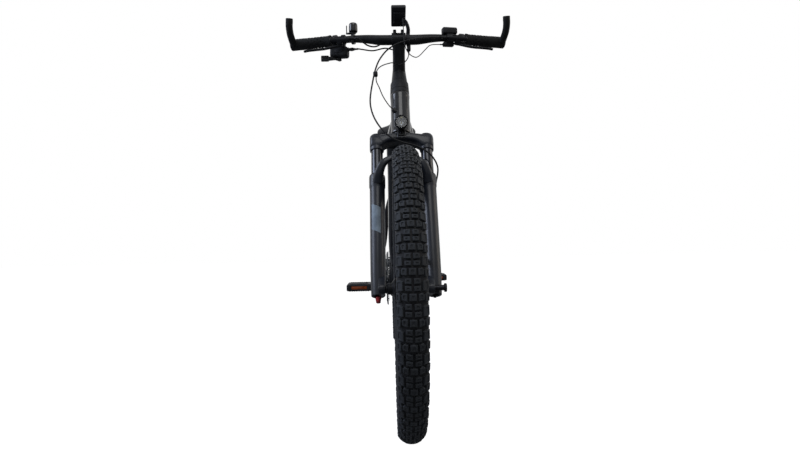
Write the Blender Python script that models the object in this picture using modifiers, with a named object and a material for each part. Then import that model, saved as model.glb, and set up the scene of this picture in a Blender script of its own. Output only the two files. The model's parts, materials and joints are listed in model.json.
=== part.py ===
"""Electric mountain bike: a hardtail with a mid motor, a down tube battery and a suspension fork.

Metres. The bike stands on its wheels on z = 0 and faces -Y, so the drive side is at -X.
"""
import bisect
import math

import bmesh
import bpy
from mathutils import Matrix, Vector

# Driving sizes of the whole bike
WHEELBASE = 1.170
HEAD_ANGLE = math.radians(66.5)
SEAT_ANGLE = math.radians(74.0)
CHAINSTAY_LENGTH = 0.460
BRACKET_HEIGHT = 0.320
GAP = 0.0003
WELD = 0.00001

# Wheels and tyres
TYRE_RADIUS = 0.368
TYRE_WIDTH = 0.0640
KNOB_HEIGHT = 0.0055
TREAD_ROWS = 20
BEAD_RADIUS = TYRE_RADIUS - 0.0565
RIM_WIDTH = 0.031
RIM_DEPTH = 0.0275
FLANGE_HEIGHT = 0.0060
SPOKE_COUNT = 28
SPOKE_RADIUS = 0.0010
ROTOR_RADIUS = 0.090
ROTOR_THICKNESS = 0.0018
HUB_STEPS = 12

# Fork and steering
FORK_LENGTH = 0.490
FORK_OFFSET = 0.044
FORK_TRAVEL = 0.080
LEG_SPACING = 0.148
LEG_SETBACK = 0.016
LEG_RADIUS = 0.0217
STANCHION_RADIUS = 0.0175
CROWN_HEIGHT = 0.030
SOCKET_HEIGHT = 0.052
LEG_TOP = -0.142
HEAD_TUBE_LENGTH = 0.150
HEAD_TUBE_START = 0.010
HEAD_RADIUS = 0.0305
HEAD_SIDES = 16
STEERER_RADIUS = 0.0143
STEERER_FOOT = 0.0195
FORK_SIDES = 14
COVER_HEIGHT = 0.047
STEM_BASE = 0.062
STEM_REACH = 0.070
BAR_LIFT = 0.330
BAR_CLAMP_RADIUS = 0.0159
BAR_END_RADIUS = 0.0111
BAR_HALF = 0.335
BAR_SWEEP = 0.066
BAR_RISE = 0.012
GRIP_RADIUS = 0.0170

# Hubs, axles and drive
FRONT_HUB_WIDTH = 0.110
REAR_HUB_WIDTH = 0.148
FRONT_AXLE_RADIUS = 0.0075
REAR_AXLE_RADIUS = 0.0060
CHAIN_PITCH = 0.0127
CHAIN_LINKS = 116
CHAIN_LINE = 0.0520
CHAIN_HALF_INSIDE = 0.0016
CHAIN_HALF_OUTSIDE = 0.0028
CHAIN_HALF_HEIGHT = 0.0040
PIN_HALF = 0.0023
RING_TEETH = 36
SPROCKET_TEETH = (42, 36, 32, 28, 26, 24, 21, 18, 15, 13, 11)
ENGAGED = 5
SPROCKET_STEP = 0.0038
SPROCKET_THICKNESS = 0.0016
PULLEY_TEETH = 12
CRANK_LENGTH = 0.170
CRANK_OUTSIDE = 0.0925
ARM_THICKNESS = 0.014
SPINDLE_RADIUS = 0.0125
PEDAL_INSIDE = 0.107
PEDAL_WIDTH = 0.088
PEDAL_LENGTH = 0.092
PEDAL_HEIGHT = 0.024
PEDAL_AXLE_RADIUS = 0.0065

# Frame tubes
SEAT_TUBE_LENGTH = 0.470
SEAT_TUBE_RADIUS = 0.0175
SEATPOST_RADIUS = 0.0155
SADDLE_HEIGHT = 0.630
DOWN_TUBE_WIDTH = 0.088
DOWN_TUBE_DEPTH = 0.074
BATTERY_LENGTH = 0.400
BATTERY_WIDTH = 0.070
DROPOUT_THICKNESS = 0.009
MOTOR_HALF_WIDTH = 0.038
MOTOR_SIDES = 14
BRACKET_WALL = 0.010

# Places worked out from the driving sizes
TREAD_STEPS = 2 * TREAD_ROWS
CASING_RADIUS = TYRE_RADIUS - KNOB_HEIGHT
AXLE_HEIGHT = CASING_RADIUS * math.cos(math.pi / TREAD_STEPS) + KNOB_HEIGHT
FRONT_AXLE = Vector((0.0, -WHEELBASE / 2, AXLE_HEIGHT))
REAR_AXLE = Vector((0.0, WHEELBASE / 2, AXLE_HEIGHT))
STEER_UP = Vector((0.0, math.cos(HEAD_ANGLE), math.sin(HEAD_ANGLE)))
STEER_BACK = Vector((0.0, math.sin(HEAD_ANGLE), -math.cos(HEAD_ANGLE)))
FORK_REACH = math.sqrt(FORK_LENGTH ** 2 - FORK_OFFSET ** 2)
CROWN_RACE = FRONT_AXLE + STEER_BACK * FORK_OFFSET + STEER_UP * FORK_REACH
BRACKET = Vector((0.0, REAR_AXLE.y - math.sqrt(CHAINSTAY_LENGTH ** 2 - (AXLE_HEIGHT - BRACKET_HEIGHT) ** 2),
                  BRACKET_HEIGHT))
SEAT_UP = Vector((0.0, math.cos(SEAT_ANGLE), math.sin(SEAT_ANGLE)))
HEAD_TUBE_TOP = HEAD_TUBE_START + HEAD_TUBE_LENGTH
STEM_START = HEAD_TUBE_TOP + 2 * GAP + COVER_HEIGHT
STEM_TOP = STEM_START + STEM_BASE
RIGHT = -1.0
LEFT = 1.0


def clear_scene():
    for obj in list(bpy.data.objects):
        bpy.data.objects.remove(obj, do_unlink=True)


def new_collection(name):
    collection = bpy.data.collections.new(name)
    bpy.context.scene.collection.children.link(collection)
    return collection


clear_scene()
bike = new_collection("electric_mountain_bike")


def material(name, colour, roughness, metallic=0.0):
    mat = bpy.data.materials.new(name)
    mat.use_nodes = True
    shader = mat.node_tree.nodes["Principled BSDF"]
    shader.inputs["Base Color"].default_value = (*colour, 1.0)
    shader.inputs["Roughness"].default_value = roughness
    shader.inputs["Metallic"].default_value = metallic
    mat.diffuse_color = (*colour, 1.0)
    return mat


FRAME_PAINT = material("gloss_black_paint", (0.010, 0.012, 0.018), 0.22)
SATIN_BLACK = material("satin_black_anodised", (0.018, 0.019, 0.022), 0.42, 0.6)
FORK_PAINT = material("charcoal_paint", (0.016, 0.020, 0.027), 0.35)
CHROME = material("hard_chrome", (0.20, 0.21, 0.23), 0.12, 1.0)
RUBBER = material("tyre_rubber", (0.022, 0.022, 0.021), 0.85)
SOFT_RUBBER = material("grip_rubber", (0.014, 0.014, 0.015), 0.70)
PLASTIC = material("black_plastic", (0.012, 0.012, 0.014), 0.50)
STEEL = material("steel", (0.42, 0.42, 0.43), 0.32, 1.0)
CHAIN_STEEL = material("chain_steel", (0.24, 0.23, 0.22), 0.38, 1.0)
MOTOR_GREY = material("motor_grey", (0.030, 0.031, 0.034), 0.50, 0.3)
SADDLE_COVER = material("saddle_cover", (0.012, 0.012, 0.012), 0.60)
SCREEN = material("screen_housing", (0.008, 0.009, 0.011), 0.18)
RED = material("red_anodised", (0.40, 0.02, 0.015), 0.35, 0.7)
HOSE = material("hose_black", (0.010, 0.010, 0.011), 0.45)
LAMP = material("lamp_housing", (0.015, 0.015, 0.017), 0.30)


def turned_frame(place, axis_turn=0.0):
    """A frame on a wheel's axle: its Z runs along world X and its X points straight down."""
    turn = Matrix.Rotation(math.pi / 2, 4, "Y") @ Matrix.Rotation(axis_turn, 4, "Z")
    return Matrix.Translation(place) @ turn


def axes_frame(place, x_axis, y_axis, z_axis):
    rotation = Matrix((x_axis, y_axis, z_axis)).transposed().to_4x4()
    return Matrix.Translation(place) @ rotation


FRAMES = {}


def empty(name, world, parent=None):
    """An empty that holds the pieces of one moving body, with its origin on the body's joint."""
    holder = bpy.data.objects.new(name, None)
    holder.empty_display_size = 0.05
    bike.objects.link(holder)
    FRAMES[name] = world
    if parent is None:
        holder.matrix_basis = world
    else:
        holder.parent = bpy.data.objects[parent]
        holder.matrix_basis = FRAMES[parent].inverted() @ world
    return name


def add_object(name, data):
    obj = bpy.data.objects.new(name, data)
    bike.objects.link(obj)
    return obj


def mesh_object(name, bm):
    bmesh.ops.recalc_face_normals(bm, faces=bm.faces)
    mesh = bpy.data.meshes.new(name)
    bm.to_mesh(mesh)
    bm.free()
    return add_object(name, mesh)


def as_mesh(obj):
    """Turns a curve or an object with modifiers into a welded mesh object of its own."""
    name = obj.name
    bpy.context.view_layer.update()
    evaluated = obj.evaluated_get(bpy.context.evaluated_depsgraph_get())
    mesh = bpy.data.meshes.new_from_object(evaluated)
    world = obj.matrix_world.copy()
    bpy.data.objects.remove(obj, do_unlink=True)
    bm = bmesh.new()
    bm.from_mesh(mesh)
    bmesh.ops.remove_doubles(bm, verts=bm.verts, dist=WELD)
    bmesh.ops.dissolve_degenerate(bm, edges=bm.edges, dist=WELD)
    bmesh.ops.recalc_face_normals(bm, faces=bm.faces)
    bm.to_mesh(mesh)
    bm.free()
    fresh = add_object(name, mesh)
    fresh.matrix_world = world
    return fresh


def boolean(base, tools, operation):
    for tool in tools:
        step = base.modifiers.new(operation.lower(), "BOOLEAN")
        step.operation = operation
        step.solver = "EXACT"
        step.object = tool
    result = as_mesh(base)
    for tool in tools:
        bpy.data.objects.remove(tool, do_unlink=True)
    return result


def fuse(base, *tools):
    return boolean(base, tools, "UNION")


def cut(base, *tools):
    return boolean(base, tools, "DIFFERENCE")


def place(obj, name, mat, holder=None):
    """Gives a finished piece its name, its finish and its parent, and keeps its place there."""
    obj.name = name
    obj.data.name = name
    obj.data.materials.clear()
    obj.data.materials.append(mat)
    obj.data.shade_smooth()
    obj.data.set_sharp_from_angle(angle=math.radians(32))
    if holder is not None:
        local = obj.matrix_basis.copy()
        obj.parent = bpy.data.objects[holder]
        obj.matrix_basis = local
    return obj


def turned(name, profile, steps, closed=False, phase=0.0):
    """A turned shape about local Z. The profile holds (radius, height) points, outer side top to bottom."""
    mesh = bpy.data.meshes.new(name)
    points = [(r * math.cos(phase), r * math.sin(phase), z) for r, z in profile]
    edges = [(i, i + 1) for i in range(len(points) - 1)]
    if closed:
        edges.append((len(points) - 1, 0))
    mesh.from_pydata(points, edges, [])
    obj = add_object(name, mesh)
    screw = obj.modifiers.new("turn", "SCREW")
    screw.axis = "Z"
    screw.angle = 2 * math.pi
    screw.steps = steps
    screw.render_steps = steps
    screw.use_merge_vertices = True
    screw.merge_threshold = WELD
    return as_mesh(obj)


def clear_bore(radius, sides):
    """The radius of a many-sided bore whose flats stay clear of a round piece."""
    return (radius + GAP) / math.cos(math.pi / sides)


def cylinder(start, end, radius, sides=12, end_radius=None, phase=0.0):
    start = Vector(start)
    end = Vector(end)
    along = end - start
    turn = along.to_track_quat("Z", "Y").to_matrix().to_4x4() @ Matrix.Rotation(phase, 4, "Z")
    bm = bmesh.new()
    bmesh.ops.create_cone(bm, cap_ends=True, segments=sides, radius1=radius,
                          radius2=radius if end_radius is None else end_radius, depth=along.length,
                          matrix=Matrix.Translation((start + end) / 2) @ turn)
    return mesh_object("cylinder", bm)


def box(size, centre, turn=None, bevel=0.0):
    bm = bmesh.new()
    bmesh.ops.create_cube(bm, size=1.0, matrix=Matrix.Diagonal((*size, 1.0)))
    if bevel:
        bmesh.ops.bevel(bm, geom=bm.edges[:], offset=bevel, segments=1, affect="EDGES")
    matrix = Matrix.Translation(centre) @ (turn if turn else Matrix())
    bmesh.ops.transform(bm, matrix=matrix, verts=bm.verts)
    return mesh_object("box", bm)


def plate(outlines, thickness, frame=None):
    """A flat plate from closed outlines in local XY. Outlines inside another one are holes."""
    curve = bpy.data.curves.new("plate", "CURVE")
    curve.dimensions = "2D"
    curve.fill_mode = "BOTH"
    curve.extrude = thickness / 2
    for outline in outlines:
        spline = curve.splines.new("POLY")
        spline.points.add(len(outline) - 1)
        for point, (x, y) in zip(spline.points, outline):
            point.co = (x, y, 0.0, 1.0)
        spline.use_cyclic_u = True
    obj = as_mesh(add_object("plate", curve))
    if frame is not None:
        obj.data.transform(frame)
    return obj


def tube(points, radius, resolution=2, radii=None):
    """A round tube along points, with radii as factors of its radius."""
    curve = bpy.data.curves.new("tube", "CURVE")
    curve.dimensions = "3D"
    curve.bevel_depth = radius
    curve.bevel_resolution = resolution
    curve.use_fill_caps = True
    spline = curve.splines.new("POLY")
    spline.points.add(len(points) - 1)
    for index, point in enumerate(points):
        spline.points[index].co = (*point, 1.0)
        if radii:
            spline.points[index].radius = radii[index]
    return as_mesh(add_object("tube", curve))


def smooth_route(points, steps):
    """Points on a smooth curve through the route's own points, which never swings wide of a short run."""
    points = [Vector(p) for p in points]
    ends = [2 * points[0] - points[1]] + points + [2 * points[-1] - points[-2]]
    route = []
    for a, b, c, d in zip(ends, ends[1:], ends[2:], ends[3:]):
        before, here, after = (math.sqrt((q - p).length) for p, q in ((a, b), (b, c), (c, d)))
        for k in range(steps):
            t = k / steps
            first = a.lerp(b, 1 + t * here / before)
            middle = b.lerp(c, t)
            last = c.lerp(d, (t - 1) * here / after)
            low = first.lerp(middle, (before + t * here) / (before + here))
            high = middle.lerp(last, t * here / (here + after))
            route.append(low.lerp(high, t))
    route.append(points[-1])
    return route


def loft(sections, sides=12, squareness=2.0):
    """A closed skin over sections of (centre, across, up, half width, half height)."""
    bm = bmesh.new()
    rings = []
    power = 2.0 / squareness
    for centre, across, up, half_width, half_height in sections:
        ring = []
        for k in range(sides):
            angle = 2 * math.pi * (k + 0.5) / sides
            c, s = math.cos(angle), math.sin(angle)
            x = math.copysign(abs(c) ** power, c) * half_width
            y = math.copysign(abs(s) ** power, s) * half_height
            ring.append(bm.verts.new(Vector(centre) + Vector(across) * x + Vector(up) * y))
        rings.append(ring)
    close_rings(bm, rings)
    return mesh_object("loft", bm)


def close_rings(bm, rings):
    for low, high in zip(rings, rings[1:]):
        for k in range(len(low)):
            after = (k + 1) % len(low)
            bm.faces.new((low[k], low[after], high[after], high[k]))
    bm.faces.new(rings[0])
    bm.faces.new(rings[-1])


def circle(radius, sides, centre=(0.0, 0.0), phase=0.0):
    return [(centre[0] + radius * math.cos(phase + 2 * math.pi * k / sides),
             centre[1] + radius * math.sin(phase + 2 * math.pi * k / sides)) for k in range(sides)]


def hull_outline(circles, sides=12, offset=0.0):
    """The rubber band round circles of (x, y, radius), as an outline."""
    cloud = sorted({(round(x, 7), round(y, 7)) for cx, cy, r in circles
                    for x, y in circle(r + offset, sides, (cx, cy))})

    def chain_of(points):
        kept = []
        for p in points:
            while len(kept) > 1:
                (ax, ay), (bx, by) = kept[-2], kept[-1]
                if (bx - ax) * (p[1] - ay) - (by - ay) * (p[0] - ax) > 1e-12:
                    break
                kept.pop()
            kept.append(p)
        return kept[:-1]

    return chain_of(cloud) + chain_of(cloud[::-1])


def side_frame(x):
    """The frame of a plate that stands in the bike's own plane: its X is world Y and its Y is world Z."""
    return axes_frame(Vector((x, 0.0, 0.0)), Vector((0, 1, 0)), Vector((0, 0, 1)), Vector((1, 0, 0)))


def side_plate(circles, x, thickness, sides=12, offset=0.0):
    return plate([hull_outline(circles, sides, offset)], thickness, side_frame(x))


# Holders: one empty for each body that moves
STEER_FRAME = axes_frame(CROWN_RACE, Vector((1, 0, 0)), STEER_BACK, STEER_UP)
empty("head_line", STEER_FRAME)
empty("steering", STEER_FRAME)
empty("fork_slide", STEER_FRAME, "steering")
empty("front_axle_line", turned_frame(FRONT_AXLE), "fork_slide")
empty("rear_axle_line", turned_frame(REAR_AXLE))
empty("crank_line", turned_frame(BRACKET))
BAR_CENTRE = CROWN_RACE - STEER_BACK * STEM_REACH + STEER_UP * BAR_LIFT
empty("bar_line", Matrix.Translation(BAR_CENTRE), "steering")
empty("seat_line", axes_frame(BRACKET, Vector((1, 0, 0)), Vector((0, SEAT_UP.z, -SEAT_UP.y)), SEAT_UP))
SADDLE_CLAMP = BRACKET + SEAT_UP * SADDLE_HEIGHT
empty("saddle_line", Matrix.Translation(SADDLE_CLAMP), "seat_line")


# Tyres: a knobbed casing that is open at the beads
def tyre(name, holder):
    half = TYRE_WIDTH / 2
    bead = RIM_WIDTH / 2 - 0.0033
    wall = 0.0026
    crown = 0.0115
    side_radius = BEAD_RADIUS + 0.0195
    shoulder_radius = CASING_RADIUS - 0.0125
    outer = [(BEAD_RADIUS, bead), (BEAD_RADIUS + FLANGE_HEIGHT + GAP, bead), (side_radius, half - 0.002),
             (shoulder_radius, half - 0.003), (CASING_RADIUS, crown)]
    inner = [(BEAD_RADIUS, bead - 2 * wall), (side_radius + 0.004, half - 0.005 - wall),
             (CASING_RADIUS - 0.005, crown - wall)]
    profile = outer + [(r, -x) for r, x in outer[::-1]]
    profile += [(r, -x) for r, x in inner] + inner[::-1]
    body = turned(name, profile, TREAD_STEPS, closed=True, phase=math.pi / TREAD_STEPS)
    bm = bmesh.new()
    bm.from_mesh(body.data)
    knobs = []
    for face in bm.faces:
        middle = face.calc_center_median()
        away = face.normal.x * middle.x + face.normal.y * middle.y
        radius = math.hypot(middle.x, middle.y)
        row = round(math.atan2(middle.y, middle.x) / (2 * math.pi / TREAD_STEPS))
        on_tread = radius > shoulder_radius * math.cos(math.pi / TREAD_STEPS) and away > 0
        if on_tread and abs(middle.z) < half - 0.006 and row % 2 == 0:
            knobs.append(face)
    tops = bmesh.ops.extrude_discrete_faces(bm, faces=knobs)["faces"]
    for top in tops:
        middle = top.calc_center_median()
        rise = top.normal * KNOB_HEIGHT
        for vert in top.verts:
            vert.co = middle + (vert.co - middle) * 0.82 + rise
    bm.to_mesh(body.data)
    bm.free()
    return place(body, name, RUBBER, holder)


tyre("front_tyre", "front_axle_line")
tyre("rear_tyre", "rear_axle_line")


# Wheels: rim, spokes and hub shell laced into one
def rim():
    half = RIM_WIDTH / 2
    floor = BEAD_RADIUS - GAP
    top = BEAD_RADIUS + FLANGE_HEIGHT
    wall = 0.0030
    spoke_face = top - RIM_DEPTH
    profile = [(top, half), (top, half - wall), (floor, half - wall), (floor, wall - half),
               (top, wall - half), (top, -half), (spoke_face, -half * 0.55), (spoke_face, half * 0.55)]
    return turned("rim", profile, TREAD_STEPS, closed=True, phase=math.pi / TREAD_STEPS)


def spokes(flanges):
    """Crossed spokes: each flange's spokes lean forward and back in turn, on its two faces."""
    bm = bmesh.new()
    per_flange = SPOKE_COUNT // 2
    spacing = 2 * math.pi / per_flange
    rim_seat = BEAD_RADIUS + FLANGE_HEIGHT - RIM_DEPTH + 0.004
    for side, (flange_x, flange_radius) in enumerate(flanges):
        for k in range(per_flange):
            lean = 1 if k % 2 == 0 else -1
            angle = spacing * (k + 0.5 * side)
            rim_angle = angle + 2 * lean * spacing
            hub_end = Vector((math.cos(angle) * flange_radius, math.sin(angle) * flange_radius,
                              flange_x + lean * 0.0016))
            rim_end = Vector((math.cos(rim_angle) * rim_seat, math.sin(rim_angle) * rim_seat,
                              math.copysign(0.004, flange_x) + lean * 0.001))
            along = rim_end - hub_end
            turn = along.to_track_quat("Z", "Y").to_matrix().to_4x4()
            middle = Matrix.Translation((hub_end + rim_end) / 2)
            bmesh.ops.create_cone(bm, cap_ends=True, segments=3, radius1=SPOKE_RADIUS, radius2=SPOKE_RADIUS,
                                  depth=along.length, matrix=middle @ turn)
    return mesh_object("spokes", bm)


def hub(width, bore, flanges, rotor_seat, freehub=None):
    """A hub shell with two spoke flanges and a rotor seat, and on the rear a splined freehub body."""
    end = width / 2 - GAP
    cap = bore + 0.0030
    left_x, left_r = flanges[0]
    right_x, right_r = flanges[1]
    profile = [(cap, end), (0.0165, rotor_seat + 0.005), (0.0165, rotor_seat), (0.0225, rotor_seat),
               (left_r + 0.003, left_x + 0.003), (left_r + 0.003, left_x - 0.003), (0.0130, left_x - 0.010),
               (0.0130, right_x + 0.010), (right_r + 0.003, right_x + 0.003),
               (right_r + 0.003, right_x - 0.003)]
    if freehub:
        radius, start, stop = freehub
        profile += [(radius, start), (radius, stop), (cap, stop)]
    else:
        profile += [(0.0150, right_x - 0.006)]
    profile += [(cap, -end), (bore, -end), (bore, end)]
    return turned("hub", profile, HUB_STEPS, closed=True)


FRONT_ROTOR = 0.0443
REAR_ROTOR = 0.0575
FREEHUB_RADIUS = 0.0165
FIRST_SPROCKET = -(CHAIN_LINE - ENGAGED * SPROCKET_STEP)
LAST_SPROCKET = FIRST_SPROCKET - (len(SPROCKET_TEETH) - 1) * SPROCKET_STEP
FRONT_FLANGES = ((0.0290, 0.0245), (-0.0290, 0.0245))
REAR_FLANGES = ((0.0330, 0.0255), (-0.0215, 0.0255))

front_wheel = fuse(rim(), hub(FRONT_HUB_WIDTH, FRONT_AXLE_RADIUS + GAP, FRONT_FLANGES, FRONT_ROTOR),
                   spokes(FRONT_FLANGES))
place(front_wheel, "front_wheel", SATIN_BLACK, "front_axle_line")
rear_wheel = fuse(rim(), hub(REAR_HUB_WIDTH, REAR_AXLE_RADIUS + GAP, REAR_FLANGES, REAR_ROTOR,
                             (FREEHUB_RADIUS, FIRST_SPROCKET + 0.006, LAST_SPROCKET - 0.0008)),
                  spokes(REAR_FLANGES))
place(rear_wheel, "rear_wheel", SATIN_BLACK, "rear_axle_line")


def rotor(name, x, holder):
    """A disc brake rotor: a waved ring on six swept arms, with its bolt circle at the middle."""
    waves = 6
    outer = []
    for k in range(4 * waves):
        angle = 2 * math.pi * k / (4 * waves)
        outer.append(((ROTOR_RADIUS - 0.0012 * (1 + math.cos(waves * angle))) * math.cos(angle),
                      (ROTOR_RADIUS - 0.0012 * (1 + math.cos(waves * angle))) * math.sin(angle)))
    outlines = [outer, circle(0.0172, HUB_STEPS)]
    arms = 6
    track = ROTOR_RADIUS - 0.0170
    bolt_ring = 0.0255
    sweep = 0.30
    for k in range(arms):
        start = 2 * math.pi * k / arms
        span = 2 * math.pi / arms
        corners = [(bolt_ring, start + 0.28), (bolt_ring, start + span - 0.16),
                   (track, start + span + sweep - 0.05), (track, start + span / 2 + sweep + 0.02),
                   (track, start + sweep + 0.09)]
        outlines.append([(r * math.cos(a), r * math.sin(a)) for r, a in corners])
    disc = plate(outlines, ROTOR_THICKNESS, Matrix.Translation((0, 0, x + GAP + ROTOR_THICKNESS / 2)))
    return place(disc, name, STEEL, holder)


rotor("front_rotor", FRONT_ROTOR, "front_axle_line")
rotor("rear_rotor", REAR_ROTOR, "rear_axle_line")


# Chain line: the belt path round the ring, the sprocket and the two pulleys
def pitch_radius(teeth):
    return CHAIN_PITCH / (2 * math.sin(math.pi / teeth))


GUIDE_PULLEY = Vector((REAR_AXLE.y + 0.006, REAR_AXLE.z - 0.0918))
CAGE_LENGTH = 0.078


def tension_pulley(cage_angle):
    """The lower pulley's place, with the cage swung forward from straight down by its angle."""
    return GUIDE_PULLEY + Vector((-math.sin(cage_angle), -math.cos(cage_angle))) * CAGE_LENGTH


def chain_path(cage_angle):
    """Short straight steps along the loop, with each round stretch on its wheel's pitch circle."""
    ring = (Vector((BRACKET.y, BRACKET.z)), pitch_radius(RING_TEETH), 1)
    sprocket = (Vector((REAR_AXLE.y, REAR_AXLE.z)), pitch_radius(SPROCKET_TEETH[ENGAGED]), 1)
    guide = (GUIDE_PULLEY, pitch_radius(PULLEY_TEETH), -1)
    lower = (tension_pulley(cage_angle), pitch_radius(PULLEY_TEETH), 1)
    wheels = [ring, lower, guide, sprocket]
    runs = []
    for (c1, r1, s1), (c2, r2, s2) in zip(wheels, wheels[1:] + wheels[:1]):
        d = c2 - c1
        heading = math.atan2(d.y, d.x) - math.asin((s2 * r2 - s1 * r1) / d.length)
        left = Vector((-math.sin(heading), math.cos(heading)))
        runs.append((heading, c1 - left * s1 * r1, c2 - left * s2 * r2))
    path = []
    for index, (centre, radius, side) in enumerate(wheels):
        arrive = runs[index - 1][2] - centre
        leave = runs[index][1] - centre
        first = math.atan2(arrive.y, arrive.x)
        sweep = (math.atan2(leave.y, leave.x) - first) * side % (2 * math.pi) * side
        steps = max(2, round(abs(sweep) / 0.01))
        for k in range(steps + 1):
            angle = first + sweep * k / steps
            path.append(centre + Vector((math.cos(angle), math.sin(angle))) * radius)
    return path


def walk_pins(path):
    """Pins one straight pitch apart along the loop, and how far the walk lands past its own start."""
    lengths = [0.0]
    for a, b in zip(path, path[1:] + path[:1]):
        lengths.append(lengths[-1] + (b - a).length)
    total = lengths[-1]

    def point_at(distance):
        distance %= total
        k = min(bisect.bisect_right(lengths, distance), len(path)) - 1
        share = (distance - lengths[k]) / (lengths[k + 1] - lengths[k])
        return path[k].lerp(path[(k + 1) % len(path)], share)

    walked = 0.0
    pins = []
    for _ in range(CHAIN_LINKS):
        here = point_at(walked)
        pins.append(here)
        low, high = walked, walked + 1.2 * CHAIN_PITCH
        for _ in range(30):
            middle = (low + high) / 2
            if (point_at(middle) - here).length < CHAIN_PITCH:
                low = middle
            else:
                high = middle
        walked = high
    return pins, walked - total


def solve_cage_angle():
    """The cage angle at which the chain's links just close the loop."""
    low, high = math.radians(-40), math.radians(80)
    for _ in range(24):
        middle = (low + high) / 2
        if walk_pins(chain_path(middle))[1] < 0:
            low = middle
        else:
            high = middle
    return high


CAGE_ANGLE = solve_cage_angle()
TENSION_PULLEY = tension_pulley(CAGE_ANGLE)
PINS, CLOSING_ERROR = walk_pins(chain_path(CAGE_ANGLE))


def wheel_phase(centre, teeth):
    """The angle of a tooth that stands between two pins on this wheel, in the turned frame's own measure."""
    radius = pitch_radius(teeth)
    on_wheel = [p for p in PINS if abs((p - centre).length - radius) < 0.00005]
    middle = on_wheel[len(on_wheel) // 2] - centre
    return math.atan2(middle.x, -middle.y) + math.pi / teeth


def toothed_outline(teeth, phase, root_drop=0.0045, tip_rise=0.0030):
    radius = pitch_radius(teeth)
    root, tip = radius - root_drop, radius + tip_rise
    half_root = (CHAIN_PITCH / 2 - PIN_HALF - 0.0005) / radius
    outline = []
    for k in range(teeth):
        middle = phase + 2 * math.pi * k / teeth
        for r, a in ((root, -half_root), (tip, 0.0), (root, half_root)):
            outline.append((r * math.cos(middle + a), r * math.sin(middle + a)))
    return outline


def rung_numbers():
    """Every pin where the chain bends, and every second pin where it runs straight."""
    numbers = []
    for k, pin in enumerate(PINS):
        before, after = pin - PINS[k - 1], PINS[(k + 1) % len(PINS)] - pin
        bends = abs(before.angle_signed(after)) > math.radians(0.5)
        if bends or not numbers or k - numbers[-1] > 1:
            numbers.append(k)
    return numbers


def chain():
    """Side plates and pins as one open ladder: each pin crosses between two bands, with room for a tooth."""
    bm = bmesh.new()
    kept = rung_numbers()
    count = len(kept)
    outer, near, far = [], [], []
    for k in kept:
        pin = PINS[k]
        along = (PINS[(k + 1) % len(PINS)] - PINS[k - 1]).normalized()
        square = Vector((-along.y, along.x))

        def corner(x, shift, rise):
            point = pin + along * shift + square * rise
            return bm.verts.new((-CHAIN_LINE + x, point.x, point.y))

        half = CHAIN_HALF_OUTSIDE if k % 2 else CHAIN_HALF_OUTSIDE - 0.0006
        outer.append([[corner(side * half, 0.0, rise * CHAIN_HALF_HEIGHT) for rise in (-1, 1)]
                      for side in (-1, 1)])
        for edge, shift in ((near, -PIN_HALF), (far, PIN_HALF)):
            edge.append([[corner(side * CHAIN_HALF_INSIDE, shift, rise * CHAIN_HALF_HEIGHT)
                          for rise in (-1, 1)] for side in (-1, 1)])
    for k in range(count):
        after = (k + 1) % count
        for side in (0, 1):
            bm.faces.new((outer[k][side][0], outer[after][side][0],
                          outer[after][side][1], outer[k][side][1]))
            bm.faces.new((far[k][side][0], near[after][side][0], near[after][side][1], far[k][side][1]))
            for rise in (0, 1):
                bm.faces.new((outer[k][side][rise], far[k][side][rise], near[after][side][rise],
                              outer[after][side][rise]))
        for rise in (0, 1):
            bm.faces.new((outer[k][0][rise], near[k][0][rise], near[k][1][rise], outer[k][1][rise],
                          far[k][1][rise], far[k][0][rise]))
        for edge in (near[k], far[k]):
            bm.faces.new((edge[0][0], edge[1][0], edge[1][1], edge[0][1]))
    return mesh_object("chain", bm)


place(chain(), "chain", CHAIN_STEEL)


def cassette():
    """Eleven sprockets on the freehub: one turned cluster, and the toothed sprocket that the chain is on."""
    bore = FREEHUB_RADIUS + 2 * GAP
    half = SPROCKET_THICKNESS / 2
    profile = []
    for index, teeth in enumerate(SPROCKET_TEETH):
        z = FIRST_SPROCKET - index * SPROCKET_STEP
        radius = pitch_radius(teeth) + 0.0015
        carrier = pitch_radius(SPROCKET_TEETH[ENGAGED]) - 0.0075
        if index == ENGAGED:
            continue
        profile += [(radius, z + half), (radius, z - half)]
        if index == ENGAGED - 1:
            profile += [(carrier, z - half), (carrier, z - 2 * SPROCKET_STEP + half)]
    last = profile[-1][1]
    profile += [(bore, last), (bore, FIRST_SPROCKET + half)]
    cluster = turned("cluster", profile, 16, closed=True)
    phase = wheel_phase(Vector((REAR_AXLE.y, REAR_AXLE.z)), SPROCKET_TEETH[ENGAGED])
    toothed = plate([toothed_outline(SPROCKET_TEETH[ENGAGED], phase), circle(0.030, 12)], SPROCKET_THICKNESS,
                    Matrix.Translation((0, 0, -CHAIN_LINE)))
    return fuse(cluster, toothed)


place(cassette(), "cassette", STEEL, "rear_axle_line")


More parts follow.
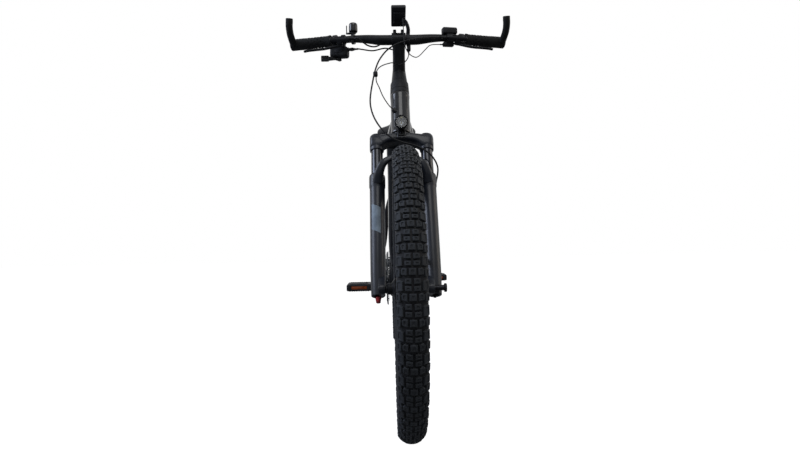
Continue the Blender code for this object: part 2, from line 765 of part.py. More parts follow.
# Crankset: spindle, two arms, pedal axles and the chainring on its spider
def crankset():
    middle = CRANK_OUTSIDE - ARM_THICKNESS / 2
    phase = wheel_phase(Vector((BRACKET.y, BRACKET.z)), RING_TEETH)
    ring_radius = pitch_radius(RING_TEETH)
    windows = []
    for k in range(4):
        start = math.pi / 4 + k * math.pi / 2
        corners = [(0.030, -0.36), (0.030, 0.36), (ring_radius - 0.014, 0.52), (ring_radius - 0.012, 0.0),
                   (ring_radius - 0.014, -0.52)]
        windows.append([(r * math.cos(start + a), r * math.sin(start + a)) for r, a in corners])
    ring = plate([toothed_outline(RING_TEETH, phase)] + windows, 0.0022,
                 Matrix.Translation((0, 0, -CHAIN_LINE)))
    boss = cylinder((0, 0, -0.0505), (0, 0, -middle), 0.026, 16, 0.019)
    spindle = cylinder((0, 0, -middle), (0, 0, middle), SPINDLE_RADIUS, 16)
    pieces = [ring, boss]
    for side in (RIGHT, LEFT):
        reach = side * CRANK_LENGTH
        arm = plate([hull_outline([(0.0, 0.0, 0.0185), (0.0, reach, 0.0135)], 14)], ARM_THICKNESS,
                    Matrix.Translation((0, 0, side * middle)))
        axle = cylinder((0, reach, side * middle), (0, reach, side * (PEDAL_INSIDE + PEDAL_WIDTH - 0.008)),
                        PEDAL_AXLE_RADIUS, 10)
        pieces += [arm, axle]
    return fuse(spindle, *pieces)


place(crankset(), "crankset", SATIN_BLACK, "crank_line")


def pedal(name, side):
    """A trekking pedal: a frame with two windows, on a bore for the crank's pedal axle."""
    centre = Vector((side * (PEDAL_INSIDE + PEDAL_WIDTH / 2), BRACKET.y + side * CRANK_LENGTH, BRACKET.z))
    holder = empty(name + "_line", turned_frame(centre), "crank_line")
    body = box((PEDAL_HEIGHT, PEDAL_LENGTH, PEDAL_WIDTH), (0, 0, 0), bevel=0.004)
    tools = [cylinder((0, 0, -PEDAL_WIDTH), (0, 0, PEDAL_WIDTH), PEDAL_AXLE_RADIUS + 2 * GAP, 10)]
    for end in (-1, 1):
        tools.append(box((2 * PEDAL_HEIGHT, PEDAL_LENGTH / 2 - 0.024, PEDAL_WIDTH - 0.026),
                         (0, end * (PEDAL_LENGTH / 4 - 0.0005), 0)))
        tools.append(box((0.012, 0.008, PEDAL_WIDTH - 0.034), (0, end * PEDAL_LENGTH / 2, 0)))
    return place(cut(body, *tools), name, PLASTIC, holder)


pedal("right_pedal", RIGHT)
pedal("left_pedal", LEFT)

# Drive unit and the bracket above it
MOTOR_CIRCLES = ((BRACKET.y, BRACKET.z, 0.056), (BRACKET.y - 0.068, BRACKET.z + 0.036, 0.060))


def drive_unit():
    """The motor casting with its side covers and a bore for the crank spindle."""
    body = side_plate(MOTOR_CIRCLES, 0.0, 2 * MOTOR_HALF_WIDTH, MOTOR_SIDES)
    cover = side_plate(MOTOR_CIRCLES, 0.0, 2 * MOTOR_HALF_WIDTH + 0.010, MOTOR_SIDES, -0.010)
    reach = Vector((MOTOR_HALF_WIDTH + 0.011, 0, 0))
    boss = cylinder(BRACKET - reach, BRACKET + reach, 0.027, 16)
    bore = cylinder((-0.08, BRACKET.y, BRACKET.z), (0.08, BRACKET.y, BRACKET.z), SPINDLE_RADIUS + 0.0006, 16)
    return cut(fuse(body, cover, boss), bore)


place(drive_unit(), "drive_unit", MOTOR_GREY)

BRACKET_HALF_WIDTH = 0.034
SEAT_TUBE_FOOT = 0.062


def seat_line_point(distance, x=0.0):
    return BRACKET + SEAT_UP * distance + Vector((x, 0, 0))


def seat_tube():
    """The seat tube, open for the seatpost, welded on the arch that the drive unit hangs in."""
    arch = side_plate(MOTOR_CIRCLES, 0.0, 2 * BRACKET_HALF_WIDTH, MOTOR_SIDES, BRACKET_WALL)
    hollow = side_plate(MOTOR_CIRCLES, 0.0, 4 * BRACKET_HALF_WIDTH, MOTOR_SIDES, GAP)
    low = Vector((0.0, BRACKET.y - 0.034, BRACKET.z - 0.095 + 0.018))
    below = box((0.2, 0.4, 0.2), low, Matrix.Rotation(-math.atan2(0.036, 0.068), 4, "X"))
    post = cylinder(seat_line_point(SEAT_TUBE_FOOT), seat_line_point(SEAT_TUBE_LENGTH), SEAT_TUBE_RADIUS, 18)
    bore = cylinder(seat_line_point(SEAT_TUBE_FOOT + 0.012), seat_line_point(SEAT_TUBE_LENGTH + 0.02),
                    SEATPOST_RADIUS + GAP, 18)
    return cut(fuse(arch, post), hollow, below, bore)


place(seat_tube(), "seat_tube", FRAME_PAINT)


# Head tube, with its cable port
def head_profile(offset):
    top, start = HEAD_TUBE_TOP, HEAD_TUBE_START
    return [(HEAD_RADIUS + offset, top), (HEAD_RADIUS - 0.0008 + offset, top - 0.030),
            (HEAD_RADIUS + offset, start + 0.045), (HEAD_RADIUS + 0.002 + offset, start)]


PORT_MOUTH = Vector((-0.0228, -0.0259, 0.0905))
PORT_OUT = Vector((-0.72, -0.46, 0.52)).normalized()
PORT_RADIUS = 0.0056


def head_tube():
    bore = [(STEERER_FOOT + 0.002, HEAD_TUBE_START), (STEERER_FOOT + 0.002, HEAD_TUBE_START + 0.035),
            (STEERER_RADIUS + 0.002, HEAD_TUBE_START + 0.070), (STEERER_RADIUS + 0.002, HEAD_TUBE_TOP)]
    shell = turned("head", head_profile(0.0) + bore, HEAD_SIDES, closed=True)
    boss = cylinder(PORT_MOUTH - PORT_OUT * 0.012, PORT_MOUTH, PORT_RADIUS + 0.003, 8)
    hole = cylinder(PORT_MOUTH - PORT_OUT * 0.011, PORT_MOUTH + PORT_OUT * 0.01, PORT_RADIUS, 8)
    return cut(fuse(shell, boss), hole)


place(head_tube(), "head_tube", FRAME_PAINT, "head_line")


def head_cutter():
    profile = [(0.0, HEAD_TUBE_TOP + 0.01)] + head_profile(GAP) + [(0.0, HEAD_TUBE_START - 0.001)]
    cutter = turned("head_cutter", profile, HEAD_SIDES)
    cutter.data.transform(STEER_FRAME)
    return cutter


def head_line_point(height):
    return CROWN_RACE + STEER_UP * height


def seat_tube_cutter(extra=GAP):
    return cylinder(seat_line_point(SEAT_TUBE_FOOT), seat_line_point(SEAT_TUBE_LENGTH + 0.05),
                    SEAT_TUBE_RADIUS + extra, 18)


# Down tube: a channel that is open towards the main triangle, where the battery lies
DOWN_START = head_line_point(0.062)
DOWN_END = Vector((0.0, MOTOR_CIRCLES[1][0] - 0.010, MOTOR_CIRCLES[1][1] + 0.030))
DOWN_ALONG = (DOWN_END - DOWN_START).normalized()
DOWN_OUT = DOWN_ALONG.cross(Vector((1, 0, 0)))
DOWN_LENGTH = (DOWN_END - DOWN_START).length
DOWN_FRAME = axes_frame(DOWN_START, Vector((1, 0, 0)), DOWN_OUT, DOWN_ALONG)
BAY_END = DOWN_LENGTH - 0.052
BAY_START = BAY_END - BATTERY_LENGTH
BAY_DEPTH = DOWN_TUBE_DEPTH - 0.010


def down_tube():
    x, out = Vector((1, 0, 0)), Vector((0, 1, 0))
    half_w, half_d = DOWN_TUBE_WIDTH / 2, DOWN_TUBE_DEPTH / 2
    stations = [(0.0, 0.0300, 0.0250), (0.030, 0.0385, 0.0265), (0.065, half_w + 0.001, 0.0290),
                (0.105, half_w + 0.002, half_d - 0.003), (0.150, half_w, half_d),
                (DOWN_LENGTH - 0.10, half_w, half_d), (DOWN_LENGTH + 0.01, half_w - 0.008, half_d - 0.003)]
    body = loft([(Vector((0, 0, z)), x, out, w, d) for z, w, d in stations], 16, 4.0)
    bay = box((BATTERY_WIDTH + 2 * GAP, BAY_DEPTH, BATTERY_LENGTH + 2 * GAP),
              (0, -half_d - 0.010 + BAY_DEPTH / 2, (BAY_START + BAY_END) / 2))
    body = cut(body, bay)
    body.data.transform(DOWN_FRAME)
    arch = side_plate(MOTOR_CIRCLES, 0.0, 0.2, MOTOR_SIDES, BRACKET_WALL + GAP)
    return cut(body, head_cutter(), arch)


place(down_tube(), "down_tube", FRAME_PAINT)


# Battery pack: lifts out of the down tube towards the main triangle
empty("battery_line", DOWN_FRAME)


def battery_pack():
    half_d = DOWN_TUBE_DEPTH / 2
    floor = -half_d - 0.010 + BAY_DEPTH - GAP
    top = -half_d - 0.006
    x, out = Vector((1, 0, 0)), Vector((0, 1, 0))
    middle, depth = (floor + top) / 2, (floor - top) / 2
    pack = loft([(Vector((0, middle, z)), x, out, BATTERY_WIDTH / 2 - inset, depth - inset)
                 for z, inset in ((BAY_START + GAP, 0.002), (BAY_START + 0.003, 0.0), (BAY_END - 0.003, 0.0),
                                  (BAY_END - GAP, 0.002))], 16, 7.0)
    handle = box((0.030, 0.010, 0.050), (0, top, BAY_START + 0.045))
    return cut(pack, handle)


place(battery_pack(), "battery_pack", PLASTIC, "battery_line")


# Top tube
def top_tube():
    start = head_line_point(0.130)
    end = seat_line_point(SEAT_TUBE_LENGTH - 0.050)
    along = (end - start).normalized()
    up = Vector((1, 0, 0)).cross(along)
    x = Vector((1, 0, 0))
    stations = [(0.0, 0.0225, 0.0250), (0.25, 0.0235, 0.0215), (0.65, 0.0205, 0.0180), (1.0, 0.0165, 0.0165)]
    body = loft([(start.lerp(end, t), x, up, w, h) for t, w, h in stations], 12, 2.8)
    return cut(body, head_cutter(), seat_tube_cutter())


place(top_tube(), "top_tube", FRAME_PAINT)

# Stays and dropouts
DROPOUT_MIDDLE = REAR_HUB_WIDTH / 2 + DROPOUT_THICKNESS / 2
DROPOUT_CIRCLES = ((REAR_AXLE.y, REAR_AXLE.z, 0.0170), (REAR_AXLE.y - 0.020, REAR_AXLE.z + 0.030, 0.0100),
                   (REAR_AXLE.y - 0.040, REAR_AXLE.z - 0.002, 0.0100))
HANGER_CIRCLES = ((REAR_AXLE.y, REAR_AXLE.z, 0.0150), (REAR_AXLE.y + 0.010, REAR_AXLE.z - 0.028, 0.0100))


STAY_PORTS = {RIGHT: REAR_AXLE + Vector((-0.0650, -0.1150, -0.01238)),
              LEFT: REAR_AXLE + Vector((0.0585, -0.1550, -0.01638))}
STAY_PORT_RADIUS = 0.0038


def stay_port_run(side):
    """The last points of a cable or hose that goes into a chainstay."""
    out = Vector((side * 0.15, 0.62, 0.77)).normalized()
    return [STAY_PORTS[side] + out * step for step in (0.032, 0.016, 0.005)]


def chainstays():
    """Both chainstays with their bridge and dropouts, and the derailleur hanger on the drive side."""
    pieces = []
    for side in (RIGHT, LEFT):
        route = [(side * 0.028, BRACKET.y + 0.040, BRACKET.z + 0.005),
                 (side * 0.038, BRACKET.y + 0.078, BRACKET.z + 0.006),
                 (side * 0.0485, BRACKET.y + 0.133, BRACKET.z + 0.011),
                 (side * 0.0535, BRACKET.y + 0.225, REAR_AXLE.z - 0.02588),
                 (side * 0.0640, BRACKET.y + 0.340, REAR_AXLE.z - 0.01288),
                 (side * DROPOUT_MIDDLE, REAR_AXLE.y - 0.036, REAR_AXLE.z - 0.00238)]
        pieces.append(tube(route, 0.0118, 2, [1.1, 1.05, 0.95, 0.9, 0.82, 0.70]))
        pieces.append(side_plate(DROPOUT_CIRCLES, side * DROPOUT_MIDDLE, DROPOUT_THICKNESS))
    hanger_x = -(REAR_HUB_WIDTH / 2 + DROPOUT_THICKNESS - 0.003)
    pieces.append(side_plate(HANGER_CIRCLES, hanger_x, 0.006))
    bridge = cylinder(BRACKET + Vector((-0.038, 0.068, 0.006)), BRACKET + Vector((0.038, 0.068, 0.006)),
                      0.0105, 10)
    body = fuse(bridge, *pieces)
    arch = side_plate(MOTOR_CIRCLES, 0.0, 0.2, MOTOR_SIDES, BRACKET_WALL + GAP)
    axle = cylinder((-0.2, REAR_AXLE.y, REAR_AXLE.z), (0.2, REAR_AXLE.y, REAR_AXLE.z),
                    clear_bore(REAR_AXLE_RADIUS, 12), 12)
    ports = []
    for side in (RIGHT, LEFT):
        mouth, _, foot = stay_port_run(side)
        ports.append(cylinder(foot.lerp(mouth, -0.08), mouth, STAY_PORT_RADIUS, 8))
    return cut(body, arch, axle, *ports)


place(chainstays(), "chainstays", FRAME_PAINT)


def seatstays():
    """Both seatstays with the wishbone that joins them behind the seat tube."""
    pieces = []
    top = seat_line_point(SEAT_TUBE_LENGTH - 0.072)
    for side in (RIGHT, LEFT):
        route = [(side * 0.015, top.y + 0.012, top.z + 0.006), (side * 0.030, top.y + 0.048, top.z - 0.033),
                 (side * 0.0475, top.y + 0.100, top.z - 0.087),
                 (side * 0.0520, top.y + 0.165, top.z - 0.152),
                 (side * 0.0600, REAR_AXLE.y - 0.100, REAR_AXLE.z + 0.106),
                 (side * DROPOUT_MIDDLE, REAR_AXLE.y - 0.016, REAR_AXLE.z + 0.026)]
        pieces.append(tube(route, 0.0090, 2, [1.1, 1.05, 1.0, 0.95, 0.85, 0.48]))
    wishbone = cylinder((-0.026, top.y + 0.040, top.z - 0.024), (0.026, top.y + 0.040, top.z - 0.024),
                        0.0088, 10)
    body = fuse(wishbone, *pieces)
    cutters = [seat_tube_cutter()]
    for side in (RIGHT, LEFT):
        cutters.append(side_plate(DROPOUT_CIRCLES, side * DROPOUT_MIDDLE, DROPOUT_THICKNESS + 2 * GAP,
                                  offset=GAP))
    return cut(body, *cutters)


place(seatstays(), "seatstays", FRAME_PAINT)


def seat_clamp():
    """A split collar with its bolt ears, round the top of the seat tube."""
    radius = SEAT_TUBE_RADIUS
    top = SEAT_TUBE_LENGTH + 0.001
    ring = turned("clamp", [(radius + 0.0055, top), (radius + 0.0055, top - 0.015),
                            (radius + GAP, top - 0.015), (radius + GAP, top)], 18, closed=True)
    ears = box((0.016, 0.012, 0.012), (0, radius + 0.010, top - 0.0075), bevel=0.001)
    slot = box((0.0022, 0.030, 0.040), (0, radius + 0.014, top - 0.0075))
    return cut(fuse(ring, ears), slot)


place(seat_clamp(), "seat_clamp", SATIN_BLACK, "seat_line")

# Seatpost and saddle
RAIL_SPREAD = 0.022
RAIL_RADIUS = 0.0035


def seatpost():
    """A straight post with a bored head block whose grooves take the saddle rails."""
    post = cylinder((0, 0, SEAT_TUBE_LENGTH - 0.150), (0, 0, SADDLE_HEIGHT - 0.018),
                    SEATPOST_RADIUS - GAP, 18)
    turn = Matrix.Rotation(math.pi / 2 - SEAT_ANGLE, 4, "X")
    head = box((0.058, 0.046, 0.022), (0, 0, SADDLE_HEIGHT - 0.008), turn, bevel=0.004)
    body = fuse(post, head)
    grooves = []
    for side in (RIGHT, LEFT):
        at = Vector((side * RAIL_SPREAD, 0, SADDLE_HEIGHT))
        reach = turn @ Vector((0, 0.06, 0))
        grooves.append(cylinder(at - reach, at + reach, RAIL_RADIUS + 2 * GAP, 8))
    return cut(body, *grooves)


place(seatpost(), "seatpost", SATIN_BLACK, "seat_line")

SADDLE_STATIONS = ((-0.152, 0.0150, 0.010, 0.030), (-0.146, 0.0205, 0.005, 0.034),
                   (-0.120, 0.0230, 0.002, 0.037), (-0.075, 0.0260, 0.000, 0.038),
                   (-0.030, 0.0350, 0.000, 0.038), (0.010, 0.0510, 0.000, 0.039),
                   (0.050, 0.0710, 0.001, 0.042), (0.085, 0.0850, 0.003, 0.046),
                   (0.112, 0.0865, 0.006, 0.048), (0.130, 0.0740, 0.010, 0.046),
                   (0.137, 0.0560, 0.015, 0.041))
SADDLE_LIFT = 0.012
SADDLE_BACK = 0.004


def saddle_pad():
    """The padded top: crowned, drawn in at its sides towards the shell, with a channel down the middle."""
    half_section = ((0.86, 0.00), (0.94, 0.16), (1.00, 0.42), (0.95, 0.74), (0.76, 0.95), (0.42, 1.00),
                    (0.14, 0.95))
    bm = bmesh.new()
    rings = []
    for y, half_width, low, high in SADDLE_STATIONS:
        channel = 1.0 if -0.11 < y < 0.10 else 0.5
        ring = []
        for side, section in ((1, half_section), (-1, half_section[::-1])):
            for across, rise in section:
                dip = 0.05 * channel if across == 0.14 else 0.0
                z = SADDLE_LIFT + low + (high - low) * (rise - dip)
                ring.append(bm.verts.new((side * across * half_width, y + SADDLE_BACK, z)))
        rings.append(ring)
    close_rings(bm, rings)
    return mesh_object("saddle_pad", bm)


place(saddle_pad(), "saddle_pad", SADDLE_COVER, "saddle_line")


def saddle_base():
    """The plastic shell under the padding, with the two steel rails moulded into its nose and tail."""
    bm = bmesh.new()
    rings = []
    for y, half_width, low, high in SADDLE_STATIONS[1:-1]:
        top = SADDLE_LIFT + low - GAP
        ring = [bm.verts.new((x, y + SADDLE_BACK, z)) for x, z in
                ((-0.84 * half_width, top), (-0.80 * half_width, top - 0.005),
                 (0.80 * half_width, top - 0.005), (0.84 * half_width, top))]
        rings.append(ring)
    close_rings(bm, rings)
    shell = mesh_object("shell", bm)
    rails = []
    for side in (RIGHT, LEFT):
        route = [(side * 0.008, -0.128, SADDLE_LIFT - 0.004), (side * 0.014, -0.100, SADDLE_LIFT - 0.009),
                 (side * RAIL_SPREAD, -0.060, 0.0), (side * RAIL_SPREAD, 0.040, 0.0),
                 (side * (RAIL_SPREAD + 0.010), 0.088, 0.004),
                 (side * (RAIL_SPREAD + 0.016), 0.112, SADDLE_LIFT)]
        rails.append(tube(route, RAIL_RADIUS, 2))
    return fuse(shell, *rails)


place(saddle_base(), "saddle_base", PLASTIC, "saddle_line")


# Fork crown: steerer, crown and stanchions pressed into one
def fork_crown():
    race = HEAD_RADIUS - 0.002
    turned_down = [(0.0, STEM_TOP - 0.004), (STEERER_RADIUS, STEM_TOP - 0.004),
                   (STEERER_RADIUS, HEAD_TUBE_START + 0.070), (STEERER_FOOT, HEAD_TUBE_START + 0.035),
                   (STEERER_FOOT, HEAD_TUBE_START - GAP), (race, HEAD_TUBE_START - GAP), (race, -0.010),
                   (0.0, -0.010)]
    steerer = turned("steerer", turned_down, FORK_SIDES)
    half = LEG_SPACING / 2
    back, up = Vector((0, 1, 0)), Vector((0, 0, 1))
    end = (half + 0.0215, -LEG_SETBACK, -0.027, 0.0110, 0.0170)
    stations = [end, (half + 0.0150, -LEG_SETBACK, -0.027, 0.0205, 0.0225),
                (half - 0.008, -LEG_SETBACK, -0.028, 0.0240, SOCKET_HEIGHT / 2 - 0.002),
                (half - 0.030, -0.015, -0.019, 0.0255, 0.0170),
                (0.018, -0.011, -0.0160, 0.0320, CROWN_HEIGHT / 2)]
    sections = [(Vector((x, y, z)), back, up, w, h) for x, y, z, w, h in stations]
    sections += [(Vector((-x, y, z)), back, up, w, h) for x, y, z, w, h in stations[::-1]]
    crown = loft(sections, 12, 3.2)
    face = box((0.026, 0.020, 0.022), (0, -0.0360, -0.0150))
    legs = []
    for side in (RIGHT, LEFT):
        top, low = (side * half, -LEG_SETBACK, -0.030), (side * half, -LEG_SETBACK, -0.260)
        legs.append(cylinder(top, low, STANCHION_RADIUS, FORK_SIDES))
    return fuse(crown, steerer, face, *legs)


place(fork_crown(), "fork_crown", FORK_PAINT, "steering")


COVER_PORT_OUT = Vector((0.0, 0.64, 0.77)).normalized()
COVER_PORT_RADIUS = 0.0032


def cover_port(x):
    """Where a hose enters the back of the headset cover."""
    return Vector((x, 0.0275, STEM_START - 0.0160))


def headset_cover():
    """The cover between head tube and stem, with two hose ports in its back."""
    low, high = HEAD_TUBE_TOP + GAP, STEM_START - GAP
    groove = low + 0.016
    profile = [(0.0270, high), (0.0285, high - 0.002), (0.0300, groove + 0.001), (0.0290, groove),
               (0.0302, groove - 0.001), (HEAD_RADIUS, low), (STEERER_RADIUS + GAP, low),
               (STEERER_RADIUS + GAP, high)]
    cover = turned("cover", profile, FORK_SIDES, closed=True)
    ports = [cylinder(cover_port(x) - COVER_PORT_OUT * 0.0085, cover_port(x) + COVER_PORT_OUT * 0.01,
                      COVER_PORT_RADIUS, 8) for x in (-0.0085, 0.0085)]
    return cut(cover, *ports)


place(headset_cover(), "headset_cover", PLASTIC, "steering")


BAR_IN_STEER = Vector((0.0, -STEM_REACH, BAR_LIFT))
CLAMP_HALF = 0.0225
CLAMP_OUTSIDE = 0.0220


def stem():
    """A conical base on the steerer, the rising arm, and the bar clamp with its two bolt bosses."""
    base = turned("base", [(0.0, STEM_TOP), (0.0190, STEM_TOP), (0.0205, STEM_TOP - 0.003),
                           (0.0262, STEM_START), (0.0, STEM_START)], FORK_SIDES)
    x = Vector((1, 0, 0))
    start = Vector((0, 0.004, STEM_TOP - 0.024))
    along = (BAR_IN_STEER - start).normalized()
    up = x.cross(along)
    arm = loft([(start, x, up, 0.0205, 0.0180), (start.lerp(BAR_IN_STEER, 0.5), x, up, 0.0200, 0.0165),
                (BAR_IN_STEER, x, up, 0.0205, 0.0175)], 12, 3.0)
    clamp = cylinder(BAR_IN_STEER - x * CLAMP_HALF, BAR_IN_STEER + x * CLAMP_HALF, CLAMP_OUTSIDE, 14)
    lid = BAR_IN_STEER + STEER_TO_WORLD_UP * 0.021
    bosses = [box((0.011, 0.020, 0.018), lid + x * side * 0.0125, bevel=0.002) for side in (RIGHT, LEFT)]
    body = fuse(base, arm, clamp, *bosses)
    steerer_bore = cylinder((0, 0, STEM_START - 0.01), (0, 0, STEM_TOP - 0.0035),
                            clear_bore(STEERER_RADIUS, FORK_SIDES), FORK_SIDES)
    bar_bore = cylinder(BAR_IN_STEER - x * 0.05, BAR_IN_STEER + x * 0.05,
                        clear_bore(BAR_CLAMP_RADIUS, 14), 14)
    return cut(body, steerer_bore, bar_bore)


STEER_TO_WORLD_UP = Vector((0.0, -math.cos(HEAD_ANGLE), math.sin(HEAD_ANGLE)))
place(stem(), "stem", SATIN_BLACK, "steering")

# Handlebar and everything that is clamped on it, in a frame at the middle of the bar clamp
BAR_ROUTE = ((0.0, 0.0, 0.0, BAR_CLAMP_RADIUS), (0.050, 0.0, 0.0, BAR_CLAMP_RADIUS),
             (0.120, 0.012, 0.010, 0.0125), (0.180, 0.026, BAR_RISE, BAR_END_RADIUS),
             (BAR_HALF, BAR_SWEEP, BAR_RISE, BAR_END_RADIUS))
BAR_SIDES = 12


def bar_frame(x):
    """A frame on the bar's axis: its X runs along the bar towards the left, its Y runs back."""
    for (x0, y0, z0, _), (x1, y1, z1, _) in zip(BAR_ROUTE, BAR_ROUTE[1:]):
        if abs(x) <= x1 or x1 == BAR_HALF:
            break
    side = math.copysign(1.0, x)
    t = (abs(x) - x0) / (x1 - x0)
    along = Vector((x1 - x0, side * (y1 - y0), side * (z1 - z0))).normalized()
    back = Vector((0, 0, 1)).cross(along).normalized()
    centre = Vector((x, y0 + (y1 - y0) * t, z0 + (z1 - z0) * t))
    return axes_frame(centre, along, back, along.cross(back))


def bar_radius(x):
    for (x0, _, _, r0), (x1, _, _, r1) in zip(BAR_ROUTE, BAR_ROUTE[1:]):
        if abs(x) <= x1 or x1 == BAR_HALF:
            return r0 + (r1 - r0) * (abs(x) - x0) / (x1 - x0)


def handlebar():
    right = [((-x, y, z), r / BAR_CLAMP_RADIUS) for x, y, z, r in BAR_ROUTE[:0:-1]]
    left = [((x, y, z), r / BAR_CLAMP_RADIUS) for x, y, z, r in BAR_ROUTE[1:]]
    route = right + left
    return tube([p for p, _ in route], BAR_CLAMP_RADIUS, 3, [r for _, r in route])


place(handlebar(), "handlebar", SATIN_BLACK, "bar_line")


def bar_ring(frame, half_width, radius, sides=12):
    return cylinder(frame @ Vector((-half_width, 0, 0)), frame @ Vector((half_width, 0, 0)), radius, sides)


def bar_bore(x, frame, half_width):
    radius = max(bar_radius(abs(x) - half_width), bar_radius(abs(x) + half_width))
    return bar_ring(frame, half_width + 0.004, clear_bore(radius + GAP, BAR_SIDES), BAR_SIDES)


GRIP_LENGTH = 0.120
HORN_RADIUS = 0.0115


def grip(name, side):
    """A rubber grip with a palm swell, and the bar end that its outer clamp carries."""
    frame = bar_frame(side * BAR_HALF)
    inner = -side * GRIP_LENGTH
    length = GRIP_LENGTH
    profile = [(0.0, 0.0), (0.0175, 0.0), (GRIP_RADIUS + 0.0012, -0.020), (GRIP_RADIUS, -0.050),
               (GRIP_RADIUS - 0.0007, -0.090), (GRIP_RADIUS + 0.0020, -length + 0.004),
               (GRIP_RADIUS + 0.0020, -length), (0.0, -length)]
    sleeve = turned("sleeve", profile, BAR_SIDES)
    sleeve_frame = frame @ Matrix.Rotation(side * math.pi / 2, 4, "Y")
    bm = bmesh.new()
    bm.from_mesh(sleeve.data)
    for vert in bm.verts:
        swell = 0.24 * math.exp(-((vert.co.z + 0.038) / 0.030) ** 2)
        if vert.co.y > 0:
            vert.co.y *= 1.0 + swell
    bmesh.ops.transform(bm, matrix=sleeve_frame, verts=bm.verts)
    bm.to_mesh(sleeve.data)
    bm.free()
    cap = bar_ring(bar_frame(side * (BAR_HALF + 0.006)), 0.0125, 0.0186, BAR_SIDES)
    horn = smooth_route([(side * 0.345, 0.069, 0.012), (side * 0.3455, 0.040, 0.014),
                         (side * 0.3475, 0.012, 0.026), (side * 0.3470, -0.010, 0.046),
                         (side * 0.3450, -0.018, 0.066)], 2)
    bar_end = tube(horn, HORN_RADIUS, 2)
    bore = cylinder(frame @ Vector((inner - side * 0.01, 0, 0)), frame @ Vector((side * GAP, 0, 0)),
                    clear_bore(BAR_END_RADIUS, BAR_SIDES), BAR_SIDES)
    body = cut(fuse(cap, sleeve, bar_end), bore)
    return place(body, name, SOFT_RUBBER, "bar_line")


grip("right_grip", RIGHT)
grip("left_grip", LEFT)


def ribbon(points):
    """The outline of a flat bent arm from (x, y, half width) points."""
    left, right = [], []
    for k, (x, y, half) in enumerate(points):
        before, after = points[max(k - 1, 0)], points[min(k + 1, len(points) - 1)]
        along = Vector((after[0] - before[0], after[1] - before[1])).normalized()
        left.append((x - along.y * half, y + along.x * half))
        right.append((x + along.y * half, y - along.x * half))
    return left + right[::-1]


BRAKE_PLACE = 0.205
LEVER_TILT = math.radians(35)
LEVER_THICKNESS = 0.007
PIN_RADIUS = 0.0025


def lever_frame(side):
    """The brake lever's own frame: X outwards along the bar, Y away from the bar, Z on the pivot's axis."""
    bar = bar_frame(side * BRAKE_PLACE)
    turn = bar.to_3x3()
    out = turn @ Vector((side, 0, 0))
    away = turn @ Vector((0, -math.cos(LEVER_TILT), -math.sin(LEVER_TILT)))
    pivot = bar @ Vector((-side * 0.024, -0.0198, -0.0241))
    return axes_frame(pivot, out, away, out.cross(away))


def brake_body(name, side):
    """A brake master cylinder on its bar clamp, with the lever's hinge block and pin."""
    bar = bar_frame(side * BRAKE_PLACE)
    lever = lever_frame(side)
    over = -side
    ring = bar_ring(bar, 0.007, 0.0175)
    neck = box((0.013, 0.024, 0.014), bar @ Vector((0, -0.020, -0.007)), bar.to_3x3().to_4x4())
    start, foot, tip = [bar @ Vector((side * x, y, -0.010))
                        for x, y in ((0.006, -0.030), (-0.058, -0.028), (-0.070, -0.028))]
    reservoir = cylinder(start, foot, 0.0088, 10, 0.0075)
    nozzle = cylinder(bar @ Vector((-side * 0.050, -0.028, -0.010)), tip, 0.0042, 8)
    block = box((0.017, 0.016, 0.012), (0, 0, over * (LEVER_THICKNESS / 2 + GAP + 0.006)))
    block.data.transform(lever)
    pin = cylinder((0, 0, over * 0.010), (0, 0, -over * (LEVER_THICKNESS / 2 + 0.0010)), PIN_RADIUS, 8)
    pin.data.transform(lever)
    body = fuse(ring, neck, reservoir, nozzle, block, pin)
    return place(cut(body, bar_bore(side * BRAKE_PLACE, bar, 0.007)), name, SATIN_BLACK, "bar_line")


def brake_lever(name, side):
    """A two-finger lever blade with a hooked tip, on the pin of the brake body."""
    holder = empty(name + "_line", FRAMES["bar_line"] @ lever_frame(side), "bar_line")
    blade = ribbon([(-0.008, 0.002, 0.0045), (0.0, 0.0, 0.0078), (0.012, 0.006, 0.0065),
                    (0.028, 0.018, 0.0050), (0.050, 0.026, 0.0048), (0.078, 0.026, 0.0048),
                    (0.100, 0.027, 0.0048), (0.113, 0.033, 0.0042)])
    body = plate([blade, circle(PIN_RADIUS + 2 * GAP, 8)], LEVER_THICKNESS)
    return place(body, name, SATIN_BLACK, holder)


for brake_side, brake_name in ((RIGHT, "right"), (LEFT, "left")):
    brake_body(brake_name + "_brake_body", brake_side)
    brake_lever(brake_name + "_brake_lever", brake_side)

# Shifter under the right side of the bar, with its two triggers on one pin
SHIFTER_PLACE = 0.178
SHIFTER_FLOOR = -0.0560
TRIGGER_THICKNESS = 0.0036


def shifter_body():
    bar = bar_frame(-SHIFTER_PLACE)
    ring = bar_ring(bar, 0.006, 0.0160)
    neck = box((0.010, 0.018, 0.020), bar @ Vector((0, 0.002, -0.018)))
    case = box((0.060, 0.032, 0.035), bar @ Vector((-0.016, 0.010, SHIFTER_FLOOR + 0.0175)),
               bar.to_3x3().to_4x4(), 0.006)
    nozzle = cylinder(bar @ Vector((0.008, 0.010, -0.030)), bar @ Vector((0.036, 0.008, -0.030)), 0.0045, 8)
    pivot = bar @ Vector((-0.016, 0.010, SHIFTER_FLOOR))
    pin_end = pivot - Vector((0, 0, 2 * TRIGGER_THICKNESS + 4 * GAP))
    pin = cylinder(pivot + Vector((0, 0, 0.006)), pin_end, 0.003, 8)
    body = fuse(ring, neck, case, nozzle, pin)
    return cut(body, bar_bore(SHIFTER_PLACE, bar, 0.006))


place(shifter_body(), "shifter_body", PLASTIC, "bar_line")


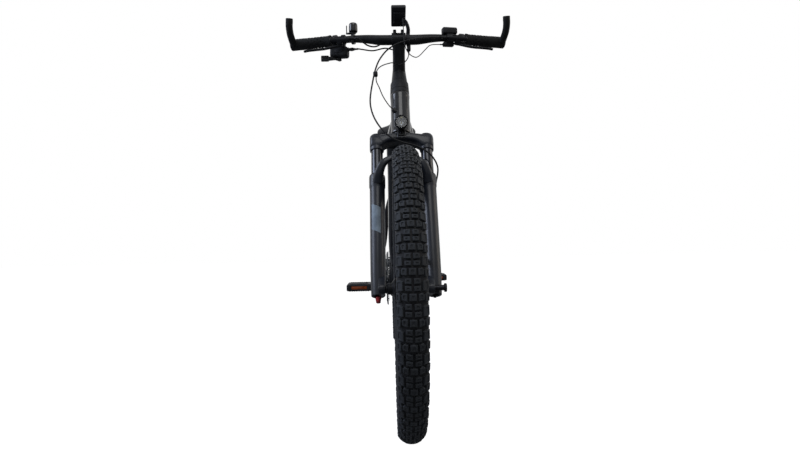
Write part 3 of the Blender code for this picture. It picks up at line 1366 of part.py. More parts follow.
def trigger(name, level, outline, pad):
    """A thumb trigger: a flat arm on the shifter's pin, with a raised pad at its end."""
    pivot = bar_frame(-SHIFTER_PLACE) @ Vector((-0.016, 0.010, SHIFTER_FLOOR))
    pivot = Vector((pivot.x, pivot.y, pivot.z - GAP - (level + 0.5) * TRIGGER_THICKNESS - level * GAP))
    holder = empty(name + "_line", FRAMES["bar_line"] @ Matrix.Translation(pivot), "bar_line")
    arm = plate([ribbon(outline), circle(0.003 + 2 * GAP, 8)], TRIGGER_THICKNESS)
    size, at = pad
    return place(fuse(arm, box(size, at, bevel=0.0015)), name, PLASTIC, holder)


trigger("shift_lever", 0, [(0.006, 0.0, 0.0050), (0.0, 0.0, 0.0075), (-0.018, 0.004, 0.0060),
                           (-0.040, 0.010, 0.0060), (-0.060, 0.016, 0.0055)],
        ((0.026, 0.007, 0.020), (-0.050, 0.021, 0.0082)))
trigger("release_lever", 1, [(0.006, 0.0, 0.0050), (0.0, 0.0, 0.0075), (-0.014, -0.010, 0.0050),
                             (-0.026, -0.020, 0.0045)],
        ((0.014, 0.005, 0.009), (-0.027, -0.0235, -0.0010)))

# Left remote for the assist, with its rocker
REMOTE_PLACE = 0.166
ROCKER_SIZE = (0.020, 0.0045, 0.014)


def remote():
    bar = bar_frame(REMOTE_PLACE)
    ring = bar_ring(bar, 0.012, 0.0165)
    flat = bar.to_3x3().to_4x4()
    wedge = box((0.050, 0.022, 0.022), bar @ Vector((0, -0.003, 0.0225)), flat, 0.005)
    under = box((0.036, 0.016, 0.014), bar @ Vector((-0.004, 0.003, -0.0190)), flat, 0.003)
    pocket = box((ROCKER_SIZE[0] + 2 * GAP, 0.010, ROCKER_SIZE[2] + 2 * GAP),
                 bar @ Vector((0, 0.0095, 0.0235)), flat)
    return cut(fuse(ring, wedge, under), pocket, bar_bore(REMOTE_PLACE, bar, 0.012))


place(remote(), "remote", PLASTIC, "bar_line")


def remote_rocker():
    frame = bar_frame(REMOTE_PLACE) @ Matrix.Translation((0, 0.0078, 0.0235))
    holder = empty("remote_rocker_line", FRAMES["bar_line"] @ frame, "bar_line")
    return place(box(ROCKER_SIZE, (0, 0, 0), bevel=0.0008), "remote_rocker", SOFT_RUBBER, holder)


remote_rocker()

# Display on its arm, over the bar clamp
DISPLAY_SIZE = (0.046, 0.078, 0.014)
DISPLAY_TILT = Matrix.Rotation(-math.radians(26), 4, "X")
DISPLAY_CENTRE = Vector((0.0, -0.022, 0.069))
ARM_PLACE = 0.0300


def display_arm():
    """A ring beside the stem clamp with its plug below, and the arm up to the tray of the display."""
    bar = bar_frame(ARM_PLACE)
    ring = bar_ring(bar, 0.0050, 0.0205)
    tray_centre = DISPLAY_CENTRE + DISPLAY_TILT @ Vector((0.002, 0, -DISPLAY_SIZE[2] / 2 - GAP - 0.0025))
    tray = box((0.034, 0.044, 0.005), tray_centre, DISPLAY_TILT)
    arm = tube([(ARM_PLACE, -0.004, 0.016), (ARM_PLACE, -0.016, 0.032), (ARM_PLACE - 0.006, -0.022, 0.048),
                tray_centre + DISPLAY_TILT @ Vector((0.008, 0.004, -0.0030))], 0.0060, 2)
    plug = box((0.012, 0.016, 0.022), bar @ Vector((0.002, 0.002, -0.0250)), bevel=0.003)
    return cut(fuse(ring, tray, arm, plug), bar_bore(ARM_PLACE, bar, 0.0050))


place(display_arm(), "display_arm", PLASTIC, "bar_line")
place(box(DISPLAY_SIZE, DISPLAY_CENTRE, DISPLAY_TILT, 0.0025), "display", SCREEN, "bar_line")

# Bell on the right side, with its striker
BELL_PLACE = 0.146
BELL_RADIUS = 0.0140


def bell():
    bar = bar_frame(-BELL_PLACE)
    centre = bar @ Vector((0, 0, 0))
    ring = bar_ring(bar, 0.005, 0.0165)
    dome = turned("dome", [(0.0, 0.0525), (BELL_RADIUS - 0.0050, 0.0520), (BELL_RADIUS - 0.0005, 0.0490),
                           (BELL_RADIUS, 0.0250), (BELL_RADIUS - 0.0015, 0.0225), (0.0, 0.0225)], 14)
    dome.data.transform(Matrix.Translation(centre))
    neck = cylinder(centre + Vector((0, 0, 0.0130)), centre + Vector((0, 0, 0.0300)), 0.0055, 10)
    return cut(fuse(ring, neck, dome), bar_bore(BELL_PLACE, bar, 0.005))


place(bell(), "bell", PLASTIC, "bar_line")


def bell_striker():
    """A sprung arm round the bell's neck, with the thumb tab that stands beside the dome."""
    pivot = bar_frame(-BELL_PLACE).translation + Vector((0, 0, 0.0198))
    holder = empty("bell_striker_line", FRAMES["bar_line"] @ Matrix.Translation(pivot), "bar_line")
    arm = plate([hull_outline([(0, 0, 0.0090), (-0.0200, 0.004, 0.0040)], 12),
                 circle(0.0062, 10)], 0.0036)
    tab = box((0.003, 0.007, 0.0278), (-0.0215, 0.004, 0.0121))
    return place(fuse(arm, tab), "bell_striker", PLASTIC, holder)


bell_striker()


# Headlight on the crown's front face
def headlight():
    """A turned lamp housing that tapers back, on a bracket bolted to the crown."""
    profile = [(0.0, 0.0185), (0.0185, 0.0185), (0.0210, 0.0160), (0.0210, 0.0050), (0.0165, -0.0130),
               (0.0080, -0.0185), (0.0, -0.0185)]
    lamp = turned("lamp", profile, 18)
    forward = Matrix.Rotation(HEAD_ANGLE, 4, "X")
    lamp.data.transform(Matrix.Translation((0, -0.0600, 0.0160)) @ forward)
    foot = box((0.022, 0.004, 0.026), (0, -0.0460 - GAP - 0.002, -0.0080))
    neck = box((0.014, 0.016, 0.010), (0, -0.0540, 0.0010))
    return fuse(lamp, foot, neck)


place(headlight(), "headlight", LAMP, "steering")

# Fork lowers: both legs bored for the stanchions, the arch, the dropouts and the brake mount
AXLE_IN_STEER = Vector((0.0, -FORK_OFFSET, -FORK_REACH))
LEG_FOOT = -FORK_REACH - 0.012
CALIPER_SLOT = 0.0046
FRONT_CALIPER = Vector((0.0, 0.0240, AXLE_IN_STEER.z + 0.0430))


def steer_plate(circles, x, thickness, sides=12):
    return plate([hull_outline(circles, sides)], thickness, side_frame(x))


def fork_lowers():
    half = LEG_SPACING / 2
    collar = LEG_TOP - 0.035
    pieces = []
    bores = []
    for side in (RIGHT, LEFT):
        middle = Vector((side * half, -LEG_SETBACK, 0))
        leg = turned("leg", [(0.0, LEG_TOP), (LEG_RADIUS + 0.0018, LEG_TOP), (LEG_RADIUS + 0.0018, collar),
                             (LEG_RADIUS, collar - 0.004), (LEG_RADIUS - 0.001, LEG_FOOT + 0.080),
                             (LEG_RADIUS - 0.003, LEG_FOOT), (0.0, LEG_FOOT)], FORK_SIDES)
        leg.data.transform(Matrix.Translation(middle))
        pieces.append(leg)
        bores.append(cylinder(middle + Vector((0, 0, LEG_TOP + 0.02)), middle + Vector((0, 0, -0.350)),
                              clear_bore(STANCHION_RADIUS, FORK_SIDES), FORK_SIDES))
        inside = FRONT_HUB_WIDTH / 2 + GAP
        pieces.append(steer_plate([(AXLE_IN_STEER.y, AXLE_IN_STEER.z, 0.0150), (-0.020, -0.452, 0.010),
                                   (-0.012, LEG_FOOT + 0.012, 0.010)], side * (inside + 0.0085), 0.017))
    arch = [(-half + 0.002, -0.030, -0.166), (-0.067, -0.0500, -0.142), (-0.052, -0.0615, -0.119),
            (-0.028, -0.0615, -0.1045), (0.0, -0.0615, -0.1015)]
    arch += [(-x, y, z) for x, y, z in arch[-2::-1]]
    widths = [1.9, 1.6, 1.2, 1.0]
    pieces.append(tube(arch, 0.0085, 2, widths + [1.0] + widths[::-1]))
    mount = [(y, AXLE_IN_STEER.z + z, radius) for y, z, radius in
             ((-0.014, 0.100, 0.010), (0.022, 0.072, 0.0075), (0.034, 0.032, 0.0075), (-0.014, 0.020, 0.010))]
    pieces.append(steer_plate(mount, 0.0690, 0.0080))
    axle = cylinder(AXLE_IN_STEER - Vector((0.12, 0, 0)), AXLE_IN_STEER + Vector((0.12, 0, 0)),
                    clear_bore(FRONT_AXLE_RADIUS, 12), 12)
    return cut(fuse(pieces[0], *pieces[1:]), axle, *bores)


place(fork_lowers(), "fork_lowers", FORK_PAINT, "fork_slide")


def axle(name, start, end, radius, head):
    """A through axle with its flanged head on the left."""
    rod = cylinder(start, Vector(end) + Vector((0.004, 0, 0)), radius, 12)
    flange = cylinder(end, Vector(end) + Vector((0.007, 0, 0)), head, 12)
    return place(fuse(rod, flange), name, STEEL, "fork_slide" if name.startswith("front") else None)


FRONT_AXLE_END = LEG_SPACING / 2 + LEG_RADIUS + 0.0006
axle("front_axle", AXLE_IN_STEER - Vector((0.0740, 0, 0)), AXLE_IN_STEER + Vector((FRONT_AXLE_END, 0, 0)),
     FRONT_AXLE_RADIUS, 0.0115)
REAR_AXLE_END = REAR_HUB_WIDTH / 2 + DROPOUT_THICKNESS + GAP
axle("rear_axle", REAR_AXLE - Vector((REAR_AXLE_END - 0.002, 0, 0)),
     REAR_AXLE + Vector((REAR_AXLE_END, 0, 0)), REAR_AXLE_RADIUS, 0.0100)


def rebound_knob():
    centre = Vector((-LEG_SPACING / 2, -LEG_SETBACK, LEG_FOOT - GAP))
    holder = empty("rebound_line", STEER_FRAME @ Matrix.Translation(centre), "fork_slide")
    knob = turned("knob", [(0.0, 0.0), (0.0075, 0.0), (0.0080, -0.004), (0.0060, -0.016), (0.0, -0.017)], 12)
    return place(knob, "rebound_knob", RED, holder)


rebound_knob()


def caliper(centre, wheel, slot_x, inside, outside, tilt):
    """A brake caliper with a slot for the rotor, with its bolt ears at both ends."""
    middle = Vector(((inside + outside) / 2, centre.y, centre.z))
    turn = Matrix.Rotation(tilt, 4, "X")
    body = box((outside - inside, 0.028, 0.040), middle, turn, 0.004)
    ears = box((0.012, 0.016, 0.058), (outside - 0.006, centre.y, centre.z), turn, 0.002)
    slot = cylinder(Vector((slot_x - CALIPER_SLOT / 2, wheel.y, wheel.z)),
                    Vector((slot_x + CALIPER_SLOT / 2, wheel.y, wheel.z)), ROTOR_RADIUS + 0.003, 36)
    return cut(fuse(body, ears), slot)


front_caliper = caliper(FRONT_CALIPER, AXLE_IN_STEER, FRONT_ROTOR + GAP + ROTOR_THICKNESS / 2, 0.0300,
                        0.0690 - 0.0040 - GAP, math.radians(-34))
place(front_caliper, "front_caliper", SATIN_BLACK, "fork_slide")
REAR_CALIPER = REAR_AXLE + Vector((0.0, -0.0690, 0.0400))
CALIPER_TAB_X = DROPOUT_MIDDLE - DROPOUT_THICKNESS / 2 - GAP
rear_caliper = caliper(REAR_CALIPER, REAR_AXLE, REAR_ROTOR + GAP + ROTOR_THICKNESS / 2, 0.0440,
                       CALIPER_TAB_X, math.radians(40))
TAIL_ROUTE = [REAR_CALIPER + Vector(p) for p in ((0.0670, -0.004, 0.010), (0.0680, -0.030, 0.016),
                                                 (0.0660, -0.055, 0.004))]
tail = tube(smooth_route(TAIL_ROUTE + stay_port_run(LEFT)[1:], 2), 0.0024, 1)
place(fuse(rear_caliper, tail), "rear_caliper", SATIN_BLACK)

# Derailleur: knuckle on the hanger, sprung parallelogram link, body, cage and two pulleys
HANGER = Vector((-(REAR_HUB_WIDTH / 2 + DROPOUT_THICKNESS), REAR_AXLE.y + 0.010, REAR_AXLE.z - 0.028))
LINK_TOP = Vector((-0.0900, REAR_AXLE.y + 0.036, REAR_AXLE.z - 0.048))
LINK_FOOT = Vector((-0.0900, REAR_AXLE.y + 0.012, REAR_AXLE.z - 0.082))
LINK_DOWN = (LINK_FOOT - LINK_TOP).normalized()
LINK_AXIS = Vector((1, 0, 0)).cross(LINK_DOWN)
LINK_FRAME = axes_frame(LINK_TOP, Vector((1, 0, 0)), LINK_DOWN, LINK_AXIS)
FOOT_FRAME = axes_frame(LINK_FOOT, Vector((1, 0, 0)), LINK_DOWN, LINK_AXIS)
LINK_LENGTH = (LINK_FOOT - LINK_TOP).length
LINK_HALF = 0.0070
LINK_PIN = 0.0022
EAR_THICKNESS = 0.0040
EAR_BACK = -LINK_HALF - GAP - EAR_THICKNESS - 0.0012
CAGE_PLATE = 0.0018
CAGE_INSIDE = 0.0046


def link_ear(frame):
    """The ear and pin that the link turns on, beside the link's own end."""
    ear = cylinder((0, 0, -LINK_HALF - GAP), (0, 0, -LINK_HALF - GAP - EAR_THICKNESS), 0.0068, 12)
    pin = cylinder((0, 0, -LINK_HALF - GAP - 0.002), (0, 0, LINK_HALF + 0.0008), LINK_PIN, 8)
    ear.data.transform(frame)
    pin.data.transform(frame)
    return [ear, pin]


def derailleur_knuckle():
    barrel = cylinder(HANGER + Vector((-GAP, 0, 0)), HANGER + Vector((-0.017, 0, 0)), 0.0115, 14)
    arm = tube([HANGER + Vector((-0.0085, 0.002, 0)), LINK_FRAME @ Vector((0, 0, EAR_BACK + 0.0035))],
               0.0050, 2)
    loop = [HANGER + Vector(p) for p in ((-0.010, 0.006, 0.004), (-0.013, 0.034, 0.022),
                                         (-0.013, 0.036, 0.056), (-0.010, 0.004, 0.084),
                                         (0.001, -0.050, 0.074))]
    housing = tube(smooth_route(loop + stay_port_run(RIGHT), 2), 0.0024, 1)
    return fuse(barrel, arm, housing, *link_ear(LINK_FRAME))


place(derailleur_knuckle(), "derailleur_knuckle", SATIN_BLACK)


def derailleur_link():
    holder = empty("derailleur_link_line", LINK_FRAME)
    arm = plate([hull_outline([(0, 0, 0.0062), (0, LINK_LENGTH, 0.0062)], 14), circle(LINK_PIN + 2 * GAP, 8),
                 circle(LINK_PIN + 2 * GAP, 8, (0, LINK_LENGTH))], 2 * LINK_HALF)
    return place(arm, "derailleur_link", SATIN_BLACK, holder)


derailleur_link()
GUIDE_PLACE = Vector((-CHAIN_LINE, GUIDE_PULLEY.x, GUIDE_PULLEY.y))
LOWER_PLACE = Vector((-CHAIN_LINE, TENSION_PULLEY.x, TENSION_PULLEY.y))
BODY_START = -CHAIN_LINE - CAGE_INSIDE - CAGE_PLATE - 2 * GAP
STUB_RADIUS = 0.0050


def derailleur_body():
    holder = empty("derailleur_body_line", FOOT_FRAME, "derailleur_link_line")
    barrel = cylinder((BODY_START, GUIDE_PLACE.y, GUIDE_PLACE.z), (-0.0780, GUIDE_PLACE.y, GUIDE_PLACE.z),
                      0.0120, 14)
    arm = tube([Vector((-0.070, GUIDE_PLACE.y, GUIDE_PLACE.z)), FOOT_FRAME @ Vector((0.014, 0, EAR_BACK)),
                FOOT_FRAME @ Vector((0, 0, EAR_BACK))], 0.0048, 2)
    bore = cylinder((BODY_START + 0.01, GUIDE_PLACE.y, GUIDE_PLACE.z),
                    (BODY_START - 0.0085, GUIDE_PLACE.y, GUIDE_PLACE.z), STUB_RADIUS + 2 * GAP, 12)
    body = cut(fuse(barrel, arm, *link_ear(FOOT_FRAME)), bore)
    body.data.transform(FOOT_FRAME.inverted())
    return place(body, "derailleur_body", SATIN_BLACK, holder)


derailleur_body()


def derailleur_cage():
    """Two plates on the pulleys' bolts, with the stub that turns in the derailleur body."""
    holder = empty("derailleur_cage_line", turned_frame(GUIDE_PLACE), "derailleur_body_line")
    local = FRAMES[holder].inverted()
    lower = local @ LOWER_PLACE
    pieces = []
    for side in (-1, 1):
        middle = side * (CAGE_INSIDE + CAGE_PLATE / 2)
        outline = hull_outline([(0, 0, 0.0125), (lower.x, lower.y, 0.0110)], 14)
        waist = hull_outline([(lower.x * 0.35, lower.y * 0.35, 0.0055),
                              (lower.x * 0.66, lower.y * 0.66, 0.0050)], 10)
        pieces.append(plate([outline, waist], CAGE_PLATE, Matrix.Translation((0, 0, middle))))
    reach = CAGE_INSIDE + CAGE_PLATE / 2
    for x, y in ((0.0, 0.0), (lower.x, lower.y)):
        pieces.append(cylinder((x, y, -reach), (x, y, reach), 0.0028, 8))
    pieces.append(cylinder((0, 0, -reach), (0, 0, -reach - 0.0075), STUB_RADIUS, 12))
    return place(fuse(pieces[0], *pieces[1:]), "derailleur_cage", SATIN_BLACK, holder)


derailleur_cage()


def pulley(name, centre):
    holder = empty(name + "_line", turned_frame(centre), "derailleur_cage_line")
    phase = wheel_phase(Vector((centre.y, centre.z)), PULLEY_TEETH)
    wheel = plate([toothed_outline(PULLEY_TEETH, phase), circle(0.0028 + 2 * GAP, 8)], 0.0020)
    return place(wheel, name, PLASTIC, holder)


pulley("upper_pulley", GUIDE_PLACE)
pulley("lower_pulley", LOWER_PLACE)


# Hoses and cables between the bar, the head tube and the brake
def hose(name, points, radius):
    """A hose along world points, held by the steering's own frame."""
    body = tube(smooth_route(points, 2), radius, 1)
    body.data.transform(FRAMES["steering"].inverted())
    return place(body, name, HOSE, "steering")


def bar_place(x, at):
    """A world point given in the bar's own frame at x."""
    return FRAMES["bar_line"] @ (bar_frame(x) @ Vector(at))


def port_run(mouth, out):
    """The last points of a cable that goes into a port of the head tube or of the headset cover."""
    return [STEER_FRAME @ (mouth + out * step) for step in (0.016, 0.002, -0.0065)]


def behind_stem(points):
    """World points given across, behind and along the steering axis."""
    return [STEER_FRAME @ Vector(p) for p in points]


LEFT_OUTLET = [bar_place(BRAKE_PLACE, (-0.070 - GAP - step, -0.028, -0.010)) for step in (0.0, 0.012)]
RIGHT_OUTLET = [bar_place(-BRAKE_PLACE, (0.070 + GAP + step, -0.028, -0.010)) for step in (0.0, 0.012)]
SHIFT_OUTLET = [bar_place(-SHIFTER_PLACE, (0.036 + GAP + step, 0.008, -0.030)) for step in (0.0, 0.012)]

def below_bar(points):
    """World points given from the crown race, which the bar and the head tube stand on."""
    return [CROWN_RACE + Vector(p) for p in points]


FRONT_HOSE = below_bar([
    (0.0600, 0.0120, 0.3151), (0.0000, 0.0020, 0.2971), (-0.0365, -0.0020, 0.2751),
    (-0.0611, -0.0100, 0.2426), (-0.0732, -0.0220, 0.2114), (-0.0821, -0.0350, 0.1713),
    (-0.0911, -0.0500, 0.1045), (-0.0852, -0.0580, 0.0671), (-0.0676, -0.0680, 0.0296),
    (-0.0386, -0.0780, -0.0045), (-0.0050, -0.0840, -0.0229), (0.0400, -0.0860, -0.0369),
    (0.0800, -0.0840, -0.0609), (0.1020, -0.0740, -0.0969), (0.0980, -0.0560, -0.1419),
    (0.0850, -0.0670, -0.1919)])
BESIDE_CALIPER = [STEER_FRAME @ FRONT_CALIPER + Vector(p) for p in
                  ((0.0800, 0.0445, 0.1208), (0.0700, 0.0235, 0.0588), (0.0560, 0.0160, 0.0328))]
hose("front_brake_hose", LEFT_OUTLET + FRONT_HOSE + BESIDE_CALIPER, 0.0024)
REAR_HOSE = below_bar([
    (-0.1000, 0.0690, 0.3150), (-0.0750, 0.0900, 0.3180), (-0.0500, 0.1010, 0.3330), (-0.0220, 0.1030, 0.3400)])
REAR_HOSE += behind_stem([
    (-0.0060, -0.0050, 0.3480), (-0.0125, 0.0250, 0.3230), (-0.0130, 0.0420, 0.2800),
    (-0.0105, 0.0450, 0.2400)])
hose("rear_brake_hose", RIGHT_OUTLET + REAR_HOSE + port_run(cover_port(-0.0085), COVER_PORT_OUT), 0.0024)
SHIFT_ROUTE = below_bar([(-0.0850, 0.0940, 0.3060), (-0.0400, 0.0990, 0.3150)]) + behind_stem([
    (0.0030, -0.0150, 0.3230), (0.0125, 0.0150, 0.3030), (0.0135, 0.0360, 0.2700), (0.0110, 0.0430, 0.2350)])
hose("shift_housing", SHIFT_OUTLET + SHIFT_ROUTE + port_run(cover_port(0.0085), COVER_PORT_OUT), 0.0022)
DISPLAY_OUTLET = [bar_place(ARM_PLACE, (0.002, 0.002, -0.036 - GAP - step)) for step in (0.0, 0.008)]
DISPLAY_ROUTE = below_bar([
    (0.0270, 0.0690, 0.2700), (0.0150, 0.0660, 0.2560), (0.0000, 0.0640, 0.2490),
    (-0.0200, 0.0560, 0.2530), (-0.0365, 0.0440, 0.2465), (-0.0505, 0.0310, 0.2380),
    (-0.0620, 0.0160, 0.2267), (-0.0690, -0.0010, 0.2130), (-0.0715, -0.0180, 0.1980),
    (-0.0725, -0.0150, 0.1750), (-0.0645, -0.0090, 0.1570), (-0.0530, -0.0020, 0.1304)])
hose("display_cable", DISPLAY_OUTLET + DISPLAY_ROUTE + port_run(PORT_MOUTH, PORT_OUT), 0.0016)
REMOTE_OUTLET = [bar_place(REMOTE_PLACE, (-0.0224, 0.003, -0.0200)),
                 bar_place(REMOTE_PLACE, (-0.0360, 0.001, -0.0210))]
REMOTE_ROUTE = below_bar([
    (0.1000, 0.0650, 0.3111), (0.0839, 0.0600, 0.2952), (0.0640, 0.0500, 0.2726),
    (0.0509, 0.0400, 0.2645), (0.0318, 0.0300, 0.2719), (0.0194, 0.0250, 0.2920),
    (0.0150, 0.0280, 0.3331), (0.0140, 0.0320, 0.3731), (0.0130, 0.0330, 0.3876)])
hose("remote_cable", REMOTE_OUTLET + REMOTE_ROUTE, 0.0014)
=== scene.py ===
import json
from math import asin, atan2, copysign, cos, exp, pi, radians, sin, sqrt

import bmesh
import bpy
from mathutils import Matrix, Vector


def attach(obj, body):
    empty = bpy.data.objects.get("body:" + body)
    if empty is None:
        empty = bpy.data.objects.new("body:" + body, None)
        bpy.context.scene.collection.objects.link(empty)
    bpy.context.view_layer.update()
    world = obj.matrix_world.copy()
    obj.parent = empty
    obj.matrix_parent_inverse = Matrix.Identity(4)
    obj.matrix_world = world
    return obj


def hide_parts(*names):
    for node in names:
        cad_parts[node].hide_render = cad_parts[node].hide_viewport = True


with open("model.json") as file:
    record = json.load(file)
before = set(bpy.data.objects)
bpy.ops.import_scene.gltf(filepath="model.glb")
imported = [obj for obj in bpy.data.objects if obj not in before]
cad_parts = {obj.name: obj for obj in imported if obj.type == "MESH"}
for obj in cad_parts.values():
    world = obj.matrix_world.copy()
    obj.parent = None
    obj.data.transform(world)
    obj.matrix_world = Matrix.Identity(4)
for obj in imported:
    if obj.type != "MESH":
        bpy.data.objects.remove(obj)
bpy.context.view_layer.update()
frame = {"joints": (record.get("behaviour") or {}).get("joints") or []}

# Frame tubes: hydroformed aluminium, welded, then powder coated black under a gloss clear coat. The
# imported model's joints give the axles, the steering line and the seat line.
JOINTS = {joint["name"]: joint for joint in frame["joints"]}
MM = 0.001


def joint_place(name):
    return Vector(JOINTS[name]["pos_m"]) / MM


CROWN_RACE = joint_place("steering_turn")
STEER_UP = Vector(JOINTS["steering_turn"]["axis"])
FRONT_AXLE = joint_place("front_wheel_spin")
REAR_AXLE = joint_place("rear_wheel_spin")
BRACKET = joint_place("crank_spin")
SEAT_UP = Vector(JOINTS["seatpost_slide"]["axis"])
ACROSS, BACK, UP = Vector((1, 0, 0)), Vector((0, 1, 0)), Vector((0, 0, 1))
STEER_BACK = STEER_UP.cross(ACROSS)
SEAT_BACK = SEAT_UP.cross(ACROSS)
placed = Matrix.Translation


def spun(degrees, axis):
    return Matrix.Rotation(radians(degrees), 4, axis)


def facing(way):
    """A frame whose Z looks along a way."""
    return way.to_track_quat("Z", "Y").to_matrix().to_4x4()


def matrix_of(place, x_axis, y_axis, z_axis):
    return placed(place) @ Matrix((x_axis, y_axis, z_axis)).transposed().to_4x4()


STEER = matrix_of(CROWN_RACE, ACROSS, STEER_BACK, STEER_UP)
SEAT = matrix_of(BRACKET, ACROSS, SEAT_BACK, SEAT_UP)


def linear(code):
    """An sRGB hex colour as the linear values that Blender's sockets take."""
    values = [int(code[k:k + 2], 16) / 255 for k in (1, 3, 5)]
    return (*[v / 12.92 if v <= 0.04045 else ((v + 0.055) / 1.055) ** 2.4 for v in values], 1.0)


def add(mat, kind, inputs=None, **settings):
    """Adds a shader node. An input takes a value, or another node's output to link to it."""
    made = mat.node_tree.nodes.new("ShaderNode" + kind)
    for name, value in settings.items():
        setattr(made, name, value)
    for name, value in (inputs or {}).items():
        if isinstance(value, bpy.types.NodeSocket):
            mat.node_tree.links.new(value, made.inputs[name])
        else:
            made.inputs[name].default_value = value
    return made


def new_material(name, uniform):
    """A material, with the values of its shader that are the same all over."""
    mat = bpy.data.materials.new(name)
    mat.use_nodes = True
    for socket, value in uniform.items():
        mat.node_tree.nodes["Principled BSDF"].inputs[socket].default_value = value
    return mat


def feed(mat, socket, output):
    """Links a node's output to an input of the material's shader."""
    mat.node_tree.links.new(output, mat.node_tree.nodes["Principled BSDF"].inputs[socket])


def mottled(name, dark, light, roughness, patch, grain, depth, uniform=None):
    """A finish whose colour and roughness drift in patches, with a fine grain. Sizes are in mm."""
    mat = new_material(name, {"Specular IOR Level": 0.1, **(uniform or {})})
    place = add(mat, "TexCoord").outputs["Object"]
    drift = add(mat, "TexNoise", {"Vector": place, "Scale": 1000 / patch, "Detail": 5.0, "Roughness": 0.6})
    tone = add(mat, "ValToRGB", {"Fac": drift.outputs["Fac"]})
    for k, position, code in ((0, 0.35, dark), (1, 0.68, light)):
        tone.color_ramp.elements[k].position = position
        tone.color_ramp.elements[k].color = linear(code)
    feed(mat, "Base Color", tone.outputs["Color"])
    wear = add(mat, "MapRange", {"Value": drift.outputs["Fac"], "From Min": 0.3, "From Max": 0.7,
                                 "To Min": roughness[0], "To Max": roughness[1]})
    feed(mat, "Roughness", wear.outputs["Result"])
    fine = add(mat, "TexNoise", {"Vector": place, "Scale": 1000 / grain, "Detail": 2.0})
    bump = add(mat, "Bump", {"Height": fine.outputs["Fac"], "Strength": 0.6, "Distance": depth * MM})
    feed(mat, "Normal", bump.outputs["Normal"])
    return mat


# Powder coat is wet-looking black with a faint blue cast and a slight orange peel about 2 mm across,
# and fine road dust dulls it in patches.
powder_coat = mottled("gloss_black_powder_coat", "#07090d", "#0f1217", (0.24, 0.36), 90, 2.2, 0.02,
                      {"Coat Weight": 0.3, "Coat Roughness": 0.06, "Specular IOR Level": 0.12})
COATED = ("frame_paint", powder_coat)


def deselect():
    if bpy.context.object and bpy.context.object.mode != "OBJECT":
        bpy.ops.object.mode_set(mode="OBJECT")
    bpy.ops.object.select_all(action="DESELECT")


def pick(*objs):
    deselect()
    for obj in objs:
        obj.select_set(True)
    bpy.context.view_layer.objects.active = objs[0]
    return objs[0]


def joined(*objs):
    """Several shells as one piece, such as a casting with its bosses."""
    first = pick(*objs)
    if len(objs) > 1:
        bpy.ops.object.join()
    return first


def settled(obj):
    """Puts an object's place in its mesh."""
    pick(obj)
    bpy.ops.object.transform_apply(location=True, rotation=True, scale=True)
    return obj


def finish(obj, name, body, slot, mat, replaces=(), angle=38):
    """Names a piece or a list of shells, shades it, gives it its finish and lets it ride on its body."""
    obj = settled(joined(*obj) if isinstance(obj, list) else obj)
    obj.data.transform(Matrix.Scale(MM, 4))
    obj.name = name
    obj.data.name = name
    obj.data.materials.clear()
    obj.data.materials.append(mat)
    bpy.ops.object.shade_smooth_by_angle(angle=radians(angle))
    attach(obj, body)
    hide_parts(*replaces)
    return obj


def apply_modifier(obj, kind, **settings):
    pick(obj)
    step = obj.modifiers.new(kind.lower(), kind)
    for name, value in settings.items():
        setattr(step, name, value)
    bpy.ops.object.modifier_apply(modifier=step.name)
    return obj


def cut(obj, *cutters):
    for cutter in cutters:
        apply_modifier(obj, "BOOLEAN", operation="DIFFERENCE", solver="EXACT", use_self=True, object=cutter)
        bpy.data.objects.remove(cutter, do_unlink=True)
    return obj


def edged(obj, width, segments=2, limit=35):
    """Breaks the sharp edges of a piece, as its mould or its tumbling does."""
    return apply_modifier(obj, "BEVEL", width=width, segments=segments, limit_method="ANGLE",
                          angle_limit=radians(limit), use_clamp_overlap=True)


def smooth_points(points, steps):
    """Points on one smooth curve through the given ones, which never swings wide of a short run."""
    points = [Vector(p) for p in points]
    ends = [2 * points[0] - points[1]] + points + [2 * points[-1] - points[-2]]
    route = []
    for a, b, c, d in zip(ends, ends[1:], ends[2:], ends[3:]):
        before, here, after = (sqrt((q - p).length) for p, q in ((a, b), (b, c), (c, d)))
        for k in range(steps):
            t = k / steps
            first = a.lerp(b, 1 + t * here / before)
            middle = b.lerp(c, t)
            last = c.lerp(d, (t - 1) * here / after)
            low = first.lerp(middle, (before + t * here) / (before + here))
            high = middle.lerp(last, t * here / (here + after))
            route.append(low.lerp(high, t))
    route.append(points[-1])
    return route


def new_object(data):
    obj = bpy.data.objects.new("piece", data)
    bpy.context.scene.collection.objects.link(obj)
    return obj


def mesh_piece(bm):
    bmesh.ops.recalc_face_normals(bm, faces=bm.faces)
    mesh = bpy.data.meshes.new("piece")
    bm.to_mesh(mesh)
    bm.free()
    return new_object(mesh)


def walls(bm, low, high):
    """Faces between two closed loops of as many points."""
    for k in range(len(low)):
        after = (k + 1) % len(low)
        bm.faces.new((low[k], low[after], high[after], high[k]))


def skin(rings):
    """A closed skin over rings of points."""
    bm = bmesh.new()
    loops = [[bm.verts.new(point) for point in ring] for ring in rings]
    for low, high in zip(loops, loops[1:]):
        walls(bm, low, high)
    bm.faces.new(loops[0])
    bm.faces.new(loops[-1])
    return mesh_piece(bm)


def rounded(sides, square):
    """A unit outline that is a circle at 2 and nears a square above it."""
    for n in range(sides):
        angle = 2 * pi * (n + 0.5) / sides
        c, s = cos(angle), sin(angle)
        yield copysign(abs(c) ** (2 / square), c), copysign(abs(s) ** (2 / square), s)


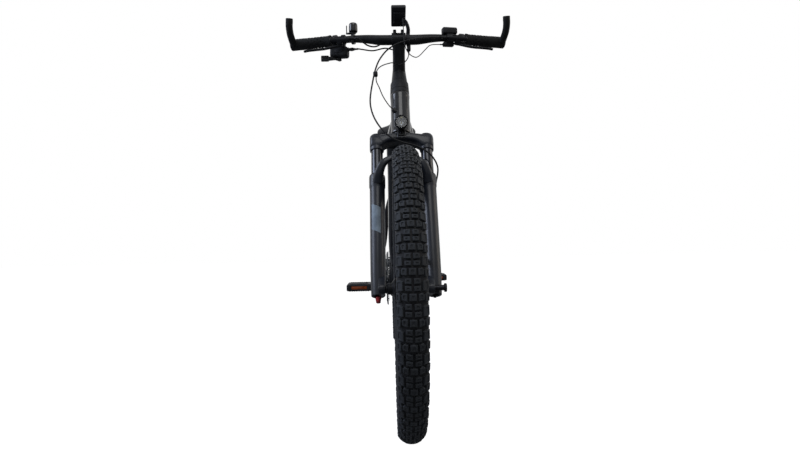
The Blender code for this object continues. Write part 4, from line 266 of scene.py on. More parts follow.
def loft(stations, sides=32, square=2.0, steps=6, frame_at=Matrix(), across=ACROSS):
    """A skin over smooth sections. A station is x, y, z, half width and half height."""
    points = smooth_points(stations, steps)
    rings = []
    for k, point in enumerate(points):
        before, after = points[max(k - 1, 0)], points[min(k + 1, len(points) - 1)]
        along = (Vector(after[:3]) - Vector(before[:3])).normalized()
        side = (across - along * across.dot(along)).normalized()
        up = along.cross(side)
        rings.append([frame_at @ (Vector(point[:3]) + side * (x * point[3]) + up * (y * point[4]))
                      for x, y in rounded(sides, square)])
    return skin(rings)


def rod(start, end, radius, sides=32, end_radius=None):
    """A round bar between two points: a cylinder, tapered where it has a second radius."""
    start, end = Vector(start), Vector(end)
    deselect()
    bpy.ops.mesh.primitive_cone_add(vertices=sides, radius1=radius,
                                    radius2=radius if end_radius is None else end_radius,
                                    depth=(end - start).length, location=(start + end) / 2,
                                    rotation=(end - start).to_track_quat("Z", "Y").to_euler())
    return settled(bpy.context.object)


def block(size, place=Matrix(), edge=0.0, segments=3):
    """A block with rounded edges, in the frame that it is given."""
    deselect()
    bpy.ops.mesh.primitive_cube_add(size=1.0, enter_editmode=True)
    bpy.ops.transform.resize(value=size)
    if edge:
        bpy.ops.mesh.bevel(offset=edge, segments=segments, affect="EDGES", clamp_overlap=True)
    bpy.ops.object.mode_set(mode="OBJECT")
    obj = bpy.context.object
    obj.matrix_world = place
    return settled(obj)


def turned(profile, place=Matrix(), steps=64, closed=False):
    """A lathe-turned shape about local Z, from a profile of radius and height, foot first."""
    deselect()
    first_radius, first_height = profile[0]
    bpy.ops.mesh.primitive_circle_add(vertices=steps, radius=first_radius, location=(0, 0, first_height),
                                      fill_type="NOTHING" if closed else "NGON", enter_editmode=True)
    for (r0, z0), (r1, z1) in zip(profile, profile[1:] + (profile[:1] if closed else [])):
        bpy.ops.mesh.extrude_region_move(TRANSFORM_OT_translate={"value": (0, 0, z1 - z0)})
        bpy.ops.transform.resize(value=(r1 / r0, r1 / r0, 1))
    bpy.ops.mesh.select_all(action="SELECT")
    bpy.ops.mesh.remove_doubles(threshold=0.001)
    bpy.ops.mesh.normals_make_consistent(inside=False)
    bpy.ops.object.mode_set(mode="OBJECT")
    obj = bpy.context.object
    obj.location = (0, 0, 0)
    obj.data.transform(placed((0, 0, first_height)))
    obj.data.transform(place)
    return obj


def from_curve(curve):
    """The skin of a curve as a mesh, welded where its points meet."""
    pick(new_object(curve))
    bpy.ops.object.convert(target="MESH")
    obj = bpy.context.object
    bpy.ops.object.mode_set(mode="EDIT")
    bpy.ops.mesh.select_all(action="SELECT")
    bpy.ops.mesh.remove_doubles(threshold=0.005)
    bpy.ops.mesh.normals_make_consistent(inside=False)
    bpy.ops.object.mode_set(mode="OBJECT")
    return obj


def pipe(points, radius, steps=6, resolution=5, radii=None, cyclic=False):
    """A round tube on a smooth curve through its points, with a radius factor at each."""
    spread = smooth_points([(*(Vector(p) * MM), r) for p, r in zip(points, radii or [1.0] * len(points))], steps)
    curve = bpy.data.curves.new("pipe", "CURVE")
    curve.dimensions = "3D"
    curve.bevel_depth = radius
    curve.bevel_resolution = resolution
    curve.use_fill_caps = not cyclic
    spline = curve.splines.new("POLY")
    if cyclic:
        spread = spread[:-1]
    spline.points.add(len(spread) - 1)
    for point, (x, y, z, r) in zip(spline.points, spread):
        point.co = (x / MM, y / MM, z / MM, 1.0)
        point.radius = r
    spline.use_cyclic_u = cyclic
    return from_curve(curve)


def seat_point(distance, x=0.0, back=0.0):
    return SEAT @ Vector((x, back, distance))


HEAD_RADIUS = 30.5
CABLE_PORT = Vector((-22.8, -25.9, 90.5))
PORT_LEAN = Vector((-0.72, -0.46, 0.52)).normalized()

head_shell = turned([(HEAD_RADIUS + r, z) for r, z in
                     ((1.2, 10), (2.0, 10.6), (2.0, 17), (1.4, 19), (0.4, 28), (-0.4, 45), (-0.7, 85), (-0.8, 125),
                      (-0.2, 148), (0.4, 152), (0.4, 159), (-0.2, 160))], STEER, 96)
port_boss = rod(STEER @ (CABLE_PORT - PORT_LEAN * 12), STEER @ (CABLE_PORT - PORT_LEAN * 0.4), 8.6, 32, 8)
head_piece = edged(joined(head_shell, port_boss), 0.8, 2, 50)
finish(head_piece, "head_tube_painted", "frame", *COATED, ["head_tube"])

# A soft black rubber grommet plugs the port round its cable.
grommet_rubber = mottled("moulded_epdm_rubber", "#131314", "#1e1e1f", (0.62, 0.8), 25, 0.8, 0.05)
cup = turned([(6.8, -3), (6.8, 0.2), (6.2, 1.4), (3.4, 1.6), (1.8, 0.6), (1.8, -3)],
             STEER @ placed(CABLE_PORT) @ facing(PORT_LEAN), 32, True)
finish(cup, "cable_port_grommet", "frame", "black_plastic", grommet_rubber)

# The down tube carries the battery. It swells from the head tube to a rounded box, and its bay opens
# towards the main triangle.
MOTOR_FRONT = BRACKET + Vector((0, -68, 36))
DOWN_START = CROWN_RACE + STEER_UP * 62
DOWN_END = MOTOR_FRONT + Vector((0, -10, 30))
DOWN_ALONG = (DOWN_END - DOWN_START).normalized()
DOWN = matrix_of(DOWN_START, ACROSS, DOWN_ALONG.cross(ACROSS), DOWN_ALONG)
DOWN_LENGTH = (DOWN_END - DOWN_START).length
TUBE_HALF_WIDTH, TUBE_HALF_DEPTH = 44, 37
BATTERY_LENGTH, BATTERY_WIDTH = 400, 70
BAY_END = DOWN_LENGTH - 52
BAY_START = BAY_END - BATTERY_LENGTH
BAY_DEPTH = 2 * TUBE_HALF_DEPTH - 10

box_stations = [(z, TUBE_HALF_WIDTH, TUBE_HALF_DEPTH) for z in (150, 300, DOWN_LENGTH - 100)]
down_stations = [(-4, 28.5, 23.5), (30, 38, 26), (65, 44.5, 28.8), (105, 45.5, 33.5), *box_stations,
                 (DOWN_LENGTH - 4, 37, 35)]
down_piece = loft([(0, 0, *station) for station in down_stations], 48, 3.6, 8, DOWN)
bay = block((BATTERY_WIDTH + 1.6, BAY_DEPTH, BATTERY_LENGTH + 1.6),
            DOWN @ placed((0, -TUBE_HALF_DEPTH - 10 + BAY_DEPTH / 2, (BAY_START + BAY_END) / 2)), 3, 3)
finish(edged(cut(down_piece, bay), 1.2, 3, 50), "down_tube_painted", "frame", *COATED, ["down_tube"])

top_start = CROWN_RACE + STEER_UP * 130
top_end = seat_point(420)


def along_top(share, half_width, half_height):
    return (*top_start.lerp(top_end, share), half_width, half_height)


top_piece = loft([along_top(0.03, 21, 24), along_top(0.10, 22.5, 24.8), along_top(0.25, 23.5, 21.5),
                  along_top(0.65, 20.5, 18), along_top(0.88, 17.5, 16.8), along_top(0.985, 15.5, 16)], 40, 2.7, 8)
finish(top_piece, "top_tube_painted", "frame", *COATED, ["top_tube"])

# The seat tube stands on the arch that the motor is bolted into. The arch is a plate bent round both
# of the motor's circles, drawn as their outline and pressed out to its width.
MOTOR_CIRCLES = ((*BRACKET.yz, 56), (*MOTOR_FRONT.yz, 60))
SIDE_VIEW = matrix_of(Vector(), BACK, UP, ACROSS)


def ray(turn):
    return Vector((cos(turn), sin(turn)))


def circle(radius, sides, centre=(0.0, 0.0), phase=0.0):
    return [(centre[0] + radius * cos(phase + 2 * pi * k / sides),
             centre[1] + radius * sin(phase + 2 * pi * k / sides)) for k in range(sides)]


def band(circles, offset=0.0, sides=48):
    """The outline of a rubber band round circles of x, y and radius."""
    cloud = sorted({(round(x, 4), round(y, 4)) for cx, cy, r in circles
                    for x, y in circle(r + offset, sides, (cx, cy))})

    def half_of(points):
        kept = []
        for p in points:
            while len(kept) > 1:
                (ax, ay), (bx, by) = kept[-2], kept[-1]
                if (bx - ax) * (p[1] - ay) - (by - ay) * (p[0] - ax) > 1e-6:
                    break
                kept.pop()
            kept.append(p)
        return kept[:-1]

    return half_of(cloud) + half_of(cloud[::-1])


def plate(outlines, thickness, place=Matrix(), edge=0.0, resolution=1):
    """A flat plate from closed outlines, with rounded edges. An outline inside another is a hole."""
    curve = bpy.data.curves.new("plate", "CURVE")
    curve.dimensions = "2D"
    curve.fill_mode = "BOTH"
    curve.extrude = thickness / 2 - edge
    curve.bevel_depth = edge
    curve.bevel_resolution = resolution
    curve.offset = -edge
    for outline in outlines:
        spline = curve.splines.new("POLY")
        spline.points.add(len(outline) - 1)
        for point, (x, y) in zip(spline.points, outline):
            point.co = (x, y, 0.0, 1.0)
        spline.use_cyclic_u = True
    obj = from_curve(curve)
    obj.data.transform(place)
    return obj


ARCH_WALL, ARCH_HALF_WIDTH = 10, 34
arch = plate([band(MOTOR_CIRCLES, ARCH_WALL), band(MOTOR_CIRCLES, 0.3)], 2 * ARCH_HALF_WIDTH, SIDE_VIEW)
below = block((200, 400, 200), placed((0, BRACKET.y - 34, BRACKET.z - 77)) @ Matrix.Rotation(-atan2(36, 68), 4, "X"))
arch = edged(cut(arch, below), 2, 3, 50)
seat_tube_profile = [(17.5, 52), (17.5, 400), (18, 446), (18, 469.4), (17.4, 470), (16, 470), (15.8, 469),
                     (15.8, 90), (12, 52)]
seat_shell = turned(seat_tube_profile, SEAT, 64, True)
finish(joined(seat_shell, arch), "seat_tube_painted", "frame", *COATED, ["seat_tube"])

# Chainstays and seatstays are round tapered tubes, welded into flat dropouts. The right one carries
# the replaceable hanger.
HUB_HALF, DROPOUT = 74, 9
DROPOUT_MIDDLE = HUB_HALF + DROPOUT / 2
DROPOUT_CIRCLES = ((*REAR_AXLE.yz, 17), (REAR_AXLE.y - 20, REAR_AXLE.z + 30, 10),
                   (REAR_AXLE.y - 40, REAR_AXLE.z - 2, 10))
HANGER = Vector((-(HUB_HALF + DROPOUT), REAR_AXLE.y + 10, REAR_AXLE.z - 28))


def side_plate(outlines, x, thickness, edge=0.0, resolution=2):
    return plate(outlines, thickness, placed((x, 0, 0)) @ SIDE_VIEW, edge, resolution)


stay_parts = []
for side in (-1, 1):
    route = [(side * x, BRACKET.y + y, z) for x, y, z in
             ((28, 40, 325), (38, 78, 326), (48.5, 133, 331), (53.5, 225, 341), (64, 340, 354))]
    route.append((side * DROPOUT_MIDDLE, REAR_AXLE.y - 34, 364.5))
    stay_parts.append(pipe(route, 11.8, 8, 10, [1.1, 1.05, 0.95, 0.9, 0.82, 0.52]))
    stay_parts.append(side_plate([band(DROPOUT_CIRCLES), circle(7.2, 40, DROPOUT_CIRCLES[0][:2])],
                                 side * DROPOUT_MIDDLE, DROPOUT, 1.2))
hanger_circles = ((*REAR_AXLE.yz, 15), (*HANGER.yz, 10))
stay_parts.append(side_plate([band(hanger_circles), circle(7.2, 40, hanger_circles[0][:2])], HANGER.x + 3, 6.4, 0.8))
bridge_end = Vector((38, BRACKET.y + 68, 326))
stay_parts.append(rod(bridge_end, Vector((-bridge_end.x, *bridge_end.yz)), 11, 40))
finish(stay_parts, "chainstays_painted", "frame", *COATED, ["chainstays"])

stay_top = seat_point(398)
stay_parts = []
for side in (-1, 1):
    route = [(side * x, stay_top.y + y, stay_top.z + z) for x, y, z in
             ((13, 10, 8), (30, 48, -33), (47.5, 100, -87), (52, 165, -152))]
    route += [(side * 60, REAR_AXLE.y - 100, REAR_AXLE.z + 106),
              (side * DROPOUT_MIDDLE, REAR_AXLE.y - 16, REAR_AXLE.z + 26)]
    stay_parts.append(pipe(route, 9, 8, 10, [1.1, 1.05, 1.0, 0.95, 0.85, 0.48]))
stay_parts.append(rod((-26, stay_top.y + 40, stay_top.z - 24), (26, stay_top.y + 40, stay_top.z - 24), 9, 40))
finish(stay_parts, "seatstays_painted", "frame", *COATED, ["seatstays"])


def weld_bead(name, loop, size=2.1):
    """A bead of weld: overlapping puddles about 3 mm apart, laid along a closed loop of points."""
    length = sum((Vector(b) - Vector(a)).length for a, b in zip(loop, loop[1:] + loop[:1]))
    ripples = round(length / 3.2)
    spread = smooth_points(loop + loop[:1], max(4, round(4 * ripples / len(loop))))[:-1]
    radii = [1.0 + 0.16 * cos(2 * pi * ripples * k / len(spread)) for k in range(len(spread))]
    bead = pipe([*spread, spread[0]], size, 1, 3, [*radii, radii[0]], True)
    return finish(bead, name, "frame", *COATED)


def landing(tube_point, tube_along, tube_half, post_point, post_along, post_radius, count=32, square=2.6):
    """Where a tube's skin lands on a round post: points round the joint of the two."""
    side = (ACROSS - tube_along * ACROSS.dot(tube_along)).normalized()
    up = tube_along.cross(side)
    loop = []
    for k in range(count):
        c, s = cos(2 * pi * k / count), sin(2 * pi * k / count)
        start = (tube_point + side * copysign(abs(c) ** (2 / square), c) * tube_half[0]
                 + up * copysign(abs(s) ** (2 / square), s) * tube_half[1]) - post_point
        flat = start - post_along * start.dot(post_along)
        step = tube_along - post_along * tube_along.dot(post_along)
        a, b, c2 = step.dot(step), flat.dot(step), flat.dot(flat) - post_radius ** 2
        if b * b - a * c2 < 0:
            return []
        loop.append(start + post_point + tube_along * (-b + sqrt(b * b - a * c2)) / a)
    return loop


for name, joint in (
        ("weld_top_tube_head", landing(top_start, (top_end - top_start).normalized(), (21.5, 24.5),
                                       CROWN_RACE, STEER_UP, HEAD_RADIUS)),
        ("weld_down_tube_head", landing(DOWN_START, DOWN_ALONG, (28.5, 25.3), CROWN_RACE, STEER_UP,
                                        HEAD_RADIUS, square=3.2)),
        ("weld_top_tube_seat", landing(top_end, (top_start - top_end).normalized(), (15.8, 16.2),
                                       BRACKET, SEAT_UP, 17.6))):
    if joint:
        weld_bead(name, joint)
weld_bead("weld_seat_tube_arch", [seat_point(72, *ray(a) * 18.2)
                                  for a in [pi * k / 12 for k in range(24)]])

# Tyres: 29 inch knobbed rubber, moulded in a two-part mould. The casing is one skin with open beads. The
# tread repeats 47 times round it, and each knob is drawn flat and then bent on to the crown.
TREAD_UNITS = 47
CASING_MIDDLE = 335
CASING_RISE, CASING_HALF = 26.9, 31
KNOB_HEIGHT = 5.5
TREAD_RADIUS = 368
FRONT_WHEEL = matrix_of(FRONT_AXLE, UP, BACK, -ACROSS)
REAR_WHEEL = matrix_of(REAR_AXLE, UP, BACK, -ACROSS)


def on_casing(across, around, height):
    """A point of the flat tread pattern, in mm, bent on to the casing of a wheel that turns about Z."""
    angle = across / 29.5
    x = CASING_HALF * sin(angle)
    r = CASING_MIDDLE + CASING_RISE * cos(angle)
    out = Vector((sin(angle) * CASING_RISE, cos(angle) * CASING_HALF)).normalized() * height
    turn = around / TREAD_RADIUS
    r, x = r + out.y, x + out.x
    return Vector((*ray(turn) * r, x))


def inset(outline, amount):
    """A convex outline drawn in by an amount, corner by corner."""
    moved = []
    for before, here, after in zip(outline[-1:] + outline[:-1], outline, outline[1:] + outline[:1]):
        a = (Vector(here) - Vector(before)).normalized()
        b = (Vector(after) - Vector(here)).normalized()
        normal_a, normal_b = Vector((-a.y, a.x)), Vector((-b.y, b.x))
        step = (normal_a + normal_b) / max(0.3, 1 + normal_a.dot(normal_b))
        moved.append(tuple(Vector(here) + step * amount))
    return moved


def knob(bm, outline, height, dimple):
    """One knob of the tread: drafted walls, a worn top edge, and a sunk sipe in its top."""
    levels = [(outline, -0.8), (inset(outline, 0.35), height - 0.7), (inset(outline, 1.0), height)]
    if dimple:
        levels += [(inset(outline, dimple), height), (inset(outline, dimple + 0.5), height - 1.3)]
    loops = [[bm.verts.new(on_casing(a, t, h)) for a, t in points] for points, h in levels]
    for low, high in zip(loops, loops[1:]):
        walls(bm, low, high)
    bm.faces.new(loops[-1])
    bm.faces.new(loops[0][::-1])


# Around the wheel, one unit is a row of three knobs, then two rows of two, with two tall shoulder knobs
# a side.
CENTRE_KNOBS = ([(-6.2, -7.2), (6.2, -7.2), (6.2, 7.0), (-6.2, 7.0)],)
MIRRORED_KNOBS = (
    ([(9.2, -8.0), (20.0, -5.6), (20.6, 4.0), (17.0, 8.0), (9.2, 6.6)], 5.2, 3.2),
    ([(1.9, 11.4), (13.2, 11.8), (13.8, 22.0), (1.9, 21.2)], 5.3, 3.4),
    ([(1.9, 24.6), (13.6, 26.0), (13.2, 36.6), (1.9, 36.6)], 5.3, 3.4),
    ([(23.4, -9.6), (33.6, -8.4), (34.8, 8.6), (24.6, 8.0), (22.2, 3.6)], 4.7, 3.4),
    ([(17.4, 12.0), (24.6, 11.4), (33.8, 12.4), (33.0, 33.2), (23.6, 33.8), (18.0, 30.6)], 4.6, 3.7))
tread_rubber = mottled("tread_rubber", "#1f2124", "#2f3236", (0.66, 0.88), 38, 0.7, 0.06,
                       {"Specular IOR Level": 0.16})
sidewall_rubber = mottled("sidewall_rubber", "#17181a", "#242528", (0.55, 0.75), 30, 0.5, 0.03)


def tyre(name, place, body, start):
    pitch = 2 * pi * TREAD_RADIUS / TREAD_UNITS
    bm = bmesh.new()
    for unit in range(TREAD_UNITS):
        around = start + unit * pitch
        for outline in CENTRE_KNOBS:
            knob(bm, [(a, t + around) for a, t in outline], KNOB_HEIGHT, 3.8)
        for outline, height, dimple in MIRRORED_KNOBS:
            knob(bm, [(a, t + around) for a, t in outline], height, dimple)
            knob(bm, [(-a, t + around) for a, t in outline][::-1], height, dimple)
    tread = mesh_piece(bm)
    tread.data.transform(place)
    outer = [(CASING_MIDDLE + CASING_RISE * cos(a), CASING_HALF * sin(a))
             for a in [radians(132 - 11 * k) for k in range(25)]]
    ribs = [(319.5, 13.4), (318.6, 12.2), (312, 12.2)]
    inner = [(CASING_MIDDLE + (CASING_RISE - 2.4) * cos(a), (CASING_HALF - 2.4) * sin(a))
             for a in [radians(-140 + 14 * k) for k in range(21)]]
    profile = ribs[::-1] + outer + [(r, -z) for r, z in ribs] + inner
    casing = turned(profile, place, 4 * TREAD_UNITS, True)
    finish(tread, name + "_tread", body, "tyre", tread_rubber, [name + "_tyre"], 30)
    finish(casing, name + "_casing", body, "tyre", sidewall_rubber)
    # Thin moulded rings on both sidewalls, as guides for seating the tyre on its rim.
    rings = []
    for side in (-1, 1):
        for radius, half in ((323.6, 23.2), (326.0, 26.2)):
            ring_profile = [(radius + a, side * (half + b)) for a, b in ((-0.5, -0.6), (0.5, 0.6), (-0.3, 1.0))]
            rings.append(turned(ring_profile, place, 4 * TREAD_UNITS, True))
    finish(rings, name + "_bead_rings", body, "tyre", sidewall_rubber)


# The turn of the front tyre puts a centre knob 3.3 degrees above straight ahead.
FRONT_TREAD_START = TREAD_RADIUS * radians(-90 + 3.3)
tyre("front", FRONT_WHEEL, "front_wheel_body", FRONT_TREAD_START)
tyre("rear", REAR_WHEEL, "rear_wheel_body", FRONT_TREAD_START + 11)

# Rims: extruded aluminium hoops, pinned and machined, anodised black. Nipples pull 28 steel spokes a
# wheel into them, crossed twice, and a valve stands opposite the joint.
anodised_black = mottled("anodised_black_aluminium", "#0f1012", "#1a1b1e", (0.34, 0.5), 45, 0.6, 0.015,
                         {"Metallic": 0.35})
ALLOY = ("satin_black", anodised_black)
black_steel = mottled("black_oxide_steel", "#141416", "#25262a", (0.3, 0.45), 20, 0.5, 0.01, {"Metallic": 0.8})
SCREW = ("steel", black_steel)
bright_steel = mottled("stainless_steel", "#8f9296", "#b4b7ba", (0.24, 0.4), 14, 0.5, 0.01, {"Metallic": 1.0})
SPOKES = 28
SPOKE_RADIUS = 1
RIM_BED = 291
FRONT_FLANGES = ((29, 24.5), (-29, 24.5))
REAR_FLANGES = ((33, 25.5), (-21.5, 25.5))


def rim(name, place, body, node):
    profile = [(317.3, 15.2), (317.5, 14.2), (317.2, 12.9), (314.6, 12.6), (313.4, 12.9), (311.4, 12.6), (311.2, 7.0),
               (308.8, 5.0), (308.6, 0.0)]
    well = profile + [(r, -z) for r, z in reversed(profile[:-1])]
    outside = [(313.0, -15.5), (300.0, -14.9), (294.0, -12.6), (290.8, -8.6), (290.0, -3.0), (290.0, 3.0),
               (290.8, 8.6), (294.0, 12.6), (300.0, 14.9), (313.0, 15.5)]
    hoop = turned(well + outside, place, 180, True)
    finish(hoop, name + "_rim", body, *ALLOY, [node])
    stem = rod(place @ Vector((0, RIM_BED, 0)), place @ Vector((0, 268, 0)), 3, 16)
    nut = rod(place @ Vector((0, 290.6, 0)), place @ Vector((0, 287.4, 0)), 5.4, 24)
    cap = rod(place @ Vector((0, 274, 0)), place @ Vector((0, 261, 0)), 3.9, 16, 3.2)
    finish(edged(joined(stem, nut, cap), 0.4), name + "_valve", body, "satin_black", black_steel)


def lacing(name, place, body, flanges):
    wires, nipples = [], []
    half_count = SPOKES // 2
    spacing = 2 * pi / half_count
    for side, (flange, radius) in enumerate(flanges):
        for k in range(half_count):
            lean = 1 if k % 2 == 0 else -1
            hub_angle = spacing * (k + 0.5 * side)
            rim_angle = hub_angle + 2 * lean * spacing
            start = Vector((*ray(hub_angle) * radius, flange + lean * 1.9))
            end = Vector((*ray(rim_angle) * RIM_BED, copysign(4, flange) + lean))
            head = Vector((start.x, start.y, flange - lean * 3))
            seat = end.lerp(start, 13 / (end - start).length)
            wires.append(rod(place @ start, place @ end, SPOKE_RADIUS, 8))
            wires.append(rod(place @ head, place @ Vector((start.x, start.y, flange + lean * 2.6)), 1.5, 8))
            nipples.append(rod(place @ seat, place @ end, 2, 8, 2.3))
    finish(wires, name + "_spokes", body, "satin_black", black_steel, angle=50)
    finish(nipples, name + "_nipples", body, "satin_black", bright_steel, angle=50)


def edge_of(x, r):
    """The rounded edge of a hub's flange."""
    return [(r + 2, x + 2.4), (r + 3.4, x + 1.4), (r + 3.4, x - 1.4), (r + 2, x - 2.4)]


def hub(name, place, body, half_width, bore, flanges, rotor_seat, drive_side):
    left_x, left_r = flanges[0]
    right_x, right_r = flanges[1]
    cap = bore + 3
    profile = [(bore, half_width), (cap, half_width), (cap, half_width - 4), (10, half_width - 5),
               (16.5, rotor_seat + 4), (16.5, rotor_seat), (22.5, rotor_seat), (22.5, rotor_seat - 2.5),
               (15.5, left_x + 6), *edge_of(left_x, left_r), (15, left_x - 9), (13, left_x - 14),
               (13, right_x + 14), (15, right_x + 9), *edge_of(right_x, right_r), *drive_side,
               (cap, -half_width), (bore, -half_width)]
    shell = turned(profile, place, 64, True)
    finish(shell, name + "_hub", body, *ALLOY, angle=30)


FRONT_HUB = matrix_of(FRONT_AXLE, -UP, BACK, ACROSS)
REAR_HUB = matrix_of(REAR_AXLE, -UP, BACK, ACROSS)
rim("front", FRONT_HUB, "front_wheel_body", "front_wheel")
rim("rear", REAR_HUB, "rear_wheel_body", "rear_wheel")
lacing("front", FRONT_HUB, "front_wheel_body", FRONT_FLANGES)
lacing("rear", REAR_HUB, "rear_wheel_body", REAR_FLANGES)
FRONT_ROTOR_SEAT, REAR_ROTOR_SEAT = 44.3, 57.5
hub("front", FRONT_HUB, "front_wheel_body", 54.6, 7.8, FRONT_FLANGES, FRONT_ROTOR_SEAT,
    [(15, -38), (15, -48), (11, -50)])
FREEHUB = 16.4
hub("rear", REAR_HUB, "rear_wheel_body", 73.6, 6.3, REAR_FLANGES, REAR_ROTOR_SEAT, [(FREEHUB, -26), (FREEHUB, -70)])

# Rotors: 180 mm discs, laser cut from 1.8 mm stainless sheet and ground flat, with a waved rim, vent
# holes in the braking track and six bolts to the hub.
ROTOR_RADIUS = 90
rotor_steel = new_material("ground_stainless_steel", {"Metallic": 1.0})
rotor_tint = add(rotor_steel, "TexNoise", {"Vector": add(rotor_steel, "TexCoord").outputs["Object"], "Scale": 70.0,
                                           "Detail": 3.0})
rotor_tone = add(rotor_steel, "ValToRGB", {"Fac": rotor_tint.outputs["Fac"]})
rotor_tone.color_ramp.elements[0].color = linear("#7e8186")
rotor_tone.color_ramp.elements[1].color = linear("#b1b4b8")
rotor_gloss = add(rotor_steel, "MapRange", {"Value": rotor_tint.outputs["Fac"], "To Min": 0.2, "To Max": 0.45})
feed(rotor_steel, "Base Color", rotor_tone.outputs["Color"])
feed(rotor_steel, "Roughness", rotor_gloss.outputs["Result"])
for name, place, body, seat in (("front_rotor", FRONT_HUB, "front_wheel_body", FRONT_ROTOR_SEAT),
                                ("rear_rotor", REAR_HUB, "rear_wheel_body", REAR_ROTOR_SEAT)):
    waves, holes = 6, []
    outline = [ray(a) * (ROTOR_RADIUS - 1.2 * (1 + cos(waves * a))) for a in [2 * pi * k / 144 for k in range(144)]]
    for k in range(waves):
        start, span, sweep = 2 * pi * k / waves, 2 * pi / waves, 0.30
        corners = [(26.0, start + 0.26), (25.5, start + 0.55), (26.0, start + span - 0.16),
                   (50.0, start + span + 0.08), (73.0, start + span + sweep - 0.05),
                   (73.4, start + 0.75 * span + sweep), (73.0, start + 0.5 * span + sweep),
                   (73.4, start + 0.25 * span + sweep + 0.05), (73.0, start + sweep + 0.09), (50.0, start + 0.36)]
        holes.append([ray(a) * r for r, a in corners])
        for step in range(4):
            for radius, shift in ((76.6, 0.0), (80.2, 0.07), (83.6, 0.14)):
                a = start + step * span / 4 + shift
                holes.append(circle(1.3, 10, ray(a) * radius))
    disc = plate([outline, circle(17.2, 48)] + holes, 1.8, place @ placed((0, 0, seat + 1.2)), 0.15)
    finish(disc, name + "_disc", body, "steel", rotor_steel, [name])
    bolts = []
    for k in range(6):
        a = 2 * pi * (k + 0.5) / 6
        spot = Vector((*ray(a) * 22, seat + 2))
        bolts.append(turned([(0.1, 0.6), (1.5, 0.6), (1.7, 2.2), (3, 2.2), (3.6, 1.4),
                             (3.6, 0.0)], place @ placed(spot), 20))
    finish(bolts, name + "_bolts", body, *SCREW)

# Fork: a forged crown with the steerer and both stanchions pressed in. The crown is satin charcoal, and
# the stanchions are hard anodised tubes, polished to a dark mirror.
fork_satin = mottled("satin_charcoal_fork_paint", "#0f1218", "#171b23", (0.36, 0.48), 80, 1.4, 0.015,
                     {"Coat Weight": 0.12, "Coat Roughness": 0.2, "Specular IOR Level": 0.14})
stanchion_coat = mottled("hard_anodised_stanchion", "#0b0d12", "#141821", (0.12, 0.2), 60, 0.4, 0.004,
                         {"Metallic": 0.4, "Coat Weight": 0.25, "Coat Roughness": 0.05})
LEG_X, LEG_Y = 74, -16
CROWN_HALF_RIGHT = [(LEG_X + 21, LEG_Y, -27, 11, 16.5), (LEG_X + 15, LEG_Y, -27, 20.5, 22.5),
                    (LEG_X - 8, LEG_Y, -28, 24, 24), (LEG_X - 30, -15, -19, 25.5, 17), (18, -11, -16, 32, 15)]


def leg_at(side):
    return STEER @ placed((side * LEG_X, LEG_Y, 0))


def across_loft(stations, sides, square, frame_at, steps=5):
    """A skin over sections that stand across X. A station is x, y, z, half depth and half height."""
    return skin([[frame_at @ Vector((x, y + back * depth, z + up * height)) for back, up in rounded(sides, square)]
                 for x, y, z, depth, height in smooth_points(stations, steps)])


crown_stations = CROWN_HALF_RIGHT + [(-x, y, z, w, h) for x, y, z, w, h in reversed(CROWN_HALF_RIGHT)]
crown = across_loft(crown_stations, 40, 3.2, STEER)
underside = across_loft([(38, -14, -38, 17, 9), (20, -12, -36, 20, 11), (-20, -12, -36, 20, 11),
                         (-38, -14, -38, 17, 9)], 32, 3.0, STEER)
crown = edged(cut(crown, underside), 1, 2, 40)
face = block((26, 20, 22), STEER @ placed((0, -36, -15)), 2)
race = turned([(28.4, -12), (28.4, 8.4), (27.4, 9.6), (20, 9.7)], STEER, 64)
crown_parts = [crown, face, race]
for side in (-1, 1):
    socket = turned([(19.2, -56), (20.6, -55), (21.4, -50), (21.6, -30), (20.8, -6), (19.2, -3.4), (16.5, -3)],
                    leg_at(side), 48)
    cap = turned([(15.2, -4), (15.2, -1.2), (14.4, -0.4), (9.5, -0.4), (9, -2.4), (0.2, -2.4)], leg_at(side), 48)
    crown_parts += [socket, cap]
finish(crown_parts, "fork_crown_forging", "steering", "fork_paint", fork_satin, ["fork_crown"], 32)
finish(turned([(14.3, 30), (14.3, 260)], STEER, 48), "fork_steerer", "steering", *ALLOY)
stanchions = [turned([(17.4, -259.5), (17.4, -40)], leg_at(side), 64) for side in (-1, 1)]
finish(stanchions, "fork_stanchions", "steering", "fork_paint", stanchion_coat)

# Lowers: one magnesium casting of two legs and an arch, machined for the wipers, axle and brake, then
# painted the same satin charcoal. Rubber wipers are pressed into the tops.
LEG_FOOT = -500
LEG_TOP = -142
AXLE_Y, AXLE_Z = -44, -488.02
wiper_rubber = mottled("wiper_seal_rubber", "#111112", "#1c1c1e", (0.5, 0.66), 18, 0.5, 0.03)
leg_profile = [(16.5, LEG_FOOT), (18.4, LEG_FOOT + 1.5), (18.9, LEG_FOOT + 12), (20.4, LEG_FOOT + 60),
               (21, LEG_FOOT + 130), (21.5, LEG_FOOT + 270), (21.7, LEG_TOP - 42), (22.2, LEG_TOP - 38),
               (23.3, LEG_TOP - 34), (23.5, LEG_TOP - 4), (23.2, LEG_TOP - 1.4), (22.2, LEG_TOP - 0.4),
               (18.2, LEG_TOP - 0.4), (18, LEG_TOP - 3), (18, LEG_FOOT + 60), (10, LEG_FOOT + 60), (10, LEG_FOOT + 3),
               (16, LEG_FOOT)]
lower_parts = []
